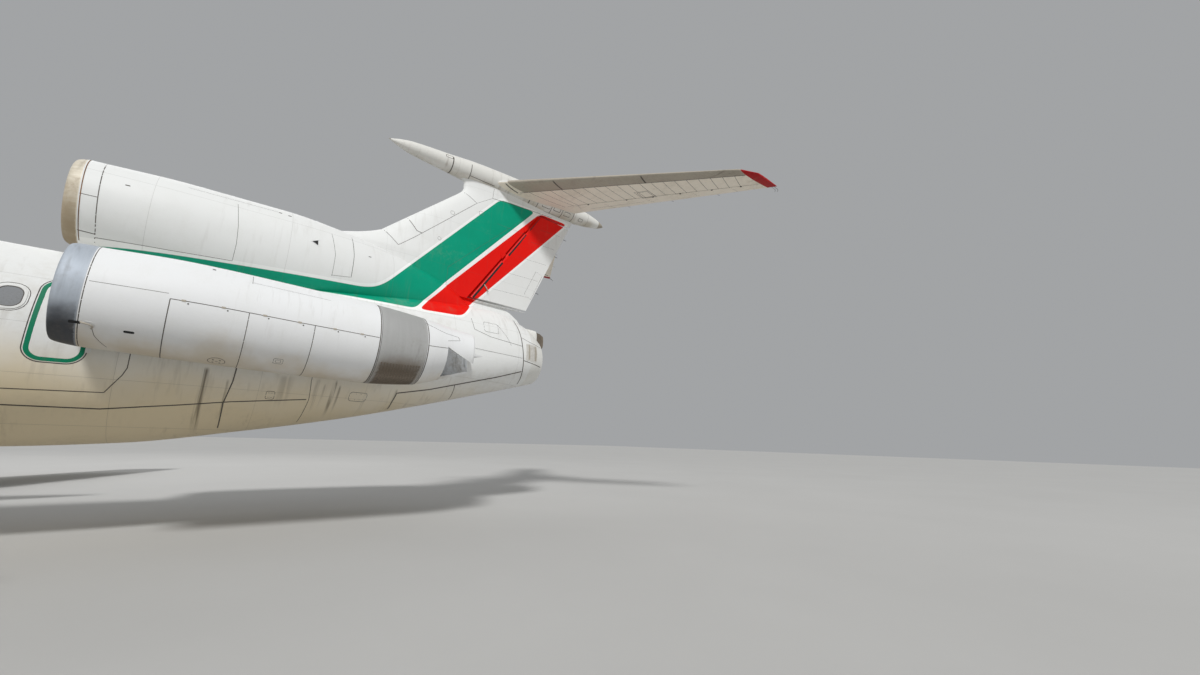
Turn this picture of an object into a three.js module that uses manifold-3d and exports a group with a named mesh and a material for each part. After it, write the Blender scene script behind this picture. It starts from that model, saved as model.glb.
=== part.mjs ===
// Narrow-body airliner with three rear engines, a T-tail and six-wheel main bogies, as a half-size model.
// Lengths here are full-size millimetres: +X to port, +Y aft (stations from the nose tip), +Z up from the ground.
// Port pieces are drawn once, and a mirrored group gives the starboard ones.
import * as THREE from "three";
import { mergeVertices } from "three/addons/utils/BufferGeometryUtils.js";
import Module from "manifold-3d";

const wasm = await Module();
wasm.setup();

// Driving dimensions
const modelScale = 0.5;
const overallLength = 47900;
const cabinRadius = 1900;
const cabinCentre = 3540;
const semiSpan = 18775;
const podOffset = 5750;
const mainGearStation = 24900;
const noseGearStation = 5980;
const nacelleOffset = 2880;
const tailplaneHeight = 10650;
const tailplaneSemiSpan = 6700;
const bulletHeight = 10800;

const seat = 0.8; // gap where two pieces meet
const pinGap = 1.2; // round a pin or an axle
const runningGap = 12; // least gap beside a piece that swings
const hullSides = 32;
const nacelleSides = 20;
const wheelSides = 16;
const pinSides = 8;
const reach = 4000; // a cutter's length past what it cuts

const paint = {
  white: { color: 0xe6e4dc, roughness: 0.45, metalness: 0.1 },
  belly: { color: 0xcfc6b0, roughness: 0.55, metalness: 0.1 },
  bareMetal: { color: 0x9aa0a6, roughness: 0.4, metalness: 0.8 },
  darkMetal: { color: 0x55585c, roughness: 0.5, metalness: 0.8 },
  bronze: { color: 0x9b8f7d, roughness: 0.45, metalness: 0.7 },
  glass: { color: 0x2a3036, roughness: 0.1, metalness: 0.0 },
  tyre: { color: 0x1c1c1e, roughness: 0.9, metalness: 0.0 },
  strut: { color: 0xb9bcbf, roughness: 0.4, metalness: 0.6 },
};

// Shape tools

function signedVolume(position, index) {
  let sum = 0;
  const [a, b, c] = [new THREE.Vector3(), new THREE.Vector3(), new THREE.Vector3()];
  for (let i = 0; i < index.length; i += 3) {
    a.fromArray(position, index[i] * 3);
    b.fromArray(position, index[i + 1] * 3);
    c.fromArray(position, index[i + 2] * 3);
    sum += a.dot(b.cross(c));
  }
  return sum;
}

// A closed geometry as a manifold solid that faces out, its collapsed triangles dropped.
function toSolid(geometry) {
  const plain = new THREE.BufferGeometry();
  plain.setAttribute("position", geometry.getAttribute("position"));
  plain.setIndex(geometry.index);
  const merged = mergeVertices(plain, 1e-3);
  const position = merged.attributes.position.array;
  const whole = Array.from(merged.index.array);
  const kept = [];
  for (let i = 0; i < whole.length; i += 3) {
    const [a, b, c] = whole.slice(i, i + 3);
    if (a !== b && b !== c && c !== a) kept.push(a, b, c);
  }
  if (signedVolume(position, kept) < 0) kept.reverse();
  return new wasm.Manifold(
    new wasm.Mesh({ numProp: 3, vertProperties: position, triVerts: new Uint32Array(kept) }),
  );
}

function toGeometry(solid) {
  const { vertProperties, triVerts } = solid.getMesh();
  const geometry = new THREE.BufferGeometry();
  geometry.setAttribute("position", new THREE.BufferAttribute(vertProperties, 3));
  geometry.setIndex(new THREE.BufferAttribute(triVerts, 1));
  return geometry;
}

// A closed solid through rings that hold the same number of points, with facets that mirror about x = 0.
function loft(rings) {
  const count = rings[0].length;
  const last = (rings.length - 1) * count;
  const index = [];
  for (let r = 0; r < rings.length - 1; r++) {
    for (let i = 0; i < count; i++) {
      const next = (i + 1) % count;
      const a = r * count + i;
      const b = r * count + next;
      if (rings[r][i].x + rings[r][next].x < 0) {
        index.push(a, b, b + count, a, b + count, a + count);
      } else {
        index.push(a, b, a + count, b, b + count, a + count);
      }
    }
  }
  for (let i = 1; i < count - 1; i++) {
    index.push(0, i + 1, i, last, last + i, last + i + 1);
  }
  const geometry = new THREE.BufferGeometry().setFromPoints(rings.flat());
  geometry.setIndex(index);
  return toSolid(geometry);
}

function turned(profile, sides, radiusAxis, firstTurn = 0) {
  const geometry = new THREE.LatheGeometry(
    profile.map(([radius, along]) => new THREE.Vector2(radius, along)),
    sides,
    firstTurn,
  );
  if (radiusAxis === "x") geometry.rotateZ(-Math.PI / 2);
  if (radiusAxis === "z") geometry.rotateX(Math.PI / 2);
  return geometry;
}

function moved(geometry, x, y, z) {
  return toSolid(geometry.translate(x, y, z));
}

function boxSolid(low, high) {
  const size = high.map((value, i) => value - low[i]);
  const middle = high.map((value, i) => (value + low[i]) / 2);
  return moved(new THREE.BoxGeometry(...size), ...middle);
}

// A round bar between two points. Its facets start half a step round where halfStep is true.
function bar(from, to, radius, endRadius = radius, sides = 12, halfStep = false) {
  const start = new THREE.Vector3(...from);
  const end = new THREE.Vector3(...to);
  const along = end.clone().sub(start);
  const geometry = new THREE.CylinderGeometry(endRadius, radius, along.length(), sides);
  if (halfStep) geometry.rotateY(Math.PI / sides);
  const turn = new THREE.Quaternion().setFromUnitVectors(
    new THREE.Vector3(0, 1, 0),
    along.clone().normalize(),
  );
  geometry.applyQuaternion(turn);
  return moved(geometry, ...start.add(end).multiplyScalar(0.5).toArray());
}

// The bore for a bar of this radius: its flats face the bar's corners, and stay clear of them as it turns.
function boreFor(from, to, radius) {
  const boreRadius = (radius + pinGap) / Math.cos(Math.PI / pinSides);
  return bar(from, to, boreRadius, boreRadius, pinSides, true);
}

function pin(from, to, radius) {
  return bar(from, to, radius, radius, pinSides);
}

// A flat outline in (station, height), run across from x = from to x = to.
function sidePrism(outline, from, to) {
  const shape = Array.isArray(outline)
    ? new THREE.Shape(outline.map(([station, height]) => new THREE.Vector2(station, height)))
    : outline;
  const geometry = new THREE.ExtrudeGeometry(shape, {
    depth: to - from,
    bevelEnabled: false,
    curveSegments: 3,
  });
  geometry.applyMatrix4(
    new THREE.Matrix4().makeBasis(
      new THREE.Vector3(0, 1, 0),
      new THREE.Vector3(0, 0, 1),
      new THREE.Vector3(1, 0, 0),
    ),
  );
  return moved(geometry, from, 0, 0);
}

// A flat outline in (x, station), run up from z = from to z = to.
function planPrism(outline, from, to) {
  const shape = new THREE.Shape(outline.map(([x, station]) => new THREE.Vector2(x, station)));
  return moved(new THREE.ExtrudeGeometry(shape, { depth: to - from, bevelEnabled: false }), 0, 0, from);
}

// Rounded rectangle in (station, height) from its low corner, grown all round.
function roundedPanel([station, height, length, rise, corner], grow) {
  const [u, v] = [station - grow, height - grow];
  const [w, h, r] = [length + 2 * grow, rise + 2 * grow, corner + grow];
  const shape = new THREE.Shape();
  shape.moveTo(u + r, v);
  shape.lineTo(u + w - r, v);
  shape.absarc(u + w - r, v + r, r, -Math.PI / 2, 0);
  shape.absarc(u + w - r, v + h - r, r, 0, Math.PI / 2);
  shape.absarc(u + r, v + h - r, r, Math.PI / 2, Math.PI);
  shape.absarc(u + r, v + r, r, Math.PI, 1.5 * Math.PI);
  return shape;
}

// Fuselage-like ring. Row: station, bottom, top, height of the widest line, half width.
function hullRing([station, bottom, top, widest, halfWidth], grow, sides, offset = 0) {
  const ring = [];
  for (let i = 0; i < sides; i++) {
    const turn = (2 * Math.PI * i) / sides;
    const rise = Math.sin(turn) > 0 ? top - widest : widest - bottom;
    ring.push(
      new THREE.Vector3(
        offset + (halfWidth + grow) * Math.cos(turn),
        station,
        widest + (rise + grow) * Math.sin(turn),
      ),
    );
  }
  return ring;
}

function hull(rows, grow = 0, sides = hullSides, offset = 0) {
  return loft(rows.map((row) => hullRing(row, grow, sides, offset)));
}

// Row at a station between two rows of a table.
function rowAt(rows, station) {
  const next = rows.findIndex((row) => row[0] >= station);
  if (next <= 0) return rows[0];
  const [low, high] = [rows[next - 1], rows[next]];
  const share = (station - low[0]) / (high[0] - low[0]);
  return low.map((value, i) => value + share * (high[i] - value));
}

function rowsBetween(rows, from, to) {
  const inside = rows.filter((row) => row[0] > from && row[0] < to);
  return [rowAt(rows, from), ...inside, rowAt(rows, to)];
}

// Half thickness of a symmetric aerofoil, as a share of the chord.
function foilHalfThickness(share, thickness) {
  const s = share;
  return 5 * thickness * (0.2969 * Math.sqrt(s) - 0.126 * s - 0.3516 * s ** 2 + 0.2843 * s ** 3 - 0.1015 * s ** 4);
}

const foilShares = [0.015, 0.07, 0.2, 0.4, 0.6, 0.75, 1];

// Aerofoil ring, placed by a function of (station along the chord, offset through the thickness).
function foilRing(leading, trailing, thickness, place, grow = 0) {
  const chord = trailing - leading;
  const point = (share, side) => {
    const half = foilHalfThickness(share, thickness) * chord + grow;
    const spread = grow * (2 * share - 1);
    return place(leading + share * chord + spread, side * half);
  };
  const upper = foilShares.map((share) => point(share, 1));
  const lower = foilShares.map((share) => point(share, -1)).reverse();
  return [place(leading - grow, 0), ...upper, ...lower];
}

// A four-sided block along a hinge line, from so far ahead of it to so far aft, at each end.
function hingeBlock(line, aheadStart, aheadEnd, aft, half, endGap = 0) {
  const axis = line.end.clone().sub(line.start).normalize();
  const ends = [
    [line.start.clone().addScaledVector(axis, -endGap), aheadStart],
    [line.end.clone().addScaledVector(axis, endGap), aheadEnd],
  ];
  return loft(
    ends.map(([centre, ahead]) =>
      [
        [-ahead, -half],
        [aft, -half],
        [aft, half],
        [-ahead, half],
      ].map(([along, through]) =>
        centre.clone().addScaledVector(line.aft, along).addScaledVector(line.through, through),
      ),
    ),
  );
}

// A hinge line from start to end; aft lies square to it, and through runs across the thickness.
function hingeLine(start, end, through) {
  const axis = end.clone().sub(start).normalize();
  const aft = axis.clone().cross(through).normalize();
  if (aft.y < 0) aft.negate();
  return { start, end, through, aft };
}

const hingePin = { radius: 20, inside: 70, pastGap: 50 };

// Pins at both ends of a hinge line, fixed outside the surface, and the bores they turn in.
function endPins(line, gap) {
  const axis = line.end.clone().sub(line.start).normalize();
  const { radius, inside, pastGap } = hingePin;
  const outside = gap + pastGap;
  const spot = (point, along) => point.clone().addScaledVector(axis, along).toArray();
  const stretches = [
    [spot(line.start, -outside), spot(line.start, inside), spot(line.start, inside + 10)],
    [spot(line.end, outside), spot(line.end, -inside), spot(line.end, -inside - 10)],
  ];
  return {
    pins: stretches.map(([from, to]) => pin(from, to, radius)),
    bores: stretches.map(([from, , to]) => boreFor(from, to, radius)),
  };
}

// A swinging surface cut from a foil: its round nose turns inside the bay cut for it.
function swingingSurface(foil, line, startRadius, endRadius) {
  const blade = foil.intersect(hingeBlock(line, 0, 0, reach, reach));
  const nose = bar(line.start.toArray(), line.end.toArray(), startRadius, endRadius);
  const bay = hingeBlock(
    line,
    startRadius + runningGap,
    endRadius + runningGap,
    reach,
    reach,
    runningGap,
  );
  const { pins, bores } = endPins(line, runningGap);
  const surface = bores.reduce((left, bore) => left.subtract(bore), blade.add(nose));
  return { surface, bay, pins };
}

// Fuselage. Rows: station, bottom, top, height of the widest line, half width.
const cabinBottom = cabinCentre - cabinRadius;
const cabinTop = cabinCentre + cabinRadius;
const fuselageRows = [
  [0, 2900, 2980, 2940, 40],
  [250, 2600, 3310, 2950, 360],
  [800, 2330, 3680, 2980, 720],
  [1500, 2100, 4020, 3030, 1040],
  [2000, 1980, 4220, 3080, 1220],
  [2900, 1830, 4880, 3200, 1490],
  [3700, 1740, 5200, 3330, 1670],
  [4800, 1670, 5390, 3460, 1820],
  [6400, cabinBottom, cabinTop, cabinCentre, cabinRadius],
  [31000, cabinBottom, cabinTop, cabinCentre, cabinRadius],
  [33000, 1740, 5460, 3580, 1880],
  [35000, 2050, 5580, 3720, 1790],
  [37000, 2430, 5860, 3950, 1630],
  [39000, 2900, 6120, 4220, 1420],
  [41000, 3420, 6160, 4520, 1180],
  [42200, 3740, 5840, 4660, 1000],
  [42970, 3950, 5300, 4630, 660],
];
const fuselageBreaks = {
  radome: 1900,
  cockpit: 5000,
  forward: 16000,
  centre: 28500,
  aft: 36000,
  tail: 42200,
  end: 42970,
};

// The same rows with one at each break, so that a piece and a cutter share their facets.
const shellRows = Object.values(fuselageBreaks)
  .filter((station) => !fuselageRows.some((row) => row[0] === station))
  .map((station) => rowAt(fuselageRows, station))
  .concat(fuselageRows)
  .sort((a, b) => a[0] - b[0]);

function fuselagePiece(from, to) {
  return hull(rowsBetween(shellRows, from, to));
}

// Whole fuselage, grown, as the cutter for what sits on it.
const fuselageCutter = hull(shellRows, seat);

// Door panels. Columns: name, side, station, sill height, length, rise, corner radius.
const doorDepth = 140;
const doorRows = [
  { name: "passenger_door_front", side: 1, panel: [5900, 2770, 800, 1730, 200] },
  { name: "passenger_door_mid", side: 1, panel: [15000, 2770, 800, 1730, 200] },
  { name: "service_door_front", side: -1, panel: [6200, 2850, 650, 1280, 160] },
  { name: "emergency_door_left", side: 1, panel: [31650, 3150, 760, 1360, 220] },
  { name: "emergency_door_right", side: -1, panel: [31650, 3150, 760, 1360, 220] },
];

function doorPrism({ side, panel }, grow) {
  const [from, to] = side > 0 ? [900, 2600] : [-2600, -900];
  return sidePrism(roundedPanel(panel, grow), from, to);
}

function doorSolid(door) {
  const whole = hull(shellRows).intersect(doorPrism(door, 0));
  return whole.subtract(hull(shellRows, -doorDepth));
}

function doorPocket(door) {
  return doorPrism(door, seat).subtract(hull(shellRows, -doorDepth - seat));
}

function withDoors(solid) {
  return doorRows.reduce((left, door) => left.subtract(doorPocket(door)), solid);
}

// Cockpit windows: a band of glass under a skin that is cut through pane by pane.
const glazing = {
  skin: 30,
  glassBack: 75,
  margin: 60,
  fan: [0, 4700],
  band: [
    [1900, 4130],
    [2050, 4230],
    [2750, 4900],
    [3350, 4900],
    [4250, 4760],
    [4250, 4230],
    [2900, 4130],
  ],
  // Bearings of each pane's edges, in degrees from straight ahead
  panes: [
    [2, 24],
    [27, 43],
    [47, 62],
    [66, 83],
  ],
};

function bandPrism(grow) {
  const middle = [3100, 4510];
  const outline = glazing.band.map(([station, height]) => {
    const away = new THREE.Vector2(station - middle[0], height - middle[1]);
    away.setLength(away.length() + grow);
    return [middle[0] + away.x, middle[1] + away.y];
  });
  return sidePrism(outline, -2200, 2200);
}

function paneSector([from, to], side) {
  const [x, station] = glazing.fan;
  const edge = (bearing) => {
    const angle = THREE.MathUtils.degToRad(bearing);
    return [x + side * reach * Math.sin(angle), station - reach * Math.cos(angle)];
  };
  return planPrism([[x, station], edge(from), edge(to)], 3800, 5600);
}

function cockpitParts() {
  const shell = rowsBetween(shellRows, fuselageBreaks.radome + seat, fuselageBreaks.cockpit - seat);
  const under = (depth) => hull(rowsBetween(shellRows, 1000, 6000), -depth);
  const band = bandPrism(0);
  let frame = hull(shell);
  for (const side of [1, -1]) {
    for (const pane of glazing.panes) {
      const opening = band.intersect(paneSector(pane, side));
      frame = frame.subtract(opening.subtract(under(glazing.skin + 2 * seat)));
    }
  }
  const inFrame = hull(rowsBetween(shellRows, fuselageBreaks.radome + 60, fuselageBreaks.cockpit - 60));
  const slot = under(glazing.skin).intersect(bandPrism(glazing.margin + seat)).intersect(inFrame);
  frame = frame.subtract(slot.subtract(under(glazing.glassBack + seat)));
  const glass = under(glazing.skin + seat)
    .intersect(bandPrism(glazing.margin))
    .intersect(inFrame)
    .subtract(under(glazing.glassBack));
  return { frame, glass };
}

// Wing-to-body fairing. Rows as for the fuselage.
const fairingRows = [
  [14300, 2000, 2900, 2450, 900],
  [15600, 1480, 3060, 2420, 1800],
  [17400, 1400, 3180, 2420, 2120],
  [25400, 1400, 3180, 2420, 2120],
  [27400, 1480, 3060, 2420, 1850],
  [29200, 2000, 2900, 2450, 900],
];

// Wing. Columns: x, leading edge, trailing edge, chord height, thickness share.
const wingRows = [
  [1300, 16500, 25780, 2420, 0.12],
  [4900, 20060, 26420, 2340, 0.116],
  [podOffset + 650, 21390, 27040, 2320, 0.113],
  [semiSpan - 350, 30670, 32900, 2080, 0.1],
  [semiSpan, 31300, 33070, 2075, 0.07],
];

function wingFoil(grow = 0) {
  return loft(
    wingRows.map(([x, leading, trailing, height, thickness]) =>
      foilRing(leading, trailing, thickness, (s, t) => new THREE.Vector3(x, s, height + t), grow),
    ),
  );
}

// A point at a share of the wing's chord, and the wing's half thickness there.
function wingPoint(x, share) {
  const lines = wingRows.map(([place, leading, trailing, height, thickness]) => {
    const chord = trailing - leading;
    return [place, leading + share * chord, height, foilHalfThickness(share, thickness) * chord];
  });
  const [, station, height, half] = rowAt(lines, x);
  return { point: new THREE.Vector3(x, station, height), half };
}

const up = new THREE.Vector3(0, 0, 1);
const across = new THREE.Vector3(1, 0, 0);

// Trailing-edge surfaces. Columns: inner x, outer x, hinge or front share of the chord.
const aileronSpan = [13900, 18100, 0.75];
const flapSpans = {
  inner: [2870, 4900, 0.75],
  outer: [7200, 13600, 0.75],
};
const spoilerSpan = [7300, 12000, 0.6];
const spoilerChord = 420;
const spoilerDepth = 34;

function surfaceLine([inner, outer, share]) {
  return hingeLine(wingPoint(inner, share).point, wingPoint(outer, share).point, up);
}

function aileronParts(foil) {
  const [inner, outer, share] = aileronSpan;
  return swingingSurface(
    foil,
    surfaceLine(aileronSpan),
    0.95 * wingPoint(inner, share).half,
    0.95 * wingPoint(outer, share).half,
  );
}

// Flap hinges: a bracket under the wing holds a pin below the flap, and the flap's lug hangs beside it.
const flapHinge = {
  drop: 420,
  aft: 100,
  plate: 60,
  eye: 48,
  pinRadius: 20,
  places: { inner: [0.16, 0.84], outer: [0.1, 0.5, 0.9] },
};

// The line that a flap turns about, below its front edge.
function flapHingeLine([inner, outer, share]) {
  const front = surfaceLine([inner, outer, share]);
  const ends = [inner, outer].map((x, i) => {
    const { half } = wingPoint(x, share);
    const corner = i ? front.end : front.start;
    return corner.clone().addScaledVector(front.aft, flapHinge.aft).setZ(corner.z - half - flapHinge.drop);
  });
  return hingeLine(ends[0], ends[1], up);
}

// A plate square to a hinge line, its outline in (aft, up) from the point so far along the line.
function plateAcross(line, along, thickness, outline) {
  const axis = line.end.clone().sub(line.start).normalize();
  const rise = axis.clone().cross(line.aft);
  const shape = new THREE.Shape(outline.map(([aft, height]) => new THREE.Vector2(aft, height)));
  const geometry = new THREE.ExtrudeGeometry(shape, { depth: thickness, bevelEnabled: false });
  geometry.applyMatrix4(new THREE.Matrix4().makeBasis(line.aft, rise, axis));
  const place = line.start.clone().addScaledVector(axis, along - thickness / 2);
  return moved(geometry, ...place.toArray());
}

function flapParts(foil, span, places) {
  const [inner, outer, share] = span;
  const front = surfaceLine(span);
  const pivot = flapHingeLine(span);
  const axis = pivot.end.clone().sub(pivot.start).normalize();
  const length = pivot.end.distanceTo(pivot.start);
  const { aft, drop, plate, eye, pinRadius } = flapHinge;
  let surface = foil.intersect(hingeBlock(front, 0, 0, reach, reach));
  const brackets = [];
  for (const place of places) {
    const { half } = wingPoint(inner + place * (outer - inner), share);
    const [bracketAt, lugAt] = [place * length, place * length + plate + runningGap];
    const bracket = plateAcross(pivot, bracketAt, plate, [
      [-aft - 520, drop + 0.5 * half],
      [-aft - runningGap, drop + 0.5 * half],
      [-aft - runningGap, drop - 60],
      [eye, eye],
      [eye, -eye],
      [-eye, -eye],
      [-aft - 460, drop - 110],
    ]);
    const lug = plateAcross(pivot, lugAt, plate, [
      [-aft + 20, drop + 0.7 * half],
      [-aft + 20, drop - 40],
      [-eye, eye],
      [-eye, -eye],
      [eye, -eye],
      [-aft + 300, drop + 40],
      [-aft + 300, drop + 0.7 * half],
    ]);
    const spot = (along) => pivot.start.clone().addScaledVector(axis, along).toArray();
    const [from, to] = [spot(bracketAt), spot(lugAt + plate / 2 + 10)];
    surface = surface.add(lug).subtract(boreFor(spot(bracketAt + plate / 2 + 2), to, pinRadius));
    brackets.push(bracket.add(pin(from, to, pinRadius)));
  }
  return {
    surface,
    bay: hingeBlock(front, runningGap, runningGap, reach, reach, runningGap),
    brackets,
  };
}

// The front edge of a spoiler, along the wing's upper skin, which it is hinged on.
function spoilerHingeLine() {
  const [inner, outer, share] = spoilerSpan;
  const [start, end] = [inner, outer].map((x) => {
    const { point, half } = wingPoint(x, share);
    return point.setZ(point.z + half);
  });
  return hingeLine(start, end, up);
}

// A plate let into the wing's upper skin, hinged along its front edge.
function spoilerParts(foil) {
  const line = spoilerHingeLine();
  const axis = line.end.clone().sub(line.start).normalize();
  const backDrop = 45; // how far the skin falls over the plate's length
  const plate = (front, around) => {
    const rings = [line.start, line.end].map((centre, i) => {
      const shifted = centre.clone().addScaledVector(axis, i ? around : -around);
      const corner = (along, rise) =>
        shifted.clone().addScaledVector(line.aft, along).add(new THREE.Vector3(0, 0, rise));
      const floor = -spoilerDepth - around;
      return [
        corner(-front, floor),
        corner(spoilerChord + around, floor - backDrop),
        corner(spoilerChord + around, reach),
        corner(-front, reach),
      ];
    });
    return loft(rings);
  };
  return { surface: foil.intersect(plate(0, 0)), bay: plate(seat, runningGap) };
}

// Gear pods behind the wing. Rows: station, bottom, top, height of the widest line, half width.
const podRows = [
  [21900, 1990, 2110, 2050, 60],
  [22600, 1640, 2420, 2030, 420],
  [23800, 1400, 2600, 2010, 660],
  [25600, 1370, 2740, 2050, 720],
  [27500, 1560, 2760, 2150, 660],
  [29300, 1860, 2640, 2240, 420],
  [30600, 2150, 2430, 2290, 140],
  [31000, 2270, 2330, 2300, 30],
];

// Tailplane. Columns: x, leading edge, trailing edge, thickness share.
const tailplaneRows = [
  [0, 40500, 43950, 0.1],
  [6400, 46081, 47726, 0.09],
  [tailplaneSemiSpan, 46700, overallLength, 0.05],
];
const elevatorSpan = [1060, 6250, 0.75];

function tailplaneFoil(grow = 0) {
  const ring = ([x, leading, trailing, thickness], side) =>
    foilRing(
      leading,
      trailing,
      thickness,
      (s, t) => new THREE.Vector3(side * x, s, tailplaneHeight + t),
      grow,
    );
  const port = tailplaneRows.slice(1).map((row) => ring(row, 1));
  const starboard = tailplaneRows.slice(1).map((row) => ring(row, -1));
  return loft([...starboard.reverse(), ring(tailplaneRows[0], 1), ...port]);
}

function tailplanePoint(x, share) {
  const [, leading, trailing, thickness] = rowAt(tailplaneRows, x);
  const chord = trailing - leading;
  return {
    point: new THREE.Vector3(x, leading + share * chord, tailplaneHeight),
    half: foilHalfThickness(share, thickness) * chord,
  };
}

function elevatorParts(foil, side) {
  const [inner, outer, share] = elevatorSpan;
  const [start, end] = [tailplanePoint(inner, share), tailplanePoint(outer, share)];
  const place = ({ point }) => new THREE.Vector3(side * point.x, point.y, point.z);
  return swingingSurface(foil, hingeLine(place(start), place(end), up), 0.95 * start.half, 0.95 * end.half);
}

// Fin. Columns: height, leading edge, trailing edge, thickness share.
const finRows = [
  [5850, 35200, 42300, 0.1],
  [6050, 35320, 42120, 0.1],
  [6370, 35500, 41450, 0.1],
  [6440, 35540, 42445, 0.1],
  [7450, 36100, 42916, 0.1],
  [7550, 36500, 42963, 0.1],
  [7670, 36880, 43019, 0.1],
  [7910, 37420, 43131, 0.1],
  [9940, 39660, 44079, 0.1],
  [10100, 39780, 44153, 0.1],
  [10500, 39780, 44340, 0.1],
];
const rudderHinge = {
  bottom: [40410, 6460],
  top: [42830, 10090],
  footRadius: 190,
  headRadius: 120,
  overrun: 900,
  endGap: 75,
};

function finFoil(grow = 0) {
  return loft(
    finRows.map(([height, leading, trailing, thickness]) =>
      foilRing(leading, trailing, thickness, (s, t) => new THREE.Vector3(t, s, height), grow),
    ),
  );
}

function rudderHingeLine() {
  const [bottom, top] = [rudderHinge.bottom, rudderHinge.top].map(
    ([station, height]) => new THREE.Vector3(0, station, height),
  );
  return hingeLine(bottom, top, across);
}

// The rudder is cut off level at foot and head, and its hinge follows the fin's sweep.
function rudderParts(foil) {
  const line = rudderHingeLine();
  const axis = line.end.clone().sub(line.start).normalize();
  const { footRadius, headRadius, overrun, endGap } = rudderHinge;
  const long = hingeLine(
    line.start.clone().addScaledVector(axis, -overrun),
    line.end.clone().addScaledVector(axis, overrun),
    across,
  );
  const level = (gap) =>
    boxSolid([-reach, 30000, line.start.z - gap], [reach, 60000, line.end.z + gap]);
  const blade = foil.intersect(hingeBlock(long, 0, 0, reach, reach));
  const nose = bar(long.start.toArray(), long.end.toArray(), footRadius, headRadius);
  const bay = hingeBlock(long, footRadius + runningGap, headRadius + runningGap, reach, reach);
  const { pins, bores } = endPins(line, 1.5 * endGap);
  return {
    surface: bores.reduce((left, bore) => left.subtract(bore), blade.add(nose).intersect(level(0))),
    bay: bay.intersect(level(endGap)),
    pins,
  };
}

// Bullet fairing on the fin's head. Columns: station, radius.
const bulletRows = [
  [37360, 24],
  [37600, 110],
  [38000, 195],
  [39240, 300],
  [40000, 370],
  [40800, 405],
  [41900, 425],
  [43200, 430],
  [44000, 375],
  [44800, 290],
  [45400, 195],
  [45700, 110],
  [45870, 30],
];

function roundRows(rows, height) {
  return rows.map(([station, radius]) => [station, height - radius, height + radius, height, radius]);
}

// Side nacelles. Columns: station, axis height, radius. The axis droops slightly aft.
const nacelleRows = [
  [32450, 4140, 832],
  [33600, 4110, 870],
  [35600, 4050, 885],
  [36780, 4020, 870],
  [37790, 4000, 790],
  [38600, 3990, 670],
  [39700, 3970, 540],
  [40100, 3965, 495],
];
const nacelleBoreRows = [
  [32000, 4150, 700],
  [33100, 4120, 720],
  [37800, 4010, 720],
  [38600, 3990, 590],
  [39900, 3970, 470],
  [40400, 3965, 430],
];
const lipOuterRows = [
  [32130, 4160, 765],
  [32165, 4160, 800],
  [32250, 4155, 815],
  [32450, 4140, 832],
];
const lipBoreRows = [
  [32130, 4160, 752],
  [32170, 4158, 722],
  [32260, 4152, 690],
  [32450, 4140, 700],
];
const reverser = { front: 36780, rear: 37790, depth: 60 };
const nozzleCut = { outerStation: 38450, innerStation: 39850 };
const engineRear = 37700;

const ringRows = (rows) =>
  rows.map(([station, axis, radius]) => [station, axis - radius, axis + radius, axis, radius]);

function nacelleHull(rows, grow = 0) {
  return hull(ringRows(rows), grow, nacelleSides, nacelleOffset);
}

function nacelleParts() {
  const outer = nacelleHull(nacelleRows);
  const bore = nacelleHull(nacelleBoreRows);
  const bandRows = rowsBetween(nacelleRows, reverser.front, reverser.rear);
  const bandCore = nacelleHull(bandRows, -reverser.depth);
  const bandRoom = nacelleHull(bandRows, 20);
  const slant = planPrism(
    [
      [nacelleOffset + 900, nozzleCut.outerStation],
      [nacelleOffset - 900, nozzleCut.innerStation],
      [nacelleOffset - 900, 41000],
      [nacelleOffset + 900, 41000],
    ],
    2500,
    5500,
  );
  const groove = bandRoom.subtract(bandCore);
  const cowl = outer.subtract(bore).subtract(groove).subtract(slant);
  const trimmed = rowsBetween(nacelleRows, reverser.front + seat, reverser.rear - seat);
  const band = nacelleHull(trimmed).subtract(nacelleHull(bandRows, seat - reverser.depth));
  const lip = hull(
    ringRows(lipOuterRows.map((row, i) => (i === 3 ? [row[0] - seat, row[1], row[2]] : row))),
    0,
    nacelleSides,
    nacelleOffset,
  ).subtract(hull(ringRows(extended(lipBoreRows)), 0, nacelleSides, nacelleOffset));
  return { cowl, band, lip };
}

// A bore's table with its end rows drawn out past both faces of what it cuts.
function extended(rows) {
  const first = rows[0];
  const last = rows[rows.length - 1];
  return [[first[0] - 30, ...first.slice(1)], ...rows, [last[0] + 60, ...last.slice(1)]];
}

const fan = { station: 33100, hubRadius: 230, tipRadius: 690, depth: 150, blades: 16, bladeThickness: 16 };
const engineFront = fan.station + fan.depth + seat;

function fanSolid() {
  const { hubRadius, tipRadius, depth, blades, bladeThickness } = fan;
  const [, axisHeight] = rowAt(nacelleBoreRows, fan.station);
  const spinner = [
    [0, -480],
    [90, -440],
    [180, -280],
    [hubRadius, 0],
    [hubRadius, depth],
    [0, depth],
  ];
  let solid = toSolid(turned(spinner, 16));
  const blade = (turn) => {
    const rings = [
      [hubRadius - 60, 30],
      [tipRadius, 52],
    ].map(([radius, pitch]) => {
      const lean = THREE.MathUtils.degToRad(pitch);
      const along = new THREE.Vector3(Math.sin(lean), Math.cos(lean), 0);
      const side = new THREE.Vector3(along.y, -along.x, 0);
      const centre = new THREE.Vector3(0, depth / 2, radius);
      return [
        [-60, -1],
        [60, -1],
        [60, 1],
        [-60, 1],
      ].map(([run, face]) =>
        centre
          .clone()
          .addScaledVector(along, run)
          .addScaledVector(side, (face * bladeThickness) / 2)
          .applyAxisAngle(new THREE.Vector3(0, 1, 0), turn),
      );
    });
    return loft(rings);
  };
  for (let i = 0; i < blades; i++) {
    solid = solid.add(blade((2 * Math.PI * i) / blades));
  }
  return { solid, axisHeight };
}

function engineSolid() {
  const rows = rowsBetween(nacelleBoreRows, engineFront, engineRear);
  return nacelleHull(rows, -seat);
}

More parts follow.
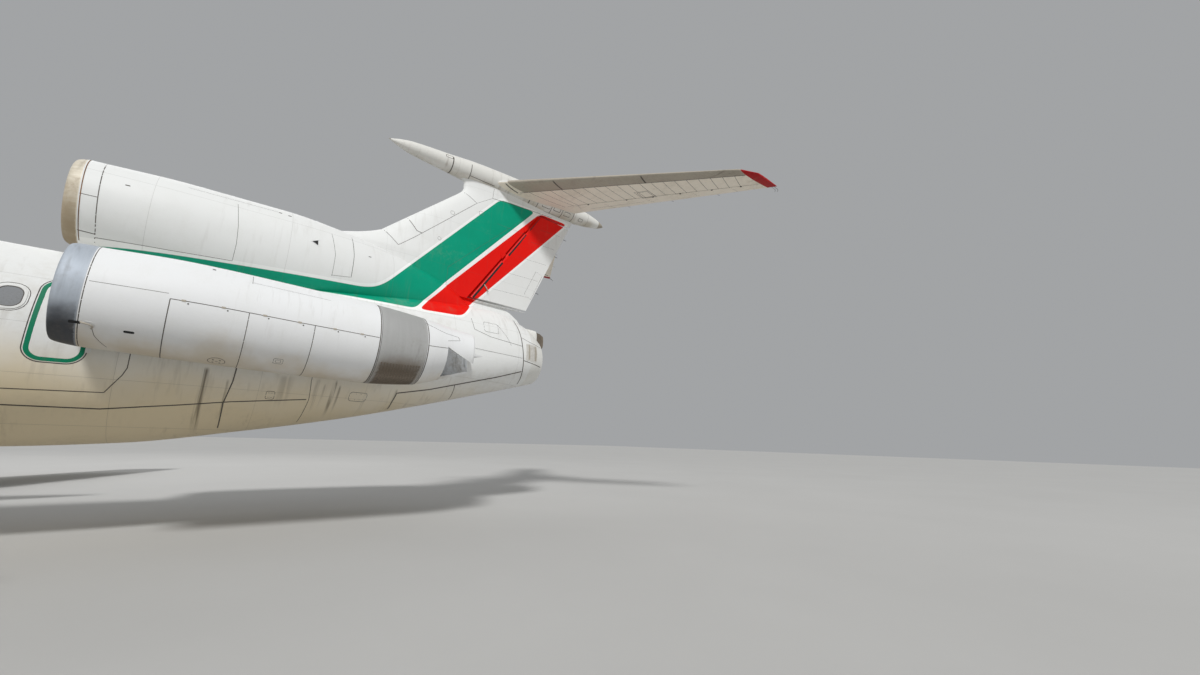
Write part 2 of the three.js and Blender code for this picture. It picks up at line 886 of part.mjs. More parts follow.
// Pylon between nacelle and fuselage. Columns: x, leading edge, trailing edge, height, thickness share.
const pylonRows = [
  [1250, 32700, 39900, 4290, 0.1],
  [2700, 33000, 39700, 4160, 0.1],
];

// Dorsal duct of the centre engine. Rows: station, bottom, top, height of the widest line, half width.
const ductRows = [
  [31740, 5660, 7520, 6590, 930],
  [33200, 5500, 7600, 6570, 1000],
  [35000, 5350, 7600, 6480, 1000],
  [36800, 5250, 7420, 6330, 920],
  [38200, 5250, 7100, 6120, 760],
  [39400, 5350, 6720, 5960, 570],
  [40500, 5500, 6000, 5800, 380],
];
const ductBoreRows = [
  [31500, 6590, 740],
  [33000, 6570, 790],
  [34600, 6400, 760],
];
const ductLipOuter = [
  [31500, 6600, 800],
  [31530, 6600, 850],
  [31600, 6598, 895],
  [31740, 6590, 930],
];
const ductLipBore = [
  [31500, 6600, 785],
  [31540, 6600, 755],
  [31620, 6597, 735],
  [31740, 6590, 745],
];
const centreEngine = { axis: 4690, radius: 720, front: 37300, rear: 41900 };
const tailNozzleBore = 560;

// Nose gear
const noseWheel = { radius: 400, width: 225, offset: 250, hub: 210 };
const noseAxle = { radius: 45, height: noseWheel.radius };
const noseLeg = { radius: 110, top: 2250, joint: 1180, strutRadius: 80 };
const noseWell = { length: 1300, width: 640, roof: noseLeg.top + seat };

// Main gear
const mainWheel = { radius: 465, width: 305, offset: 310, hub: 235 };
const axlePitch = 980;
const mainAxle = { radius: 55, height: mainWheel.radius };
const mainLeg = { radius: 130, top: 2000 };
const podWell = { length: 760, width: 420 };

// Two wheels on one axle along X, its centre at the origin. The flats of the tyre lie on its real circle,
// and it stands on one of them.
function wheelPair({ radius, width, offset, hub }, axleRadius) {
  const half = width / 2;
  const inner = 0.8 * axleRadius;
  const hubFace = half - 60;
  const halfStep = Math.PI / wheelSides;
  const corner = radius / Math.cos(halfStep);
  const profile = [
    [inner, -hubFace],
    [hub, -hubFace],
    [corner - 45, -half],
    [corner, -half + 80],
    [corner, half - 80],
    [corner - 45, half],
    [hub, hubFace],
    [inner, hubFace],
    [inner, -hubFace],
  ];
  const wheel = (side) => moved(turned(profile, wheelSides, "x", halfStep), side * offset, 0, 0);
  const axleReach = offset + half - 60;
  const axle = pin([-axleReach, 0, 0], [axleReach, 0, 0], axleRadius);
  return wheel(1).add(wheel(-1)).add(axle);
}

function noseStrut() {
  const { radius: axleRadius, height } = noseAxle;
  const y = noseGearStation;
  const boss = bar([-105, y, height], [105, y, height], 95, 95, 16);
  const leg = bar([0, y, height + 40], [0, y, noseLeg.joint - seat], noseLeg.strutRadius, undefined, 16);
  const collar = bar([0, y, noseLeg.joint - 160], [0, y, noseLeg.joint - seat], 130, 130, 16);
  const towLug = boxSolid([-60, y - 430, height - 60], [60, y, height + 60]);
  const linkUpper = bar([0, y + 100, noseLeg.joint - 120], [0, y + 330, 850], 32);
  const linkLower = bar([0, y + 330, 850], [0, y + 60, height + 60], 32);
  const bore = boreFor([-400, y, height], [400, y, height], axleRadius);
  return boss.add(leg).add(collar).add(towLug).add(linkUpper).add(linkLower).subtract(bore);
}

function noseLegFixed() {
  const y = noseGearStation;
  const leg = bar([0, y, noseLeg.joint], [0, y, noseLeg.top], noseLeg.radius, undefined, 16);
  const brace = bar([0, y, 1420], [0, y - 520, noseLeg.top], 50);
  const head = boxSolid([-200, y - 120, noseLeg.top - 160], [200, y + 120, noseLeg.top]);
  const trimmed = boxSolid([-1000, y - 2000, 0], [1000, y + 2000, noseLeg.top]);
  return leg.add(brace).add(head).intersect(trimmed);
}

function mainGear(pod) {
  const [x, y] = [podOffset, mainGearStation];
  const z = mainAxle.height;
  const beam = boxSolid([x - 85, y - axlePitch - 150, z - 95], [x + 85, y + axlePitch + 150, z + 95]);
  const leg = bar([x, y, z], [x, y, mainLeg.top], mainLeg.radius, undefined, 16);
  const brace = bar([x, y + 60, 1000], [x, y - 900, 1500], 60);
  const damper = bar([x, y + 60, 1150], [x, y + axlePitch - 120, z + 40], 50);
  let gear = beam.add(leg).add(brace).add(damper);
  for (const step of [-1, 0, 1]) {
    const station = y + step * axlePitch;
    gear = gear.subtract(boreFor([x - 500, station, z], [x + 500, station, z], mainAxle.radius));
  }
  return gear.subtract(pod);
}

function podWellBox(gap) {
  const half = podWell.width / 2 + gap;
  const reachHalf = podWell.length / 2 + gap;
  return boxSolid(
    [podOffset - half, mainGearStation - reachHalf, 0],
    [podOffset + half, mainGearStation + reachHalf, mainLeg.top + seat],
  );
}

// Flat pads for jacks
const jackPad = { radius: 90, depth: 70 };
const noseJackStation = 8200;
const wingJack = { x: 4300, share: 0.6 };

function padUnder(x, station, skinHeight) {
  const face = skinHeight - jackPad.depth;
  return bar([x, station, face], [x, station, skinHeight + 120], jackPad.radius, undefined, 16);
}

// Assembly
const airliner = new THREE.Group();
airliner.scale.setScalar(modelScale);
airliner.position.y = (-modelScale * overallLength) / 2;
const port = new THREE.Group();
const starboard = new THREE.Group();
starboard.scale.x = -1;
airliner.add(port, starboard);

function addPiece(name, solid, finish, parent = airliner) {
  const material = new THREE.MeshStandardMaterial({ ...finish, flatShading: true });
  const mesh = new THREE.Mesh(toGeometry(solid), material);
  mesh.name = name;
  parent.add(mesh);
  return mesh;
}

function withFittings(solid, fittings) {
  return fittings.reduce((whole, fitting) => whole.add(fitting), solid);
}

function addPair(name, solid, finish) {
  addPiece(`${name}_left`, solid, finish, port);
  addPiece(`${name}_right`, solid, finish, starboard);
}

// Fuselage pieces
const breaks = fuselageBreaks;
const wellBox = boxSolid(
  [-noseWell.width / 2, noseGearStation - noseWell.length / 2 - 250, 0],
  [noseWell.width / 2, noseGearStation + noseWell.length / 2 - 250, noseWell.roof],
);
const forwardBody = withDoors(fuselagePiece(breaks.cockpit, breaks.forward - seat))
  .add(padUnder(0, noseJackStation, cabinBottom))
  .subtract(wellBox);
const centreCutter = hull(fairingRows);
const { frame: cockpitFrame, glass } = cockpitParts();
addPiece("radome", fuselagePiece(0, breaks.radome), paint.white);
addPiece("cockpit_section", cockpitFrame.subtract(wellBox), paint.white);
addPiece("cockpit_glazing", glass, paint.glass);
addPiece("forward_fuselage", forwardBody, paint.white);
addPiece("centre_fuselage", fuselagePiece(breaks.forward, breaks.centre - seat), paint.white);
addPiece("aft_fuselage", withDoors(fuselagePiece(breaks.centre, breaks.aft - seat)), paint.white);
for (const door of doorRows) {
  addPiece(door.name, doorSolid(door), paint.white);
}
const engineBay = bar(
  [0, centreEngine.front - seat, centreEngine.axis],
  [0, breaks.end, centreEngine.axis],
  centreEngine.radius + seat,
  undefined,
  nacelleSides,
);
addPiece("tail_section", fuselagePiece(breaks.aft, breaks.tail - seat).subtract(engineBay), paint.white);
addPiece(
  "centre_engine",
  bar(
    [0, centreEngine.front, centreEngine.axis],
    [0, centreEngine.rear, centreEngine.axis],
    centreEngine.radius,
    undefined,
    nacelleSides,
  ),
  paint.darkMetal,
);
const nozzleHole = bar(
  [0, breaks.tail - 50, centreEngine.axis - 30],
  [0, breaks.end + 50, centreEngine.axis - 30],
  tailNozzleBore,
  undefined,
  nacelleSides,
);
addPiece("tail_nozzle", fuselagePiece(breaks.tail, breaks.end).subtract(nozzleHole), paint.bareMetal);
addPiece("wing_fairing", centreCutter.subtract(fuselageCutter), paint.belly);

// Wings
const wing = wingFoil();
const podShell = hull(podRows, 0, nacelleSides, podOffset);
const flapInner = flapParts(wing, flapSpans.inner, flapHinge.places.inner);
const flapOuter = flapParts(wing, flapSpans.outer, flapHinge.places.outer);
const aileron = aileronParts(wing);
const spoiler = spoilerParts(wing);
const wingJackPoint = wingPoint(wingJack.x, wingJack.share);
const fixedWing = [
  flapInner.bay,
  flapOuter.bay,
  aileron.bay,
  spoiler.bay,
  hull(fairingRows, seat),
  fuselageCutter,
].reduce((left, cutter) => left.subtract(cutter), wing);
const wingPad = padUnder(
  wingJack.x,
  wingJackPoint.point.y,
  wingJackPoint.point.z - wingJackPoint.half,
);
const wingFittings = [wingPad, ...aileron.pins, ...flapInner.brackets, ...flapOuter.brackets];
addPair("wing", withFittings(fixedWing, wingFittings), paint.white);
addPair("flap_inner", flapInner.surface, paint.white);
addPair("flap_outer", flapOuter.surface, paint.white);
addPair("aileron", aileron.surface, paint.white);
addPair("spoiler", spoiler.surface, paint.white);
const pod = podShell.subtract(wingFoil(seat)).subtract(podWellBox(0));
addPair("gear_pod", pod, paint.white);

// Tail
const tailplane = tailplaneFoil();
const elevatorLeft = elevatorParts(tailplane, 1);
const elevatorRight = elevatorParts(tailplane, -1);
const finWhole = finFoil();
const rudder = rudderParts(finWhole);
const bullet = hull(roundRows(bulletRows, bulletHeight), 0, nacelleSides);
const bulletCutter = hull(roundRows(bulletRows, bulletHeight), seat, nacelleSides);
const duct = hull(ductRows);
const finFixed = [rudder.bay, hull(ductRows, seat), fuselageCutter].reduce(
  (left, cutter) => left.subtract(cutter),
  finWhole,
);
addPiece("fin", withFittings(finFixed, rudder.pins).subtract(bulletCutter), paint.white);
addPiece("rudder", rudder.surface, paint.white);
addPiece("fin_bullet", bullet.subtract(tailplaneFoil(seat)), paint.white);
const stabilizer = tailplane.subtract(elevatorLeft.bay).subtract(elevatorRight.bay);
const elevatorPins = [...elevatorLeft.pins, ...elevatorRight.pins];
addPiece("stabilizer", withFittings(stabilizer, elevatorPins), paint.white);
addPiece("elevator_left", elevatorLeft.surface, paint.white);
addPiece("elevator_right", elevatorRight.surface, paint.white);

// Engines
const { cowl, band, lip } = nacelleParts();
const { solid: fanWheel, axisHeight: fanHeight } = fanSolid();
addPair("nacelle", cowl, paint.white);
addPair("reverser_band", band, paint.bareMetal);
addPair("intake_lip", lip, paint.bareMetal);
addPair("engine", engineSolid(), paint.darkMetal);
const pylon = loft(
  pylonRows.map(([x, leading, trailing, height, thickness]) =>
    foilRing(leading, trailing, thickness, (s, t) => new THREE.Vector3(x, s, height + t)),
  ),
);
addPair("pylon", pylon.subtract(fuselageCutter).subtract(nacelleHull(nacelleRows, seat)), paint.white);
for (const [name, parent] of [
  ["fan_left", port],
  ["fan_right", starboard],
]) {
  const mesh = addPiece(name, fanWheel, paint.darkMetal, parent);
  mesh.position.set(nacelleOffset, fan.station, fanHeight);
}
const ductBody = duct
  .subtract(fuselageCutter)
  .subtract(hull(ringRows(ductBoreRows), 0, nacelleSides));
addPiece("centre_intake_duct", ductBody, paint.white);
const ductLip = hull(
  ringRows(ductLipOuter.map((row, i) => (i === 3 ? [row[0] - seat, row[1], row[2]] : row))),
  0,
  hullSides,
).subtract(hull(ringRows(extended(ductLipBore)), 0, nacelleSides));
addPiece("centre_intake_lip", ductLip, paint.bronze);

// Landing gear
addPiece("nose_leg", noseLegFixed(), paint.strut);
addPiece("nose_steering_strut", noseStrut(), paint.strut);
const noseWheels = addPiece("nose_wheels", wheelPair(noseWheel, noseAxle.radius), paint.tyre);
noseWheels.position.set(0, noseGearStation, noseAxle.height);
const podCutter = hull(podRows, seat, nacelleSides, podOffset).subtract(podWellBox(-seat));
addPair("main_gear", mainGear(podCutter), paint.strut);
const mainPair = wheelPair(mainWheel, mainAxle.radius);
for (const [parent, side] of [
  [port, "left"],
  [starboard, "right"],
]) {
  for (const [step, place] of [
    [-1, "front"],
    [0, "middle"],
    [1, "rear"],
  ]) {
    const mesh = addPiece(`main_wheels_${side}_${place}`, mainPair, paint.tyre, parent);
    mesh.position.set(podOffset, mainGearStation + step * axlePitch, mainAxle.height);
  }
}

export default airliner;
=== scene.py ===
import math

import bmesh
import bpy
from mathutils import Matrix, Vector


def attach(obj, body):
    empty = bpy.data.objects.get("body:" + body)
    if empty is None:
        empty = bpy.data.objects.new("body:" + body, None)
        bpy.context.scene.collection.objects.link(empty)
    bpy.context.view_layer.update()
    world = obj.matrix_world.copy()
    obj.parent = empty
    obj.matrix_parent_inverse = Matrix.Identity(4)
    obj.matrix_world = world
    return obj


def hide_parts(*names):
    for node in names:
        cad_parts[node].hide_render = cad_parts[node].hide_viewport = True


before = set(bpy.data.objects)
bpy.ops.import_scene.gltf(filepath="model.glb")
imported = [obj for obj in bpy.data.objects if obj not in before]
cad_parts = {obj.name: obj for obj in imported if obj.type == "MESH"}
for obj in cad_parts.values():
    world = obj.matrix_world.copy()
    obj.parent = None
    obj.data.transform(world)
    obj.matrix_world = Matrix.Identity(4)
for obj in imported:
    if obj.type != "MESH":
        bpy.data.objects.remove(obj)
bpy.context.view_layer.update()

# Lengths are metres on the full-size aircraft: x to port, station aft from the nose tip, height from the ground.
# The model is half that size, with its origin halfway along, on the ground.
craft = {"length": 47.9, "seat": 0.0008, "running": 0.012, "smooth": 32, "round": 40}
scale, running, fixed, fixedPair = 0.5, craft["running"], "airframe", ("airframe", "airframe")
sideways, aftward, upward = Vector((1, 0, 0)), Vector((0, 1, 0)), Vector((0, 0, 1))


def at(x, station, height):
    return Vector((x, station - craft["length"] / 2, height)) * scale


# Curves through tables

def easedSlopes(knots, values):
    steps = [(b - a) / (d - c) for a, b, c, d in zip(values, values[1:], knots, knots[1:])]
    inner = [0.0 if a * b <= 0 else 2 * a * b / (a + b) for a, b in zip(steps, steps[1:])]
    return [steps[0], *inner, steps[-1]]


# Rows joined by a curve that never overshoots them; power under 1 makes the first end blunt
def curveThrough(rows, power=1.0):
    knots = [row[0] ** power for row in rows]
    columns = list(zip(*rows))[1:]
    slopes = [easedSlopes(knots, column) for column in columns]

    def rowAt(place):
        spot = min(max(place, rows[0][0]), rows[-1][0]) ** power
        high = next((i for i in range(1, len(knots)) if knots[i] >= spot), len(knots) - 1)
        gap = knots[high] - knots[high - 1]
        t = (spot - knots[high - 1]) / gap
        weights = (2 * t**3 - 3 * t**2 + 1, t**3 - 2 * t**2 + t, 3 * t**2 - 2 * t**3, t**3 - t**2)
        row = []
        for column, slope in zip(columns, slopes):
            parts = (column[high - 1], gap * slope[high - 1], column[high], gap * slope[high])
            row.append(sum(w * p for w, p in zip(weights, parts)))
        return row

    return rowAt


def straightThrough(rows):
    def rowAt(place):
        high = next((i for i in range(1, len(rows)) if rows[i][0] >= place), len(rows) - 1)
        low, top = rows[high - 1], rows[high]
        t = (place - low[0]) / (top[0] - low[0])
        return [a + t * (b - a) for a, b in zip(low[1:], top[1:])]

    return rowAt


def spread(start, end, step):
    count = max(1, math.ceil(abs(end - start) / step))
    return [start + (end - start) * i / count for i in range(count + 1)]


# A smooth line through points, with so many steps between each two
def smoothLine(points, steps):
    line = []
    for i in range(len(points) - 1):
        near = points[max(i - 1, 0)], points[i], points[i + 1], points[min(i + 2, len(points) - 1)]
        for t in [k / steps for k in range(steps)]:
            weights = (
                -0.5 * t + t**2 - 0.5 * t**3,
                1 - 2.5 * t**2 + 1.5 * t**3,
                0.5 * t + 2 * t**2 - 1.5 * t**3,
                -0.5 * t**2 + 0.5 * t**3,
            )
            line.append(tuple(sum(w * p[j] for w, p in zip(weights, near)) for j in range(len(near[0]))))
    return [*line, tuple(points[-1])]


def turnsOf(count, first=0.0):
    return [math.tau * (i + first) / count for i in range(count)]


# A skin of fuselage-like sections; rows hold station, bottom, top, height of the widest line, half width
def hullSkin(rows, power=1.0, offset=0.0):
    rowAt = curveThrough(rows, power)

    def bare(station, turn):
        bottom, top, widest, half = rowAt(station)
        rise = top - widest if math.sin(turn) > 0 else widest - bottom
        return Vector((offset + half * math.cos(turn), station, widest + rise * math.sin(turn)))

    def spot(station, turn, lift=0.0):
        point = bare(station, turn)
        if lift:
            along = bare(station + 0.01, turn) - bare(station - 0.01, turn)
            around = bare(station, turn + 0.01) - bare(station, turn - 0.01)
            point = point + along.cross(around).normalized() * lift
        return at(*point)

    def turnAt(station, height, side=1):
        bottom, top, widest, _ = rowAt(station)
        rise = top - widest if height > widest else widest - bottom
        turn = math.asin(max(-1.0, min(1.0, (height - widest) / rise)))
        return turn if side > 0 else math.pi - turn

    return spot, turnAt


def ringRows(rows):
    return [(station, axis - radius, axis + radius, axis, radius) for station, axis, radius in rows]


def ringAt(station, axis, radius, sides, x=0.0):
    return [at(x + radius * math.cos(a), station, axis + radius * math.sin(a)) for a in turnsOf(sides)]


def hullRings(spot, start, end, step, sides, lift=0.0):
    return [[spot(station, turn, lift) for turn in turnsOf(sides)] for station in spread(start, end, step)]


# Mesh building: a shape collects points and faces, and each face's material number

def newShape():
    return {"points": [], "faces": [], "marks": []}


def addFaces(shape, points, faces, marks):
    start = len(shape["points"])
    shape["points"].extend(points)
    shape["faces"].extend([tuple(start + i for i in face) for face in faces])
    shape["marks"].extend(marks)


def addShape(shape, other):
    addFaces(shape, other["points"], other["faces"], other["marks"])


def loftInto(shape, rings, mark=0, capStart=True, capEnd=True):
    count = len(rings[0])
    faces = []
    for r in range(len(rings) - 1):
        for i in range(count):
            j = (i + 1) % count
            faces.append((r * count + i, r * count + j, (r + 1) * count + j, (r + 1) * count + i))
    if capStart:
        faces.append(tuple(reversed(range(count))))
    if capEnd:
        faces.append(tuple((len(rings) - 1) * count + i for i in range(count)))
    addFaces(shape, [point for ring in rings for point in ring], faces, [mark] * len(faces))


# A loft without caps
def wallInto(shape, rings, mark=0):
    loftInto(shape, rings, mark, False, False)


# A profile of full-size (radius, along) turned about an axis through a point; a closed one has no caps
def turnInto(shape, profile, centre, axis, sides=48, mark=0, size=scale):
    axis = axis.normalized()
    side = axis.orthogonal().normalized()
    other = axis.cross(side)
    rings = []
    for radius, along in [(radius * size, along * size) for radius, along in profile]:
        foot = centre + axis * along
        rings.append([foot + (side * math.cos(a) + other * math.sin(a)) * radius for a in turnsOf(sides)])
    closed = profile[0] == profile[-1]
    loftInto(shape, rings, mark, not closed, not closed)


def rodInto(shape, start, end, radius, endRadius=None, sides=20, mark=0, ease=0.0):
    length = (end - start).length
    last = radius if endRadius is None else endRadius
    profile = [(radius, 0), (last, length)]
    if ease:
        profile = [(radius - ease, 0), (radius, ease), (last, length - ease), (last - ease, length)]
    turnInto(shape, profile, start, end - start, sides, mark, 1)


# A rod between two full-size places
def barInto(shape, start, end, radius, endRadius=None, sides=20, mark=0, ease=0.0):
    last = radius if endRadius is None else endRadius
    rodInto(shape, at(*start), at(*end), radius * scale, last * scale, sides, mark, ease)


# A rod that reaches as far to either side of a place
def crossInto(shape, place, reach, radius, sides=20, mark=0, ease=0.0):
    x, station, height = place
    barInto(shape, (x - reach, station, height), (x + reach, station, height), radius, None, sides, mark, ease)


def tubeInto(shape, path, radius, sides=10, mark=0):
    rings = []
    for i, point in enumerate(path):
        ahead = path[min(i + 1, len(path) - 1)] - path[max(i - 1, 0)]
        side = ahead.cross(Vector((0.13, 0.21, 0.97))).normalized()
        other = ahead.normalized().cross(side)
        rings.append([point + (side * math.cos(a) + other * math.sin(a)) * radius for a in turnsOf(sides)])
    loftInto(shape, rings, mark)


def blockInto(shape, low, high, ease=0.0, mark=0):
    low, high = at(*low), at(*high)
    work = bmesh.new()
    bmesh.ops.create_cube(work, size=1.0)
    size, middle = high - low, (low + high) / 2
    for vert in work.verts:
        vert.co = Vector((vert.co[i] * size[i] + middle[i] for i in range(3)))
    if ease:
        bmesh.ops.bevel(work, geom=work.edges[:], offset=ease, segments=3, affect="EDGES", profile=0.5)
    work.verts.index_update()
    faces = [tuple(v.index for v in face.verts) for face in work.faces]
    addFaces(shape, [vert.co.copy() for vert in work.verts], faces, [mark] * len(faces))
    work.free()


# Outlines in a skin's own two measures

def linePath(points, step=0.25):
    path = [points[0]]
    for (u, v), (nextU, nextV) in zip(points, points[1:]):
        count = max(1, math.ceil(math.hypot(nextU - u, nextV - v) / step))
        path += [(u + (nextU - u) * i / count, v + (nextV - v) * i / count) for i in range(1, count + 1)]
    return path


def closedPath(points, step):
    return linePath([*points, points[0]], step)[:-1]


def roundedOutline(u, v, width, height, corner, perCorner=6):
    outline = []
    right, top = u + width - corner, v + height - corner
    middles = [(right, v + corner, -90), (right, top, 0), (u + corner, top, 90), (u + corner, v + corner, 180)]
    for cu, cv, start in middles:
        for i in range(perCorner + 1):
            angle = math.radians(start + 90 * i / perCorner)
            outline.append((cu + corner * math.cos(angle), cv + corner * math.sin(angle)))
    # Long sides need points in between to follow a round skin
    return closedPath(outline, 0.13)


# A round outline about a place
def spotOutline(u, v, radius, perCorner=6):
    return roundedOutline(u - radius, v - radius, 2 * radius, 2 * radius, radius, perCorner)


# A sharp-cornered outline about a place
def squareOutline(u, v, along, across):
    return [(u - along, v - across), (u + along, v - across), (u + along, v + across), (u - along, v + across)]


def grownOutline(outline, grow):
    grown = []
    for i, (u, v) in enumerate(outline):
        before, after = outline[i - 1], outline[(i + 1) % len(outline)]
        along = Vector((after[0] - before[0], after[1] - before[1])).normalized()
        grown.append((u + along.y * grow, v - along.x * grow))
    return grown


# A plate that follows a skin, its rim turned down
def plateInto(shape, outline, place, lift=0.0, depth=0.01, rings=3, mark=0):
    count = len(outline)
    cu, cv = [sum(point[i] for point in outline) / count for i in (0, 1)]
    rows = [[place(u, v, lift - depth) for u, v in outline]]
    for share in [1 - k / rings for k in range(rings)]:
        rows.append([place(cu + share * (u - cu), cv + share * (v - cv), lift) for u, v in outline])
    wallInto(shape, rows, mark)
    base = len(shape["points"]) - count
    shape["points"].append(place(cu, cv, lift))
    shape["faces"] += [(base + i, base + (i + 1) % count, base + count) for i in range(count)]
    shape["marks"] += [mark] * count


# A raised frame along an outline on a skin
def frameInto(shape, outline, place, width, lift, mark=0, sink=0.004):
    edges = [(-width / 2, -sink), (-width * 0.38, lift), (width * 0.38, lift), (width / 2, -sink)]
    wallInto(shape, [[place(u, v, rise) for u, v in grownOutline(outline, grow)] for grow, rise in edges], mark)


# A thin strip along a path on a skin, for a seam or a joint; step cuts the path into short lengths first
def stripInto(shape, path, place, width, lift=0.0014, mark=0, step=None):
    path = linePath(path, step) if step else path
    left, right = [], []
    for i, (u, v) in enumerate(path):
        before, after = path[max(i - 1, 0)], path[min(i + 1, len(path) - 1)]
        along = Vector((after[0] - before[0], after[1] - before[1])).normalized()
        left.append(place(u + along.y * width / 2, v - along.x * width / 2, lift))
        right.append(place(u - along.y * width / 2, v + along.x * width / 2, lift))
    count = len(path)
    faces = [(i, i + 1, count + i + 1, count + i) for i in range(count - 1)]
    addFaces(shape, left + right, faces, [mark] * len(faces))


# A closed block between two levels of a skin, to cut a pocket with
def plugInto(shape, outline, place, top, floor):
    loftInto(shape, [[place(u, v, level) for u, v in outline] for level in (top, floor)])


# A mesh from a shape, with its finishes' names in one string
def meshOf(name, shape, names=""):
    mesh = bpy.data.meshes.new(name)
    mesh.from_pydata([tuple(point) for point in shape["points"]], [], shape["faces"])
    for finish in names.split():
        mesh.materials.append(finishes[finish])
    mesh.polygons.foreach_set("material_index", shape["marks"])
    work = bmesh.new()
    work.from_mesh(mesh)
    bmesh.ops.remove_doubles(work, verts=work.verts[:], dist=1e-6)
    bmesh.ops.recalc_face_normals(work, faces=work.faces[:])
    work.to_mesh(mesh)
    work.free()
    return mesh


def linked(name, data):
    piece = bpy.data.objects.new(name, data)
    bpy.context.collection.objects.link(piece)
    return piece


# Takes the mesh off a piece and removes the piece
def taken(piece):
    mesh = piece.data
    bpy.data.objects.remove(piece, do_unlink=True)
    return mesh


def combine(piece, other, operation="DIFFERENCE"):
    tool = linked("tool", meshOf("tool", other) if isinstance(other, dict) else other)
    modifier = piece.modifiers.new("combine", "BOOLEAN")
    modifier.operation = operation
    modifier.solver = "EXACT"
    modifier.object = tool
    graph = bpy.context.evaluated_depsgraph_get()
    done = bpy.data.meshes.new_from_object(piece.evaluated_get(graph))
    piece.modifiers.clear()
    piece.data = done
    bpy.data.objects.remove(tool, do_unlink=True)


# Attaches a finished piece to its body and hides the node that it stands for
def fit(name, source, finish, stands=(), angle=craft["smooth"], body=fixed):
    piece = source if isinstance(source, bpy.types.Object) else linked(name, source)
    piece.data.shade_smooth()
    piece.data.set_sharp_from_angle(angle=math.radians(angle))
    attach(piece, body)
    if stands:
        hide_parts(*stands)


def fitShape(name, shape, names, finish, stands=(), angle=craft["smooth"], body=fixed):
    fit(name, meshOf(name, shape, names), finish, stands, angle, body)


def mirroredShape(shape):
    points = [Vector((-p.x, p.y, p.z)) for p in shape["points"]]
    return {"points": points, "faces": [tuple(reversed(f)) for f in shape["faces"]], "marks": shape["marks"]}


def bothSides(shape):
    both = newShape()
    addShape(both, shape)
    addShape(both, mirroredShape(shape))
    return both


def mirroredMesh(mesh):
    twin = mesh.copy()
    twin.transform(Matrix.Scale(-1, 4, sideways))
    twin.flip_normals()
    return twin


# One piece for each side: the port one as built, the starboard one mirrored
def fitPair(name, source, finish, stand=None, angle=craft["smooth"], bodies=fixedPair):
    mesh = taken(source) if isinstance(source, bpy.types.Object) else source
    for side, body, sideMesh in zip(("left", "right"), bodies, (mesh, mirroredMesh(mesh))):
        title = name + side.capitalize()
        sideMesh.name = title
        fit(title, sideMesh, finish, [f"{stand}_{side}"] if stand else (), angle, body)


def fitShapes(name, shape, names, finish, stand=None, angle=craft["smooth"], bodies=fixedPair):
    fitPair(name, meshOf(name, shape, names), finish, stand, angle, bodies)


def bodiesOf(name):
    return f"{name}_left", f"{name}_right"


# Marks the faces of a piece whose middles lie in a full-size box
def markInside(piece, low, high, mark):
    low, high = at(*low), at(*high)
    for polygon in piece.data.polygons:
        if all(low[i] - 0.001 < polygon.center[i] < high[i] + 0.001 for i in range(3)):
            polygon.material_index = mark


# Shader building

def feed(tree, socket, value):
    if isinstance(value, bpy.types.NodeSocket):
        tree.links.new(value, socket)
    else:
        socket.default_value = (*value, 1) if socket.type == "RGBA" else value


def put(tree, kind, inputs=None, **settings):
    node = tree.nodes.new(kind)
    for key, value in settings.items():
        setattr(node, key, value)
    for key, value in (inputs or {}).items():
        feed(tree, node.inputs[key], value)
    return node


def sums(tree, operation, *values):
    return put(tree, "ShaderNodeMath", dict(enumerate(values)), operation=operation).outputs[0]


def plus(tree, first, second):
    return sums(tree, "ADD", first, second)


def minus(tree, first, second):
    return sums(tree, "SUBTRACT", first, second)


def times(tree, first, second):
    return sums(tree, "MULTIPLY", first, second)


def blend(tree, share, first, second):
    return put(tree, "ShaderNodeMix", {0: share, 6: first, 7: second}, data_type="RGBA").outputs[2]


def between(tree, value, low, high, toLow=0.0, toHigh=1.0):
    names = {"Value": value, "From Min": low, "From Max": high, "To Min": toLow, "To Max": toHigh}
    return put(tree, "ShaderNodeMapRange", names, interpolation_type="SMOOTHSTEP", clamp=True).outputs["Result"]


def cloud(tree, place, size, detail=4.0, roughness=0.55, stretch=(1, 1, 1)):
    mapped = put(tree, "ShaderNodeMapping", {"Vector": place, "Scale": stretch}).outputs[0]
    names = {"Vector": mapped, "Scale": size, "Detail": detail, "Roughness": roughness}
    return put(tree, "ShaderNodeTexNoise", names).outputs["Fac"]


def axesOf(tree, place):
    return put(tree, "ShaderNodeSeparateXYZ", {0: place}).outputs


# Inputs are socket names with their values; one without a value is a place
def startGroup(name, inputs, outputs):
    tree = bpy.data.node_groups.new(name, "ShaderNodeTree")
    for label, value in inputs.items():
        kind = "NodeSocketFloat" if isinstance(value, float) else "NodeSocketVector"
        socket = tree.interface.new_socket(label, in_out="INPUT", socket_type=kind)
        if value is not None:
            socket.default_value = value
    for label in outputs:
        tree.interface.new_socket(label, in_out="OUTPUT", socket_type="NodeSocketFloat")
    return tree, put(tree, "NodeGroupInput").outputs, put(tree, "NodeGroupOutput").inputs


# Patchy dirt: wide clouds broken up by a finer one
def buildGrime():
    tree, given, out = startGroup("grime", {"Place": None, "Scale": 1.0, "Amount": 0.5}, ["Mask"])
    scaled = put(tree, "ShaderNodeVectorMath", {0: given["Place"]}, operation="SCALE")
    feed(tree, scaled.inputs["Scale"], given["Scale"])
    wide = cloud(tree, scaled.outputs[0], 0.8, 5.0, 0.62)
    fine = cloud(tree, scaled.outputs[0], 9.0, 5.0, 0.7)
    both = sums(tree, "MULTIPLY_ADD", fine, 0.45, times(tree, wide, 0.75))
    low = minus(tree, 0.72, times(tree, given["Amount"], 0.3))
    mask = between(tree, both, low, plus(tree, low, 0.22))
    feed(tree, out["Mask"], times(tree, mask, given["Amount"]))
    return tree


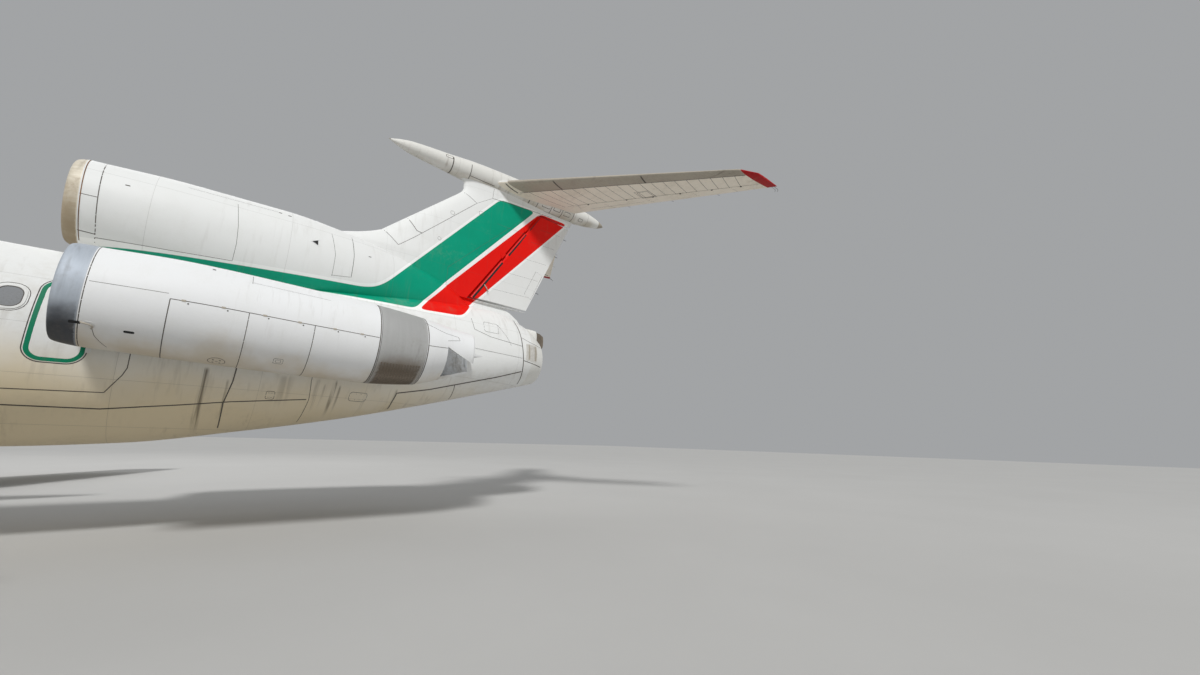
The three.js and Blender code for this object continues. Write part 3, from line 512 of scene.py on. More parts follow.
# Stains that rain has drawn down a side
def buildStreaks():
    tree, given, out = startGroup("rainStreaks", {"Place": None, "Density": 6.0, "Amount": 0.5}, ["Mask"])
    parts = axesOf(tree, given["Place"])
    lined = put(tree, "ShaderNodeCombineXYZ", {"X": times(tree, parts[0], 0.25), "Y": parts[1]})
    feed(tree, lined.inputs["Z"], times(tree, parts[2], 0.12))
    thin = put(tree, "ShaderNodeTexNoise", {"Vector": lined.outputs[0], "Detail": 3.0, "Roughness": 0.6})
    feed(tree, thin.inputs["Scale"], given["Density"])
    wide = cloud(tree, given["Place"], 0.9, 2.0)
    both = times(tree, between(tree, thin.outputs["Fac"], 0.52, 0.72), between(tree, wide, 0.4, 0.65))
    feed(tree, out["Mask"], times(tree, both, given["Amount"]))
    return tree


# Straight plate joints every so far along and across, with rivets beside them
def buildPlating():
    inputs = {"Along": 0.0, "Across": 0.0, "Along Pitch": 1.0, "Across Pitch": 0.5, "Width": 0.003, "Rivet Pitch": 0.03}
    tree, given, out = startGroup("plating", inputs, ["Joints", "Rivets"])

    def fromLine(value, pitch):
        share = sums(tree, "FRACT", sums(tree, "DIVIDE", value, pitch))
        return times(tree, sums(tree, "ABSOLUTE", minus(tree, share, 0.5)), pitch)

    def joint(away):
        return between(tree, away, given["Width"], times(tree, given["Width"], 0.3))

    def rivetRow(away, run):
        side = minus(tree, away, times(tree, given["Rivet Pitch"], 0.5))
        dot = fromLine(run, given["Rivet Pitch"])
        far = sums(tree, "SQRT", plus(tree, sums(tree, "POWER", side, 2.0), sums(tree, "POWER", dot, 2.0)))
        return between(tree, far, times(tree, given["Rivet Pitch"], 0.13), 0.0)

    alongAway = fromLine(given["Along"], given["Along Pitch"])
    acrossAway = fromLine(given["Across"], given["Across Pitch"])
    feed(tree, out["Joints"], sums(tree, "MAXIMUM", joint(alongAway), joint(acrossAway)))
    rivets = sums(tree, "MAXIMUM", rivetRow(alongAway, given["Across"]), rivetRow(acrossAway, given["Along"]))
    feed(tree, out["Rivets"], rivets)
    return tree


# Rubbed edges
def buildEdgeWear():
    tree, given, out = startGroup("edgeWear", {"Place": None, "Amount": 0.5}, ["Mask"])
    point = put(tree, "ShaderNodeNewGeometry").outputs["Pointiness"]
    broken = cloud(tree, given["Place"], 30.0, 4.0, 0.7)
    sharp = plus(tree, point, times(tree, minus(tree, broken, 0.5), 0.12))
    feed(tree, out["Mask"], times(tree, between(tree, sharp, 0.52, 0.58), given["Amount"]))
    return tree


# Fine scratches that run one way
def buildBrushing():
    tree, given, out = startGroup("brushing", {"Place": None, "Fineness": 60.0, "Run": (1, 0.05, 1)}, ["Height"])
    run = put(tree, "ShaderNodeVectorMath", {0: given["Place"], 1: given["Run"]}, operation="MULTIPLY")
    lines = put(tree, "ShaderNodeTexNoise", {"Vector": run.outputs[0], "Detail": 4.0, "Roughness": 0.7})
    feed(tree, lines.inputs["Scale"], given["Fineness"])
    feed(tree, out["Height"], lines.outputs["Fac"])
    return tree


# Tail bands, as lines in (station, height); each line keeps what lies to its left as it runs
bands = {
    "greenFlat": ((37.0, 5.86), (32.2, 5.705)),
    "greenRise": ((41.06, 10.14), (37.68, 6.28)),
    "greenFoot": ((32.2, 5.62), (38.3, 5.50)),
    "split": ((38.29, 5.50), (42.50, 10.20)),
    "redFront": ((42.72, 10.20), (38.36, 5.45)),
    "redBack": ((39.78, 5.64), (44.14, 10.37)),
    "redFoot": ((38.4, 5.50), (40.0, 5.58)),
    "head": ((44.5, 10.26), (40.5, 10.10)),
    "bend": 0.5, "corner": 0.22, "edging": 0.075, "soft": 0.004,
}


def buildBands():
    tree, given, out = startGroup("tailBands", {"Place": None}, ["Green", "Red", "Edging"])
    parts = axesOf(tree, given["Place"])

    # How far a point lies outside a line, in full-size metres
    def outside(line):
        (u, v), (endU, endV) = bands[line]
        run = Vector((endU - u, endV - v)).normalized()
        start = at(0, u, v)
        across = times(tree, minus(tree, parts[1], start.y), run.y / scale)
        return sums(tree, "MULTIPLY_ADD", minus(tree, parts[2], start.z), -run.x / scale, across)

    def corner(first, second):
        return sums(tree, "SMOOTH_MAX", first, second, bands["corner"])

    head = outside("head")
    over = sums(tree, "SMOOTH_MIN", outside("greenFlat"), outside("greenRise"), bands["bend"])
    green = corner(corner(corner(over, outside("greenFoot")), outside("split")), head)
    red = corner(corner(corner(outside("redFront"), outside("redBack")), outside("redFoot")), head)
    near = sums(tree, "MINIMUM", green, red)
    soft, edging = bands["soft"], bands["edging"]
    feed(tree, out["Green"], between(tree, green, soft, -soft))
    feed(tree, out["Red"], between(tree, red, soft, -soft))
    feed(tree, out["Edging"], between(tree, near, edging + soft, edging - soft))
    return tree


# Long dark weeps below drains: station, top, foot, half-width and strength of each, full-size metres
weeps = [
    (34.12, 3.3, 1.9, 0.05, 0.8), (34.5, 3.1, 2.2, 0.02, 0.5), (35.5, 3.3, 2.5, 0.12, 0.25),
    (36.14, 3.3, 2.4, 0.035, 0.7), (36.3, 3.2, 2.5, 0.02, 0.5), (36.51, 3.3, 2.4, 0.04, 0.8),
    (36.64, 3.2, 2.5, 0.025, 0.6), (38.02, 3.25, 2.6, 0.03, 0.5), (37.3, 3.0, 2.5, 0.03, 0.3),
    (29.6, 3.0, 1.9, 0.03, 0.4), (24.2, 4.9, 3.3, 0.03, 0.3), (11.7, 3.3, 1.9, 0.03, 0.4), (7.2, 2.7, 1.8, 0.03, 0.4),
]


def buildWeeps():
    tree, given, out = startGroup("weeps", {"Place": None}, ["Mask"])
    parts = axesOf(tree, given["Place"])
    along = plus(tree, parts[1], times(tree, minus(tree, cloud(tree, given["Place"], 3.0, 1.0), 0.5), 0.03))
    ragged = between(tree, cloud(tree, given["Place"], 40.0, 2.0, 0.5, (0.03, 1, 0.04)), 0.3, 0.62)
    total = None
    for station, top, foot, half, strength in weeps:
        start, end = at(0, station, top), at(0, station, foot)
        far = sums(tree, "ABSOLUTE", minus(tree, along, start.y))
        across = between(tree, far, half * scale * 1.6, half * scale * 0.3, 0.0, strength)
        high = between(tree, parts[2], start.z, start.z - 0.05)
        mark = times(tree, across, times(tree, high, between(tree, parts[2], end.z, end.z + 0.2)))
        total = mark if total is None else sums(tree, "MAXIMUM", total, mark)
    feed(tree, out["Mask"], times(tree, total, ragged))
    return tree


groups = {
    "grime": buildGrime(), "weeps": buildWeeps(), "streaks": buildStreaks(), "plating": buildPlating(),
    "edgeWear": buildEdgeWear(), "brushing": buildBrushing(), "bands": buildBands(),
}
print("shader groups built")


# Materials

def startMaterial(name):
    material = bpy.data.materials.new(name)
    material.use_nodes = True
    tree = material.node_tree
    finishes[name] = material
    return tree, tree.nodes["Principled BSDF"].inputs, put(tree, "ShaderNodeTexCoord").outputs["Object"]


def useGroup(tree, name, place=None, **inputs):
    given = inputs if place is None else {"Place": place, **inputs}
    return put(tree, "ShaderNodeGroup", given, node_tree=groups[name]).outputs


def bumped(tree, sockets, height, strength, distance):
    names = {"Height": height, "Strength": strength, "Distance": distance}
    feed(tree, sockets["Normal"], put(tree, "ShaderNodeBump", names).outputs["Normal"])


# Blends in a colour below a wandering level
def blendLow(tree, place, height, colour, low, levels, cloudSize, wander):
    shift = times(tree, minus(tree, cloud(tree, place, cloudSize), 0.5), wander)
    foot, head = [at(0, 0, z).z for z in levels]
    return blend(tree, between(tree, plus(tree, height, shift), head, foot), colour, low)


# Gloss paint that has stood outside for years; some looks also hold painted shade in their colours
def paintCoat(name, look):
    tree, sockets, place = startMaterial(name)
    parts = axesOf(tree, place)
    patches = useGroup(tree, "grime", place, Scale=look["patch"], Amount=look["dirt"])["Mask"]
    fine = useGroup(tree, "grime", place, Scale=7.0, Amount=0.6)["Mask"]
    colour = blend(tree, times(tree, fine, 0.25), look["colour"], look["worn"])
    # Colour below a level; on the engine pods it is partly grime, partly painted shade
    if "under" in look:
        colour = blendLow(tree, place, parts[2], colour, look["under"], look["underFrom"], 1.5, 0.5)
    if "underside" in look:
        down = axesOf(tree, put(tree, "ShaderNodeTexCoord").outputs["Normal"])[2]
        colour = blend(tree, between(tree, down, 0.05, -0.35), colour, look["underside"])
    if look["bands"]:
        masks = useGroup(tree, "bands", place)
        colour = blend(tree, masks["Edging"], colour, (0.86, 0.86, 0.84))
        faded = cloud(tree, place, 3.0, 5.0, 0.65)
        green = blend(tree, faded, (0.0, 0.26, 0.15), (0.0, 0.33, 0.2))
        red = blend(tree, faded, (0.7, 0.004, 0.002), (0.82, 0.01, 0.004))
        colour = blend(tree, masks["Red"], blend(tree, masks["Green"], colour, green), red)
    colour = blend(tree, times(tree, patches, 0.55), colour, look["grime"])
    streaks = useGroup(tree, "streaks", place, Density=look["streakDensity"], Amount=look["streaks"])["Mask"]
    colour = blend(tree, streaks, colour, look["streak"])
    if look["weeps"]:
        colour = blend(tree, useGroup(tree, "weeps", place)["Mask"], colour, (0.1, 0.075, 0.05))
    run, across = [plus(tree, parts[axis], 50.0) for axis in look["axes"]]
    names = {"Along": run, "Across": across, "Along Pitch": look["pitch"][0], "Across Pitch": look["pitch"][1]}
    joints, rivets = useGroup(tree, "plating", **names, **{"Width": 0.0022, "Rivet Pitch": 0.02})
    colour = blend(tree, times(tree, joints, look["joint"]), colour, look["seam"])
    colour = blend(tree, times(tree, rivets, look["rivet"]), colour, look["seam"])
    feed(tree, sockets["Base Color"], colour)
    dull = sums(tree, "MULTIPLY_ADD", patches, 0.25, look["roughness"])
    feed(tree, sockets["Roughness"], plus(tree, dull, times(tree, streaks, 0.15)))
    sockets["Specular IOR Level"].default_value = 0.16
    waves = times(tree, cloud(tree, place, 2.2, 2.0), 0.9)
    relief = minus(tree, waves, times(tree, joints, 0.5))
    bumped(tree, sockets, plus(tree, relief, times(tree, rivets, 0.12)), 0.35, 0.004)


def bareMetal(name, look):
    tree, sockets, place = startMaterial(name)
    parts = axesOf(tree, place)
    brushed = useGroup(tree, "brushing", place, Fineness=40.0, Run=look["run"])["Height"]
    patches = useGroup(tree, "grime", place, Scale=3.0, Amount=look["dirt"])["Mask"]
    colour = blend(tree, brushed, look["colour"], look["light"])
    # Darker colour below a level; on the pod lips it is painted shade
    if "low" in look:
        colour = blendLow(tree, place, parts[2], colour, look["low"], look["lowFrom"], 4.0, look["wander"])
    colour = blend(tree, times(tree, patches, 0.7), colour, look["grime"])
    streaks = useGroup(tree, "streaks", place, Density=20.0, Amount=look["streaks"])["Mask"]
    colour = blend(tree, streaks, colour, (0.08, 0.07, 0.06))
    wear = useGroup(tree, "edgeWear", place, Amount=0.5)["Mask"]
    feed(tree, sockets["Base Color"], blend(tree, wear, colour, look["light"]))
    feed(tree, sockets["Metallic"], sums(tree, "MULTIPLY_ADD", patches, -0.45, look["metallic"]))
    rough = sums(tree, "MULTIPLY_ADD", brushed, 0.22, look["roughness"])
    feed(tree, sockets["Roughness"], sums(tree, "MULTIPLY_ADD", patches, 0.2, rough))
    bumped(tree, sockets, sums(tree, "MULTIPLY_ADD", cloud(tree, place, 6.0, 3.0), 0.6, brushed), 0.18, 0.0012)


def tyreRubber():
    tree, sockets, place = startMaterial("tyreRubber")
    dust = useGroup(tree, "grime", place, Scale=5.0, Amount=0.8)["Mask"]
    wear = useGroup(tree, "edgeWear", place, Amount=0.6)["Mask"]
    colour = blend(tree, times(tree, dust, 0.5), (0.018, 0.018, 0.019), (0.11, 0.095, 0.075))
    feed(tree, sockets["Base Color"], blend(tree, wear, colour, (0.07, 0.066, 0.06)))
    feed(tree, sockets["Roughness"], sums(tree, "MULTIPLY_ADD", dust, 0.15, 0.72))
    bumped(tree, sockets, cloud(tree, place, 60.0, 5.0, 0.7), 0.35, 0.0015)


# Simple stuff: one effect varies its colour, and its roughness from a base by a range
def simpleFinish(name, kind, colour, roughness):
    tree, sockets, place = startMaterial(name)
    look = kinds[kind]
    mask = useGroup(tree, look["effect"], place, **look["given"])[0]
    feed(tree, sockets["Base Color"], blend(tree, mask, colour, tuple(look["change"] * part for part in colour)))
    feed(tree, sockets["Roughness"], sums(tree, "MULTIPLY_ADD", mask, look["range"], roughness))
    for key, value in look["sockets"].items():
        sockets[key].default_value = value
    height = cloud(tree, place, *look["bumps"]) if "bumps" in look else mask
    bumped(tree, sockets, height, *look["depth"])


kinds = {
    "glass": {
        "effect": "grime", "given": {"Scale": 6.0, "Amount": 0.8}, "change": 1.7, "range": 0.35, "bumps": (3.0, 2.0),
        "depth": (0.1, 0.002), "sockets": {"Specular IOR Level": 0.3, "Coat Weight": 0.15, "Coat Roughness": 0.05},
    },
    "filler": {
        "effect": "grime", "given": {"Scale": 9.0, "Amount": 0.7}, "change": 2.2, "range": 0.1, "bumps": (40.0, 4.0),
        "depth": (0.25, 0.001), "sockets": {},
    },
    "lens": {
        "effect": "brushing", "given": {"Fineness": 90.0, "Run": (1, 1, 0.05)}, "change": 0.6, "range": 0.1,
        "depth": (0.3, 0.001), "sockets": {"Coat Weight": 0.8},
    },
}
white = {
    "colour": (0.76, 0.765, 0.75), "worn": (0.66, 0.66, 0.62), "grime": (0.42, 0.37, 0.28), "streak": (0.2, 0.16, 0.11),
    "seam": (0.12, 0.1, 0.08), "dirt": 0.35, "patch": 1.4, "streaks": 0.22, "streakDensity": 14.0, "roughness": 0.46,
    "axes": (1, 2), "pitch": (1.1, 0.42), "joint": 0.35, "rivet": 0.16, "bands": False,
    "weeps": False,
}
jointless = {**white, "pitch": (9.0, 9.0), "joint": 0.0, "rivet": 0.0}
looks = {
    "fuselagePaint": {
        **white, "under": (0.68, 0.58, 0.4), "underFrom": (2.4, 3.9), "dirt": 0.4, "streaks": 0.3,
        "bands": True, "weeps": True,
    },
    "radomePaint": {**jointless, "roughness": 0.45},
    "ductPaint": {**white, "bands": True, "pitch": (1.25, 0.9), "dirt": 0.2, "streaks": 0.1},
    "finPaint": {**white, "bands": True, "pitch": (1.6, 0.75), "rivet": 0.1, "joint": 0.2, "dirt": 0.2, "streaks": 0.1},
    # The pods turn beige low down: partly grime, partly painted shade
    "nacellePaint": {
        **jointless, "colour": (0.77, 0.775, 0.775), "under": (0.6, 0.53, 0.42), "underFrom": (3.15, 3.62),
        "dirt": 0.2, "streaks": 0.12, "streakDensity": 22.0,
    },
    "wingPaint": {**white, "underside": (0.6, 0.55, 0.44), "axes": (0, 1), "pitch": (0.62, 1.1), "dirt": 0.5},
    "tailplanePaint": {**jointless, "underside": (0.84, 0.77, 0.66), "axes": (0, 1), "dirt": 0.5, "patch": 2.0},
    "fairingPaint": {
        **white, "colour": (0.68, 0.64, 0.54), "under": (0.5, 0.43, 0.31), "underFrom": (1.5, 2.9),
        "dirt": 0.6, "streaks": 0.5,
    },
    "bulletPaint": {
        **white, "colour": (0.7, 0.69, 0.65), "under": (0.5, 0.46, 0.38), "underFrom": (10.35, 10.62),
        "pitch": (1.1, 9.0), "rivet": 0.1, "streaks": 0.5,
    },
    "nozzlePaint": {**jointless, "colour": (0.72, 0.715, 0.68), "dirt": 0.4, "streaks": 0.3},
    "doorPaint": {**jointless, "under": (0.62, 0.56, 0.44), "underFrom": (2.55, 3.6)},
    # Tailplane tips: the tail's red paint darkened as painted shade
    "tipPaint": {**jointless, "colour": (0.36, 0.008, 0.01), "worn": (0.44, 0.03, 0.03), "grime": (0.2, 0.05, 0.04)},
    "exitPaint": {
        **jointless, "colour": (0.0, 0.2, 0.1), "worn": (0.02, 0.26, 0.15), "grime": (0.05, 0.12, 0.07), "dirt": 0.5,
    },
    "legPaint": {**jointless, "colour": (0.44, 0.46, 0.47), "worn": (0.33, 0.34, 0.34), "dirt": 0.7, "patch": 6.0},
    "hubPaint": {**jointless, "colour": (0.1, 0.27, 0.16), "worn": (0.15, 0.3, 0.2), "dirt": 0.8, "patch": 9.0},
}
metal = {
    "colour": (0.36, 0.38, 0.4), "light": (0.56, 0.58, 0.6), "grime": (0.2, 0.17, 0.13), "run": (1, 0.06, 1),
    "dirt": 0.4, "streaks": 0.5, "metallic": 0.85, "roughness": 0.34,
}
metals = {
    # The pod lips' near-black lower half is painted shade
    "lipMetal": {
        **metal, "colour": (0.33, 0.37, 0.42), "light": (0.46, 0.5, 0.55), "low": (0.06, 0.065, 0.075),
        "lowFrom": (3.5, 4.0), "wander": 0.3, "run": (0.15, 1, 0.15), "roughness": 0.5, "metallic": 0.25,
    },
    "centreLipMetal": {
        **metal, "colour": (0.42, 0.35, 0.24), "light": (0.84, 0.8, 0.7), "low": (0.3, 0.23, 0.14),
        "lowFrom": (5.7, 6.9), "wander": 0.5, "run": (0.4, 0.04, 1), "dirt": 0.7, "metallic": 0.15, "streaks": 0.6,
        "grime": (0.3, 0.22, 0.13), "roughness": 0.5,
    },
    "bandMetal": {
        **metal, "colour": (0.37, 0.37, 0.36), "light": (0.46, 0.46, 0.45), "low": (0.21, 0.17, 0.13),
        "lowFrom": (3.4, 3.8), "wander": 0.15, "run": (0.05, 1, 0.05), "metallic": 0.35, "roughness": 0.45,
    },
    "gridMetal": {**metal, "colour": (0.16, 0.13, 0.1), "light": (0.3, 0.25, 0.2), "dirt": 0.9},
    "nozzleMetal": {
        **metal, "colour": (0.6, 0.58, 0.53), "light": (0.72, 0.7, 0.66), "dirt": 0.8, "metallic": 0.25,
        "run": (0.1, 1, 0.1), "streaks": 0.6,
    },
    # Near-black: soot on the exhaust parts, painted shade in the intake duct, the deep pod bores and on the engine
    # blocks
    "sootMetal": {**metal, "colour": (0.07, 0.065, 0.06), "light": (0.14, 0.13, 0.12), "dirt": 0.8},
    "edgeMetal": {
        **metal, "colour": (0.34, 0.3, 0.24), "light": (0.45, 0.41, 0.34), "dirt": 0.5, "metallic": 0.12,
        "roughness": 0.55,
    },
    # Blued metal in the pods' nozzle notch, made paler than the metal as painted light on a wall in shade
    "bluedMetal": {
        **metal, "colour": (0.78, 0.82, 0.85), "light": (0.9, 0.91, 0.92), "grime": (0.34, 0.29, 0.22), "dirt": 0.7,
        "metallic": 0.1, "roughness": 0.5,
    },
    "chrome": {**metal, "colour": (0.6, 0.61, 0.62), "light": (0.8, 0.8, 0.8), "roughness": 0.12},
    "bladeMetal": {**metal, "colour": (0.22, 0.23, 0.24), "light": (0.4, 0.41, 0.42), "run": (1, 1, 1)},
}
simple = {
    "cabinGlass": ("glass", (0.13, 0.135, 0.14), 0.3),
    "cockpitGlass": ("glass", (0.03, 0.036, 0.042), 0.06),
    "seamFiller": ("filler", (0.06, 0.052, 0.045), 0.7),
    "rust": ("filler", (0.13, 0.065, 0.03), 0.8),
    # Near-black: painted shade in slots, holes and recesses, and the real black of hoses and static wicks
    "slotDark": ("filler", (0.012, 0.012, 0.013), 0.8),
    "redLens": ("lens", (0.55, 0.02, 0.015), 0.1),
    "greenLens": ("lens", (0.02, 0.35, 0.12), 0.1),
    "clearLens": ("lens", (0.75, 0.76, 0.76), 0.1),
}
finishes = {}
for name, look in looks.items():
    paintCoat(name, look)
for name, look in metals.items():
    bareMetal(name, look)
tyreRubber()
for name, (kind, colour, roughness) in simple.items():
    simpleFinish(name, kind, colour, roughness)
print("materials built:", len(finishes))

# Camera where the photograph was taken, found from the aircraft's known sizes
viewpoint = {
    "place": (7.0548, 4.9819, 1.0232), "yaw": 49.586, "pitch": 12.251, "roll": 1.647, "lens": 14.361, "sensor": 36,
    "near": 0.05, "far": 400,
}


def buildCamera():
    yaw, pitch, roll = [math.radians(viewpoint[name]) for name in ("yaw", "pitch", "roll")]
    ahead = Vector((-math.sin(yaw) * math.cos(pitch), math.cos(yaw) * math.cos(pitch), math.sin(pitch)))
    right = Vector((math.cos(yaw), math.sin(yaw), 0))
    up = right.cross(ahead)
    turned = right * math.cos(roll) + up * math.sin(roll)
    raised = up * math.cos(roll) - right * math.sin(roll)
    data = bpy.data.cameras.new("viewCamera")
    data.lens, data.sensor_width = viewpoint["lens"], viewpoint["sensor"]
    data.clip_start, data.clip_end = viewpoint["near"], viewpoint["far"]
    camera = linked("viewCamera", data)
    facing = Matrix((turned, raised, -ahead)).transposed().to_4x4()
    camera.matrix_world = Matrix.Translation(viewpoint["place"]) @ facing
    bpy.context.scene.camera = camera


buildCamera()
print("camera placed")


# Foils: sections with a leading edge, a trailing edge and a thickness

def foilHalf(share, thick):
    s = min(max(share, 0.0), 1.0)
    return 5 * thick * (0.2969 * math.sqrt(s) - 0.126 * s - 0.3516 * s**2 + 0.2843 * s**3 - 0.1015 * s**4)


foilShares = sorted([(1 - math.cos(math.pi * i / 24)) / 2 for i in range(25)] + [0.21])


def foilRing(leading, trailing, thick, place):
    chord = trailing - leading
    upper = [place(leading + s * chord, foilHalf(s, thick) * chord) for s in foilShares]
    lower = [place(leading + s * chord, -foilHalf(s, thick) * chord) for s in reversed(foilShares[1:])]
    return upper + lower


# The foil's half thickness at a station
def foilAt(leading, trailing, thick, station):
    chord = trailing - leading
    return foilHalf((station - leading) / chord, thick) * chord


# The axis of a hinge, with the way back from it and the way through the surface, full-size metres
def hingeAxis(start, end, through=upward):
    start, end = Vector(start), Vector(end)
    axis = (end - start).normalized()
    aft = axis.cross(through).normalized()
    return {"start": start, "end": end, "axis": axis, "through": through, "aft": aft if aft.y > 0 else -aft}


# Everything aft of a hinge line, from a little ahead of it at each end
def hingeBlock(line, aheadStart, aheadEnd, over=0.0, far=4.0):
    shape, rings = newShape(), []
    reach = line["axis"] * over
    for centre, ahead in ((line["start"] - reach, aheadStart), (line["end"] + reach, aheadEnd)):
        corners = ((-ahead, -far), (far, -far), (far, far), (-ahead, far))
        rings.append([at(*(centre + line["aft"] * a + line["through"] * t)) for a, t in corners])
    loftInto(shape, rings)
    return shape


# The round nose of a hinged surface
def hingeNose(line, radiusStart, radiusEnd, over=0.0):
    shape, reach = newShape(), line["axis"] * over
    barInto(shape, line["start"] - reach, line["end"] + reach, radiusStart, radiusEnd, 40)
    return shape


def boxShape(low, high):
    shape = newShape()
    blockInto(shape, low, high)
    return shape


# Fuselage
fuselage = {
    "rows": [
        (0.0, 2.9, 2.98, 2.94, 0.04), (0.25, 2.6, 3.31, 2.95, 0.36), (0.8, 2.33, 3.68, 2.98, 0.72),
        (1.5, 2.1, 4.02, 3.03, 1.04), (2.0, 1.98, 4.22, 3.08, 1.22), (2.9, 1.83, 4.88, 3.2, 1.49),
        (3.7, 1.74, 5.2, 3.33, 1.67), (4.8, 1.67, 5.39, 3.46, 1.82), (6.4, 1.64, 5.44, 3.54, 1.9),
        (31.0, 1.64, 5.44, 3.54, 1.9), (33.0, 1.74, 5.46, 3.58, 1.88), (35.0, 2.05, 5.58, 3.72, 1.79),
        (37.0, 2.43, 5.86, 3.95, 1.63), (39.0, 2.9, 6.12, 4.22, 1.42), (41.0, 3.42, 6.16, 4.52, 1.18),
        (42.2, 3.74, 5.84, 4.66, 1.0), (42.97, 3.95, 5.3, 4.63, 0.66),
    ],
    "bluntness": 0.5,
    "sides": 96,
    "sections": {
        "radome": ("radome", 0.0, 1.9, "radomePaint", "radome_paint", 0.05),
        "cockpitSection": ("cockpit_section", 1.9, 5.0, "fuselagePaint", "white_paint", 0.1),
        "forwardFuselage": ("forward_fuselage", 5.0, 16.0, "fuselagePaint", "cream_paint", 0.25),
        "centreFuselage": ("centre_fuselage", 16.0, 28.5, "fuselagePaint", "cream_paint", 0.5),
        "aftFuselage": ("aft_fuselage", 28.5, 36.0, "fuselagePaint", "cream_paint", 0.15),
        "tailSection": ("tail_section", 36.0, 42.2, "fuselagePaint", "white_paint", 0.15),
    },
    "noseWell": ((-0.32, 5.08, 1.2), (0.32, 6.38, 2.25)),
}
hullSpot, hullTurn = hullSkin(fuselage["rows"], fuselage["bluntness"])


# A point on the fuselage side from its station and height
def portSide(station, height, lift=0.0):
    return hullSpot(station, hullTurn(station, height, 1), lift)


def starboardSide(station, height, lift=0.0):
    return hullSpot(station, hullTurn(station, height, -1), lift)


sidePlaces = {"left": portSide, "right": starboardSide}

# Cockpit panes by bearing from the glazing's centre: the two bearings, their foot heights and head heights
cockpit = {
    "centre": 4.7,
    "panes": [
        ((2.5, 24.0), (4.16, 4.15), (4.83, 4.86)), ((27.0, 43.5), (4.15, 4.15), (4.87, 4.88)),
        ((47.0, 61.5), (4.16, 4.19), (4.88, 4.86)), ((64.5, 76.0), (4.2, 4.24), (4.84, 4.78)),
    ],
    "sunk": 0.035,
    "degree": 0.03,
    "corner": 0.07,
}


def cockpitPlace(bearing, height, lift=0.0):
    slope = math.tan(math.radians(bearing))
    low, high = 0.3, cockpit["centre"]
    for _ in range(26):
        station = (low + high) / 2
        if portSide(station, height).x / scale > (cockpit["centre"] - station) * slope:
            high = station
        else:
            low = station
    return portSide(station, height, lift)


def paneOutline(pane, grow=0.0):
    (start, end), feet, heads = pane
    corners = [(start, feet[0]), (end, feet[1]), (end, heads[1]), (start, heads[0])]
    # One degree round is about as far as 0.03 m up
    wide, corner = 1 / cockpit["degree"], cockpit["corner"]
    out = []
    for i in range(4):
        before, here, after = [Vector(corners[(i + k) % 4]) for k in (-1, 0, 1)]
        first = Vector(((before - here).x / wide, (before - here).y)).normalized()
        second = Vector(((after - here).x / wide, (after - here).y)).normalized()
        centre = here + Vector(((first + second).x * wide, (first + second).y)) * corner
        for share in (0, 0.25, 0.5, 0.75, 1):
            aim = (second * (1 - share) + first * share).normalized() * (corner + grow)
            out.append((centre.x - aim.x * wide, centre.y - aim.y))
    return out


def buildFuselage():
    for name, (node, start, end, finish, slot, step) in fuselage["sections"].items():
        shape = newShape()
        first = start + (craft["seat"] if start else 0.0)
        loftInto(shape, hullRings(hullSpot, first, end, step, fuselage["sides"]))
        piece = linked(name, meshOf(name, shape, finish + " legPaint"))
        if name == "cockpitSection":
            plugs = newShape()
            for pane in cockpit["panes"]:
                plugInto(plugs, paneOutline(pane), cockpitPlace, 0.3, -cockpit["sunk"])
            combine(piece, plugs)
            combine(piece, mirroredShape(plugs))
        if name == "forwardFuselage":
            combine(piece, boxShape(*fuselage["noseWell"]))
            markInside(piece, *fuselage["noseWell"], 1)
        fit(name, piece, slot, [node], craft["round"])


buildFuselage()
print("fuselage sections built")

# Tail nozzle: a cream ring with a dark bore and the centre engine's cone inside
tailNozzle = {
    "start": 42.2, "end": 42.78, "rim": 0.58, "axis": 4.66,
    "cone": [(0.24, 0.0), (0.23, 0.25), (0.17, 0.5), (0.07, 0.68), (0.015, 0.72)],
}


def buildTailNozzle():
    shape, sides = newShape(), fuselage["sides"]
    start, end, rim, axis = [tailNozzle[key] for key in ("start", "end", "rim", "axis")]
    rings = hullRings(hullSpot, start + craft["seat"], end, 0.06, sides)
    loftInto(shape, rings, capEnd=False)
    wallInto(shape, [rings[-1], ringAt(end + 0.02, axis, rim + 0.03, sides), ringAt(end, axis, rim, sides)])
    deep = [ringAt(end - share * (end - start - 0.05), axis, rim - 0.1 * share, sides) for share in (0, 0.4, 1)]
    loftInto(shape, deep, 1, capStart=False)
    fitShape("tailNozzle", shape, "nozzlePaint sootMetal", "nozzle_metal", ["tail_nozzle"], 50)
    cone = newShape()
    turnInto(cone, tailNozzle["cone"], at(0, 42.23, axis), aftward)
    for turn in turnsOf(8):
        out = Vector((math.cos(turn), 0, math.sin(turn)))
        base = Vector((0, 42.32, axis))
        rodInto(cone, at(*(base + out * 0.2)), at(*(base + out * 0.5)), 0.012, 0.009, 8)
    fitShape("exhaustConeCentre", cone, "sootMetal", "engine_metal")


buildTailNozzle()
print("tail nozzle built")

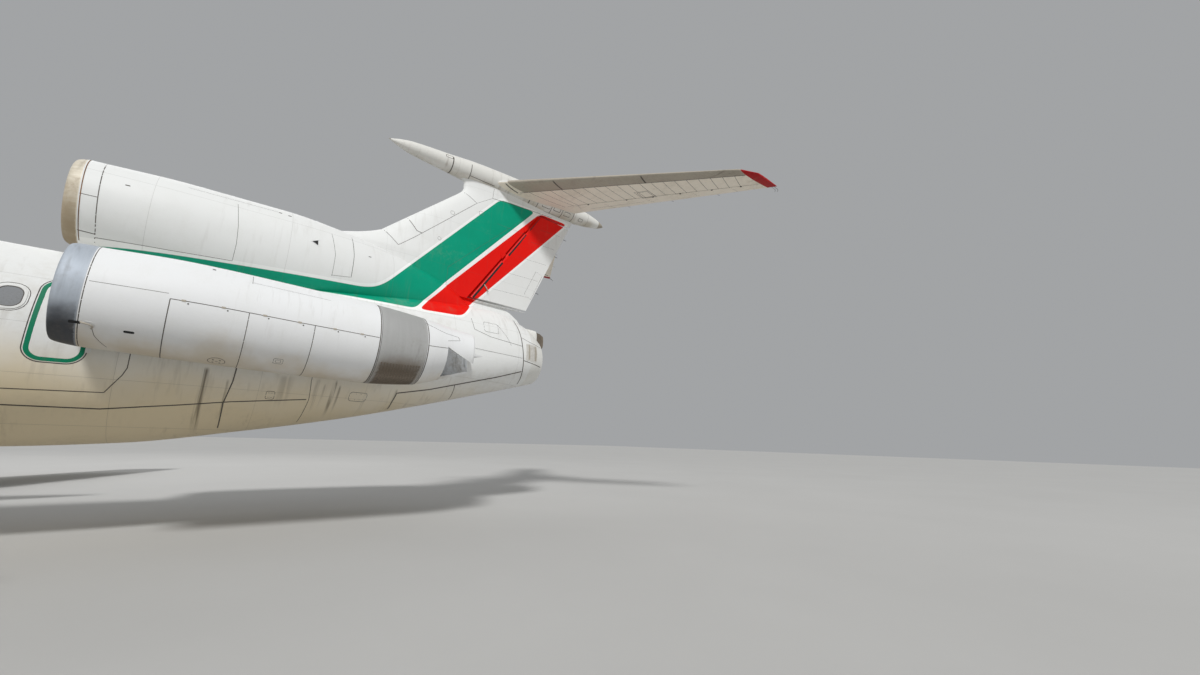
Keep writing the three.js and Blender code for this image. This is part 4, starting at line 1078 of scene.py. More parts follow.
# Side engines' pods
pods = {
    "offset": 2.88,
    "rows": [
        (32.45, 4.14, 0.832), (33.6, 4.135, 0.885), (35.6, 4.06, 0.89), (36.78, 4.02, 0.87), (37.79, 4.0, 0.79),
        (38.6, 4.05, 0.61), (39.7, 4.08, 0.47), (40.1, 4.085, 0.43),
    ],
    "bore": [
        (32.0, 4.15, 0.7), (33.1, 4.12, 0.72), (37.8, 4.01, 0.7), (38.6, 4.05, 0.54), (39.9, 4.08, 0.4),
        (40.4, 4.085, 0.36),
    ],
    "lip": [
        (32.45, 4.14, 0.832), (32.35, 4.148, 0.826), (32.25, 4.155, 0.815), (32.185, 4.159, 0.803),
        (32.145, 4.16, 0.787), (32.13, 4.16, 0.765), (32.137, 4.16, 0.745), (32.165, 4.158, 0.725),
        (32.21, 4.155, 0.706), (32.28, 4.151, 0.696), (32.36, 4.146, 0.696), (32.45, 4.14, 0.7),
    ],
    "band": (36.78, 37.79),
    "radius": 0.87,
    "cutMiddle": 39.2,
    "cutSlope": 0.3,
    "notches": [
        [(38.31, 0.076), (38.33, -1.3), (39.6, -1.3), (39.6, -0.8), (38.89, -0.334)],
        [(38.33, -1.28), (39.05, -1.85), (39.6, -2.1), (39.6, -1.28)],
    ],
    "sides": 96,
}
podSpot, _ = hullSkin(ringRows(pods["rows"]), offset=pods["offset"])
podBore, _ = hullSkin(ringRows(pods["bore"]), offset=pods["offset"])


# A place on a pod from its station and the distance round it from its outermost line
def onPod(station, around, lift=0.0):
    return podSpot(station, around / pods["radius"], lift)


# A ring that leans further towards the slanted nozzle end as share goes from 0 to 1
def leaningRing(rows, share, grow=0.0):
    rowAt, start = curveThrough(rows), pods["band"][1]
    ring = []
    for turn in turnsOf(pods["sides"]):
        radius = 0.8
        for _ in range(4):
            end = pods["cutMiddle"] - pods["cutSlope"] * radius * math.cos(turn)
            station = start + share * (end - start)
            axis, radius = rowAt(station)
        radius += grow
        ring.append(at(pods["offset"] + radius * math.cos(turn), station, axis + radius * math.sin(turn)))
    return ring


# A lip turned from its rows of station, axis and radius
def lipShape(part):
    shape = newShape()
    rings = [ringAt(*row, part["sides"], part["offset"]) for row in smoothLine(part["lip"], 3)]
    wallInto(shape, [*rings, rings[0]])
    return shape


def buildPods():
    sides, seat = pods["sides"], craft["seat"]
    front = pods["rows"][0][0] + seat
    bandStart, bandEnd = pods["band"]
    cowl = newShape()
    outer = hullRings(podSpot, front, bandStart, 0.15, sides)
    sunk = hullRings(podSpot, bandStart + 0.004, bandEnd - 0.004, 0.25, sides, -0.05)
    rear = [leaningRing(pods["rows"], share) for share in [*spread(0.0, 0.96, 0.08), 0.98]]
    rim = [leaningRing(pods["rows"], 0.995, -0.012), leaningRing(pods["bore"], 0.995, 0.012)]
    inside = [leaningRing(pods["bore"], share) for share in (0.97, 0.8, 0.6, 0.4, 0.2, 0)]
    wallInto(cowl, outer + sunk + rear + rim)
    wallInto(cowl, [rim[-1], *inside], 3)
    # Deep in the pod behind the fan the bore is near-black: painted shade
    wallInto(cowl, [inside[-1], *hullRings(podBore, 37.7, 33.3, 0.5, sides)], 1)
    wallInto(cowl, [*hullRings(podBore, 33.3, front, 0.12, sides), outer[0]], 2)
    piece = linked("nacelle", meshOf("nacelle", cowl, "nacellePaint sootMetal bladeMetal bluedMetal"))
    for corners in pods["notches"]:
        notch = newShape()
        plugInto(notch, closedPath(corners, 0.1), onPod, 0.1, -0.15)
        combine(piece, notch)
    fitPair("nacelle", piece, "white_paint", "nacelle", craft["round"])
    fitShapes("intakeLip", lipShape(pods), "lipMetal", "lip_metal", "intake_lip", craft["round"])

    band = newShape()
    skin = hullRings(podSpot, bandStart + 0.012, bandEnd - 0.012, 0.12, sides, 0.002)
    under = hullRings(podSpot, bandEnd - 0.012, bandStart + 0.012, 0.4, sides, -0.045)
    wallInto(band, [*skin, *under, skin[0]])
    fitShapes("reverserBand", band, "bandMetal", "brushed_metal", "reverser_band", craft["round"])


buildPods()
print("engine pods built")

# Fans: a spinner and twisted blades that turn with it; behind them guide vanes, and the cone in the nozzle
fans = {
    "station": 33.1, "axis": 4.12, "hub": 0.23, "tip": 0.69, "blades": 24, "twist": (28, 62), "chord": (0.13, 0.17),
    "spinner": [
        (0.004, -0.44), (0.045, -0.425), (0.09, -0.385), (0.135, -0.31), (0.175, -0.22), (0.21, -0.11), (0.23, 0.0),
    ],
    "section": ((-0.5, 0), (-0.3, 1), (0.1, 1.15), (0.5, 0.15), (0.1, -0.55), (-0.3, -0.7)),
    "vane": ((0, 0.006), (0.06, 0.014), (0.11, 0.0), (0.06, -0.008)),
    "cone": [(0.44, 0.0), (0.43, 0.2), (0.36, 0.5), (0.24, 0.8), (0.12, 1.0), (0.02, 1.08)],
    "strut": ((0, 0), (0.05, 0.018), (0.26, 0), (0.05, -0.018)),
}


# The ways out and round at a turn about the engine's axis
def spokeWays(turn):
    return Vector((math.cos(turn), 0, math.sin(turn))), Vector((-math.sin(turn), 0, math.cos(turn)))


# Flat vanes round the axis, leaning by so much as they go back
def vanesInto(shape, base, count, first, radii, corners, lean):
    for out, around in map(spokeWays, turnsOf(count, first)):
        rings = []
        for radius in radii:
            foot = base + out * radius
            rings.append([at(*(foot + aftward * back + around * (thick + back * lean))) for back, thick in corners])
        loftInto(shape, rings)


def buildFans():
    centre = Vector((pods["offset"], fans["station"], fans["axis"]))
    shape = newShape()
    turnInto(shape, [*smoothLine(fans["spinner"], 4), (0.23, 0.09)], at(*centre), aftward, 64)
    (rootTwist, tipTwist), (rootChord, tipChord) = fans["twist"], fans["chord"]
    for out, around in map(spokeWays, turnsOf(fans["blades"])):
        rings = []
        for share in [i / 8 for i in range(9)]:
            radius = fans["hub"] - 0.02 + share * (fans["tip"] - fans["hub"] + 0.02)
            angle = math.radians(rootTwist + share * (tipTwist - rootTwist))
            chord = rootChord + share * (tipChord - rootChord)
            run = aftward * math.cos(angle) + around * math.sin(angle)
            flat = run.cross(out).normalized()
            section = []
            for along, thick in fans["section"]:
                bow = 0.1 * (0.25 - along * along) * chord
                section.append(at(*(centre + out * radius + run * chord * along + flat * (thick * 0.007 + bow))))
            rings.append(section)
        loftInto(shape, rings)
    fitShapes("fan", shape, "bladeMetal", "engine_metal", "fan", craft["round"], bodiesOf("fan_wheel"))

    guide = newShape()
    turnInto(guide, [(0.235, 0.2), (0.235, 0.33)], at(*centre), aftward)
    vanesInto(guide, centre + aftward * 0.14, 16, 0.5, (0.22, 0.45, 0.705), fans["vane"], 0.3)
    fitShapes("guideVanes", guide, "bladeMetal", "engine_metal")

    cone = newShape()
    turnInto(cone, smoothLine(fans["cone"], 3), at(pods["offset"], 37.2, 4.0), aftward, 64)
    vanesInto(cone, Vector((pods["offset"], 37.26, 4.01)), 10, 0, (0.36, 0.71), fans["strut"], 0)
    fitShapes("exhaustCone", cone, "sootMetal", "engine_metal")


buildFans()
print("fans built")

pylons = {"rows": [(1.25, 32.7, 39.9, 4.29, 0.1), (2.7, 33.0, 39.7, 4.16, 0.1)]}


def buildPylons():
    rowAt = straightThrough(pylons["rows"])
    rings = []
    for x in spread(1.25, 2.7, 0.1):
        leading, trailing, height, thick = rowAt(x)
        rings.append(foilRing(leading, trailing, thick, lambda s, t, x=x, z=height: at(x, s, z + t)))
    shape, core = newShape(), newShape()
    loftInto(shape, rings)
    loftInto(core, hullRings(podSpot, 32.46, 40.05, 0.25, 48, -0.02))
    piece = linked("pylon", meshOf("pylon", shape, "nacellePaint"))
    combine(piece, core)
    fitPair("pylon", piece, "white_paint", "pylon", craft["round"])


buildPylons()
print("pylons built")

# Centre intake: its lip, and the duct that runs down into the tail
duct = {
    "offset": 0.0,
    "rows": [
        (31.74, 5.66, 7.52, 6.59, 0.93), (33.2, 5.5, 7.6, 6.57, 1.0), (35.0, 5.35, 7.6, 6.48, 1.0),
        (36.8, 5.25, 7.42, 6.33, 0.92), (38.2, 5.25, 7.1, 6.12, 0.76), (39.4, 5.35, 6.72, 5.96, 0.57),
        (40.5, 5.5, 6.0, 5.8, 0.38),
    ],
    "bore": [(31.5, 6.59, 0.74), (33.0, 6.57, 0.79), (34.6, 6.4, 0.76)],
    "lip": [
        (31.74, 6.59, 0.93), (31.67, 6.594, 0.912), (31.6, 6.598, 0.893), (31.54, 6.6, 0.867), (31.508, 6.6, 0.835),
        (31.5, 6.6, 0.8), (31.513, 6.6, 0.772), (31.545, 6.599, 0.754), (31.6, 6.597, 0.742), (31.67, 6.593, 0.741),
        (31.74, 6.59, 0.745),
    ],
    "sides": 96,
}
ductSpot, ductTurn = hullSkin(duct["rows"])
ductBore, _ = hullSkin(ringRows(duct["bore"]))


# The joint between lip and duct leans forward at its top
def leaned(point):
    joint, low, high = duct["rows"][0][:3]
    station = point.y / scale + craft["length"] / 2
    rise = (point.z / scale - low) / (high - low)
    away = (joint - station) / 0.5 if station < joint else (station - joint) / 0.9
    return point - aftward * (0.14 * rise * max(0.0, 1 - away) * scale)


def buildDuct():
    sides, shape, joint = duct["sides"], newShape(), 31.74 + craft["seat"]
    outer = hullRings(ductSpot, joint, 40.5, 0.15, sides)
    inner = hullRings(ductBore, 34.6, joint, 0.25, sides)
    loftInto(shape, outer, capStart=False)
    # The intake's inner wall is near-black: painted shade
    loftInto(shape, inner, 1, capEnd=False)
    wallInto(shape, [inner[-1], outer[0]], 1)
    for name, part, names, finish, node in (
        ("centreIntakeDuct", shape, "ductPaint sootMetal", "white_paint", "centre_intake_duct"),
        ("centreIntakeLip", lipShape(duct), "centreLipMetal", "stained_metal", "centre_intake_lip"),
    ):
        mesh = meshOf(name, part, names)
        for vertex in mesh.vertices:
            vertex.co = leaned(vertex.co)
        fit(name, mesh, finish, [node], craft["round"])


buildDuct()
print("centre intake built")

# Fin, rudder and the bullet on top
fin = {
    "rows": [
        (5.85, 35.2, 42.3, 0.1), (6.05, 35.32, 42.12, 0.1), (6.24, 35.4, 41.83, 0.1), (6.37, 35.5, 41.45, 0.1),
        (6.38, 35.51, 42.42, 0.1), (7.38, 36.0, 42.884, 0.1), (7.47, 36.24, 42.926, 0.1), (7.55, 36.5, 42.963, 0.1),
        (7.64, 36.8, 43.005, 0.1), (7.76, 37.12, 43.061, 0.1), (7.91, 37.42, 43.131, 0.1),
        (9.88, 39.6, 44.051, 0.1), (9.98, 39.7, 44.097, 0.1), (10.06, 39.755, 44.134, 0.1),
        (10.14, 39.78, 44.172, 0.1), (10.34, 39.77, 44.265, 0.1), (10.42, 39.73, 44.303, 0.1),
        (10.5, 39.63, 44.34, 0.1),
    ],
    "hinge": ((0, 40.41, 6.46), (0, 42.83, 10.09)),
    "noseRadius": (0.19, 0.12),
    "overrun": 0.9,
    "endGap": 0.075,
}
finRow = straightThrough(fin["rows"])


def onFin(side):
    def place(station, height, lift=0.0):
        return at(side * (foilAt(*finRow(height), station) + lift), station, height)

    return place


def buildFin():
    shape, rings = newShape(), []
    heights = sorted({row[0] for row in fin["rows"]} | {round(z, 3) for z in spread(6.5, 10.0, 0.15)})
    for height in heights:
        rings.append(foilRing(*finRow(height), lambda s, t, z=height: at(t, s, z)))
    loftInto(shape, rings)
    foil = meshOf("fin", shape, "finPaint")
    line = hingeAxis(*fin["hinge"], sideways)
    foot, head = fin["noseRadius"]
    over, gap = fin["overrun"], fin["endGap"]
    (_, _, low), (_, _, high) = fin["hinge"]

    rudder = linked("rudder", foil.copy())
    combine(rudder, hingeBlock(line, 0.0, 0.0, over), "INTERSECT")
    combine(rudder, hingeNose(line, foot, head, over), "UNION")
    combine(rudder, boxShape((-4, 30, low), (4, 60, high)), "INTERSECT")
    fit("rudder", rudder, "white_paint", ["rudder"], craft["round"], "rudder_panel")

    piece = linked("fin", foil)
    bay = linked("bay", meshOf("bay", hingeBlock(line, foot + running, head + running, over)))
    combine(bay, boxShape((-4, 30, low - gap), (4, 60, high + gap)), "INTERSECT")
    combine(piece, taken(bay))
    fit("fin", piece, "white_paint", ["fin"], craft["round"])


buildFin()
print("fin and rudder built")

bullet = {
    "rows": [
        (37.36, 10.845, 0.024), (37.6, 10.84, 0.11), (38.0, 10.835, 0.195), (39.24, 10.82, 0.3),
        (40.0, 10.81, 0.37), (40.8, 10.8, 0.405), (41.9, 10.79, 0.425), (43.2, 10.78, 0.43), (44.0, 10.775, 0.375),
        (44.8, 10.77, 0.29), (45.4, 10.76, 0.195), (45.7, 10.76, 0.11), (45.87, 10.76, 0.03),
    ],
    "darkTip": 45.55,
}
bulletSpot, _ = hullSkin(ringRows(bullet["rows"]))


def onBullet(station, around, lift=0.0):
    return bulletSpot(station, around / 0.42, lift)


def buildBullet():
    shape = newShape()
    loftInto(shape, hullRings(bulletSpot, 37.36, bullet["darkTip"], 0.1, 72), capEnd=False)
    loftInto(shape, hullRings(bulletSpot, bullet["darkTip"], 45.87, 0.04, 72), 1, capStart=False)
    fitShape("finBullet", shape, "bulletPaint edgeMetal", "white_paint", ["fin_bullet"], craft["round"])


buildBullet()
print("bullet built")

# Tailplane and elevators
tailplane = {
    "height": 10.65,
    "rows": [(0.0, 40.5, 43.95, 0.1), (6.4, 46.081, 47.726, 0.09), (6.7, 46.7, 47.9, 0.05)],
    "elevator": (1.06, 6.25, 0.75),
    "redFrom": 6.43,
    "edgeShare": 0.21,
}
tailplaneRow = straightThrough(tailplane["rows"])


# A place on the tailplane from the distance out and the station, above or below
def onTailplane(face):
    def place(x, station, lift=0.0):
        return at(x, station, tailplane["height"] + face * (foilAt(*tailplaneRow(abs(x)), station) + lift))

    return place


def tailplaneAt(x, share):
    leading, trailing, _ = tailplaneRow(abs(x))
    return leading + share * (trailing - leading)


def buildTailplane():
    shape, level = newShape(), tailplane["height"]
    half = spread(0, 0.62, 0.2) + spread(0.62, 6.4, 0.2)[1:] + [6.43] + spread(6.48, 6.7, 0.05)
    rings = []
    for x in [-x for x in reversed(half[1:])] + half:
        rings.append(foilRing(*tailplaneRow(abs(x)), lambda s, t, x=x: at(x, s, level + t)))
    loftInto(shape, rings)
    foil = meshOf("stabilizer", shape, "tailplanePaint tipPaint edgeMetal")
    *ends, share = tailplane["elevator"]
    piece = linked("stabilizer", foil.copy())
    for side, name in ((1, "left"), (-1, "right")):
        line = hingeAxis(*[(side * x, tailplaneAt(x, share), level) for x in ends])
        radii = []
        for leading, trailing, thick in map(tailplaneRow, ends):
            radii.append(0.95 * foilHalf(share, thick) * (trailing - leading))
        title = "elevator" + name.capitalize()
        elevator = linked(title, foil.copy())
        combine(elevator, hingeBlock(line, 0.0, 0.0), "INTERSECT")
        combine(elevator, hingeNose(line, *radii), "UNION")
        fit(title, elevator, "cream_paint", [f"elevator_{name}"], craft["round"], f"elevator_panel_{name}")
        combine(piece, hingeBlock(line, radii[0] + running, radii[1] + running, running))
    for polygon in piece.data.polygons:
        centre = polygon.center / scale
        x, station = abs(centre.x), centre.y + craft["length"] / 2
        leading, trailing, _ = tailplaneRow(x)
        # The tips take the dark red that holds painted shade
        if x > tailplane["redFrom"]:
            polygon.material_index = 1
        elif x > 0.62 and (station - leading) / (trailing - leading) < tailplane["edgeShare"]:
            polygon.material_index = 2
    fit("stabilizer", piece, "cream_paint", ["stabilizer"], craft["round"])


buildTailplane()
print("tailplane built")

# Windows and doors on the fuselage sides
cabin = {
    "middle": 4.15, "size": (0.31, 0.37), "corner": 0.13, "last": 31.39, "pitch": 0.5, "first": 7.8,
    "gaps": ((14.6, 16.2), (19.4, 20.4), (21.4, 22.4)), "exits": (19.9, 21.9),
    "doors": {
        "passengerDoorFront": ("left", 5.9, 2.77, 0.8, 1.73, 0.2, "passenger_door_front"),
        "passengerDoorMid": ("left", 15.0, 2.77, 0.8, 1.73, 0.2, "passenger_door_mid"),
        "serviceDoorFront": ("right", 6.2, 2.85, 0.65, 1.28, 0.16, "service_door_front"),
        "emergencyDoorLeft": ("left", 31.69, 3.1, 0.755, 1.5, 0.24, "emergency_door_left"),
        "emergencyDoorRight": ("right", 31.69, 3.1, 0.755, 1.5, 0.24, "emergency_door_right"),
    },
}


def windowInto(shape, station, height, place, width, rise, corner, raised=0.0):
    def on(u, v, lift):
        return place(u, v, lift + raised)

    pane = roundedOutline(station - width / 2, height - rise / 2, width, rise, corner)
    plateInto(shape, grownOutline(pane, 0.075), on, 0.0015, 0.004, 1)
    frameInto(shape, grownOutline(pane, 0.068), on, 0.012, 0.0026, 2)
    frameInto(shape, grownOutline(pane, 0.022), on, 0.05, 0.011)
    frameInto(shape, grownOutline(pane, -0.006), on, 0.014, 0.006, 2)
    plateInto(shape, pane, on, 0.0035, 0.006, 2, 1)


def buildWindows():
    for side, place in sidePlaces.items():
        shape, station = newShape(), cabin["last"]
        while station > cabin["first"]:
            if not any(low < station < high for low, high in cabin["gaps"]):
                windowInto(shape, station, cabin["middle"], place, *cabin["size"], cabin["corner"])
            station -= cabin["pitch"]
        fitShape("cabinWindows" + side.capitalize(), shape, "doorPaint cabinGlass seamFiller", "cockpit_glass",
                 angle=craft["round"])


# A plug door: a plate flush in its frame, a dark gap round it, a small window, and a handle over a dark plate that is
# painted shade for its recess
def buildDoors():
    names = "doorPaint cabinGlass seamFiller exitPaint slotDark"
    for name, (side, station, sill, length, rise, corner, node) in cabin["doors"].items():
        place, shape = sidePlaces[side], newShape()
        outline = roundedOutline(station, sill, length, rise, corner, 10)
        plateInto(shape, grownOutline(outline, -0.006), place, 0.004, 0.02, 6)
        frameInto(shape, grownOutline(outline, 0.004), place, 0.02, 0.0012, 2)
        windowAt = (station + length / 2, cabin["middle"] - (0.0 if rise > 1.5 else 0.05))
        if name.startswith("emergency"):
            frameInto(shape, grownOutline(outline, -0.05), place, 0.08, 0.0055, 3)
            windowInto(shape, *windowAt, place, 0.17, 0.22, 0.08, 0.004)
        else:
            frameInto(shape, grownOutline(outline, 0.09), place, 0.012, 0.0014, 2)
            sillEnds = [(station - 0.05, sill - 0.06), (station + length + 0.05, sill - 0.06)]
            stripInto(shape, sillEnds, place, 0.05, 0.006, 2, 0.25)
            windowInto(shape, *windowAt, place, 0.17, 0.22, 0.08, 0.004)
            u, v = station + length * 0.2, sill + rise * 0.45
            # A dark plate under the handle: painted shade for its recess
            plateInto(shape, roundedOutline(u, v, 0.22, 0.09, 0.03), place, 0.0046, 0.003, 1, 4)
            plateInto(shape, roundedOutline(u + 0.02, v + 0.03, 0.18, 0.03, 0.014), place, 0.012, 0.01, 1)
        for share in (0.18, 0.82):
            hinge = roundedOutline(station + length - 0.02, sill + rise * share - 0.05, 0.07, 0.1, 0.02)
            plateInto(shape, hinge, place, 0.01, 0.012, 1)
        fitShape(name, shape, names, "white_paint", [node], craft["round"])
    exits = newShape()
    for place in sidePlaces.values():
        for station in cabin["exits"]:
            outline = roundedOutline(station - 0.26, 3.62, 0.52, 0.92, 0.12, 8)
            plateInto(exits, grownOutline(outline, -0.005), place, 0.003, 0.01, 4)
            frameInto(exits, grownOutline(outline, 0.004), place, 0.014, 0.001, 2)
            frameInto(exits, grownOutline(outline, 0.035), place, 0.05, 0.0016, 3)
            windowInto(exits, station, cabin["middle"], place, *cabin["size"], cabin["corner"], 0.003)
    fitShape("overwingExits", exits, names, "white_paint", angle=craft["round"])


buildWindows()
buildDoors()
print("windows and doors built")

# Seams: paths of (station, height or distance round), each with its width in full-size metres
hullSeams = {
    "lines": [
        ([(33.0, 3.55), (33.0, 3.12), (32.95, 2.98), (32.76, 2.66), (30.4, 2.6), (30.4, 3.3)], 0.014),
        ([(28.6, 2.36), (32.74, 2.37), (33.84, 2.52), (34.61, 2.64), (36.0, 2.8)], 0.02),
        ([(34.6, 4.6), (34.6, 3.4), (34.58, 3.05), (34.5, 2.6), (34.52, 2.1)], 0.022),
        ([(36.0, 5.4), (36.0, 3.2), (36.05, 2.8), (36.0, 2.3)], 0.012),
        (
            [(38.06, 2.74), (38.03, 2.9), (38.05, 3.13), (38.93, 3.31), (39.65, 3.51), (41.0, 3.88), (41.88, 4.16)],
            0.028,
        ),
        ([(39.66, 3.5), (39.72, 3.3), (39.8, 3.12)], 0.02),
        ([(40.0, 5.55), (40.05, 5.2), (40.6, 5.05), (41.8, 4.95)], 0.012),
        ([(39.6, 4.62), (41.8, 4.56)], 0.008),
        ([(40.9, 5.5), (41.2, 5.15), (41.35, 4.9)], 0.008),
        ([(28.52, 5.2), (28.52, 2.0)], 0.012),
        ([(24.0, 5.3), (24.0, 3.2)], 0.012),
        ([(16.02, 5.3), (16.02, 3.2)], 0.012),
        ([(10.5, 5.3), (10.5, 1.9)], 0.012),
        ([(5.02, 5.2), (5.02, 1.85)], 0.012),
    ],
    "hatches": [
        (8.6, 2.1, 1.2, 0.95, 0.1), (25.9, 2.25, 1.1, 0.8, 0.1), (11.2, 4.75, 0.4, 0.25, 0.05),
        (36.9, 2.85, 0.42, 0.2, 0.06), (35.2, 2.75, 0.16, 0.16, 0.03), (40.4, 5.2, 0.5, 0.32, 0.04),
        (29.2, 2.75, 0.5, 0.35, 0.05), (3.1, 2.5, 0.8, 0.5, 0.08),
    ],
    "screws": 0.16,
}


def stripsInto(shape, lines, place, step, lift=0.0014, mark=0):
    for points, width in lines:
        stripInto(shape, points, place, width, lift, mark, step)


def buildHullSeams():
    for side, place in sidePlaces.items():
        shape = newShape()
        stripsInto(shape, hullSeams["lines"], place, 0.04)
        for station, height, length, rise, corner in hullSeams["hatches"]:
            frameInto(shape, roundedOutline(station, height, length, rise, corner), place, 0.009, 0.0006, sink=0.0)
            count = max(3, round(length / hullSeams["screws"]))
            for i in range(count + 1):
                for v in (height + 0.035, height + rise - 0.035):
                    u = station + 0.04 + (length - 0.08) * i / count
                    plateInto(shape, spotOutline(u, v, 0.006, 2), place, 0.0012, 0.002, 1)
        fitShape("hullSeams" + side.capitalize(), shape, "seamFiller", "brushed_metal")


buildHullSeams()

# The pods' seams, latches and hatches; the second measure is the distance round from the outermost line
podSeams = {
    "lines": [
        ([(33.45, 0.0), (36.74, 0.0)], 0.012),
        ([(33.45, 0.0), (33.45, -1.9)], 0.014),
        ([(34.52, 0.0), (34.52, -1.9)], 0.012),
        ([(35.56, 0.0), (35.56, -1.9)], 0.012),
        ([(32.5, 0.09), (33.42, 0.085)], 0.007),
        ([(34.5, 0.62), (34.5, 0.95)], 0.007),
        ([(34.5, 0.66), (35.8, 0.66)], 0.005),
        ([(37.82, 0.03), (38.3, 0.03)], 0.014),
        ([(37.6, 0.79), (37.86, 0.66), (38.27, 0.52), (38.6, 0.5), (38.63, 0.36), (38.3, 0.26)], 0.012),
        ([(32.47, -1.3), (32.47, 2.6)], 0.012),
        ([(32.62, -0.66), (32.66, -0.85), (32.8, -1.15)], 0.008),
    ],
    "joints": [([(36.76, -1.9), (36.76, 1.3)], 0.02), ([(37.81, -1.9), (37.81, 1.3)], 0.02)],
    "latches": (33.62, 34.15, 34.75, 35.3, 35.9, 36.4),
    "hatch": (34.21, -1.108, 0.125),
    "square": (35.03, -0.9, 0.15, 0.13),
    "marks": [
        ((32.98, -0.69, 0.13, 0.045, 0.02), 0.0016, 0.002, 3), ((32.37, -0.64, 0.13, 0.05, 0.015), 0.0016, 0.002, 3),
        ((32.52, -0.66, 0.12, 0.09, 0.04), 0.004, 0.004, 2), ((33.9, 0.82, 0.05, 0.04, 0.018), 0.004, 0.004, 0),
    ],
    "handle": (
        (32.5, -0.6, 0.004), (32.53, -0.585, 0.04), (32.6, -0.6, 0.045), (32.64, -0.64, 0.03), (32.62, -0.7, 0.004),
    ),
    "slats": 27,
    "slatEnds": (-1.28, -0.5),
}


def buildPodDetails():
    shape = newShape()
    stripsInto(shape, podSeams["lines"], onPod, 0.08, 0.0008)
    stripsInto(shape, podSeams["joints"], onPod, 0.08, 0.0025)
    for station in podSeams["latches"]:
        plateInto(shape, roundedOutline(station - 0.03, -0.012, 0.06, 0.03, 0.008), onPod, 0.007, 0.009, 1, 1)
        plateInto(shape, roundedOutline(station + 0.05, -0.05, 0.025, 0.025, 0.0125, 3), onPod, 0.003, 0.004, 1)
    station, around, radius = podSeams["hatch"]
    turns = spread(0, math.tau * 35 / 36, 0.174)
    ring = [(station + radius * math.cos(a), around + radius * math.sin(a)) for a in turns]
    frameInto(shape, ring, onPod, 0.012, 0.001)
    plateInto(shape, grownOutline(ring, -0.012), onPod, 0.003, 0.005, 3, 2)
    for a in turnsOf(4, 0.5):
        spot = spotOutline(station + 0.07 * math.cos(a), around + 0.07 * math.sin(a), 0.014, 3)
        plateInto(shape, spot, onPod, 0.006, 0.004, 1)
    plateInto(shape, spotOutline(station, around, 0.02, 4), onPod, 0.009, 0.008, 1, 1)
    u, v, width, rise = podSeams["square"]
    frameInto(shape, roundedOutline(u, v, width, rise, 0.02), onPod, 0.008, 0.0008, sink=0.0)
    inner = roundedOutline(u + 0.035, v + 0.03, width - 0.07, rise - 0.06, 0.015)
    frameInto(shape, inner, onPod, 0.006, 0.0008, sink=0.0)
    for box, lift, depth, mark in podSeams["marks"]:
        plateInto(shape, roundedOutline(*box), onPod, lift, depth, 1, mark)
    handle = [onPod(*point) for point in podSeams["handle"]]
    tubeInto(shape, [Vector(point) for point in smoothLine(handle, 5)], 0.006, 8, 1)
    fitShapes("podDetails", shape, "seamFiller edgeMetal nacellePaint slotDark", "brushed_metal", None, craft["round"])

    slats, count = newShape(), podSeams["slats"] - 1
    bandStart, bandEnd = pods["band"]
    low, high = podSeams["slatEnds"]
    for k in range(count + 1):
        station = bandStart + 0.1 + (bandEnd - bandStart - 0.2) * k / count
        left, right = station - 0.014, station + 0.014
        outline = closedPath([(left, low), (right, low), (right, high), (left, high)], 0.06)
        plateInto(slats, outline, onPod, 0.002 if k % 2 else 0.011, 0.006, 1, 1)
    fitShapes("reverserSlats", slats, "slotDark gridMetal", "brushed_metal")


buildPodDetails()
print("pod details built")

# Seams on the duct, by station and height
ductSeams = {
    "lines": [
        ([(31.99, 5.72), (32.0, 5.9), (31.99, 6.5), (31.98, 7.2), (31.98, 7.45)], 0.014),
        ([(31.75, 6.5), (31.98, 6.5)], 0.012),
        ([(31.75, 5.86), (32.0, 5.84)], 0.012),
        ([(32.0, 5.79), (33.1, 5.8), (34.2, 5.83), (34.21, 6.2), (34.18, 6.6), (34.1, 7.2)], 0.008),
        ([(36.2, 5.95), (36.2, 6.5), (36.08, 7.1)], 0.008),
        ([(36.2, 5.97), (36.62, 6.02)], 0.008),
        ([(36.64, 6.02), (36.64, 6.6), (36.58, 7.2)], 0.012),
        ([(33.2, 7.3), (34.9, 7.32)], 0.005),
    ],
    "rust": ([(31.765, 5.72), (31.765, 6.6), (31.765, 7.46)], 0.014),
    "scoop": [(0.0, 0.0), (0.13, -0.07), (0.12, 0.06)],
    "scoopRim": [(-0.02, 0.0), (0.15, -0.095), (0.14, 0.08)],
    "scoopPlace": (35.66, 6.7),
    "slots": ((32.3, 6.9), (35.1, 7.28), (34.9, 7.3), (37.0, 6.7)),
}


def onDuct(station, height, lift=0.0):
    return leaned(ductSpot(station, ductTurn(station, height, 1), lift))


def buildDuctSeams():
    shape = newShape()
    stripsInto(shape, ductSeams["lines"], onDuct, 0.08, 0.0008)
    stripsInto(shape, [ductSeams["rust"]], onDuct, 0.04, 0.003, 3)
    u, v = ductSeams["scoopPlace"]
    scoop, rim = [[(u + along, v + up) for along, up in ductSeams[key]] for key in ("scoop", "scoopRim")]
    # The scoop's mouth and the vent slots are dark plates: painted shade in the openings
    plateInto(shape, scoop, onDuct, 0.004, 0.004, 1, 1)
    frameInto(shape, rim, onDuct, 0.02, 0.01, 2)
    for station, height in ductSeams["slots"]:
        plateInto(shape, roundedOutline(station, height, 0.07, 0.02, 0.009), onDuct, 0.004, 0.004, 1)
    fitShape("ductSeams", bothSides(shape), "seamFiller slotDark doorPaint rust", "brushed_metal")


buildDuctSeams()

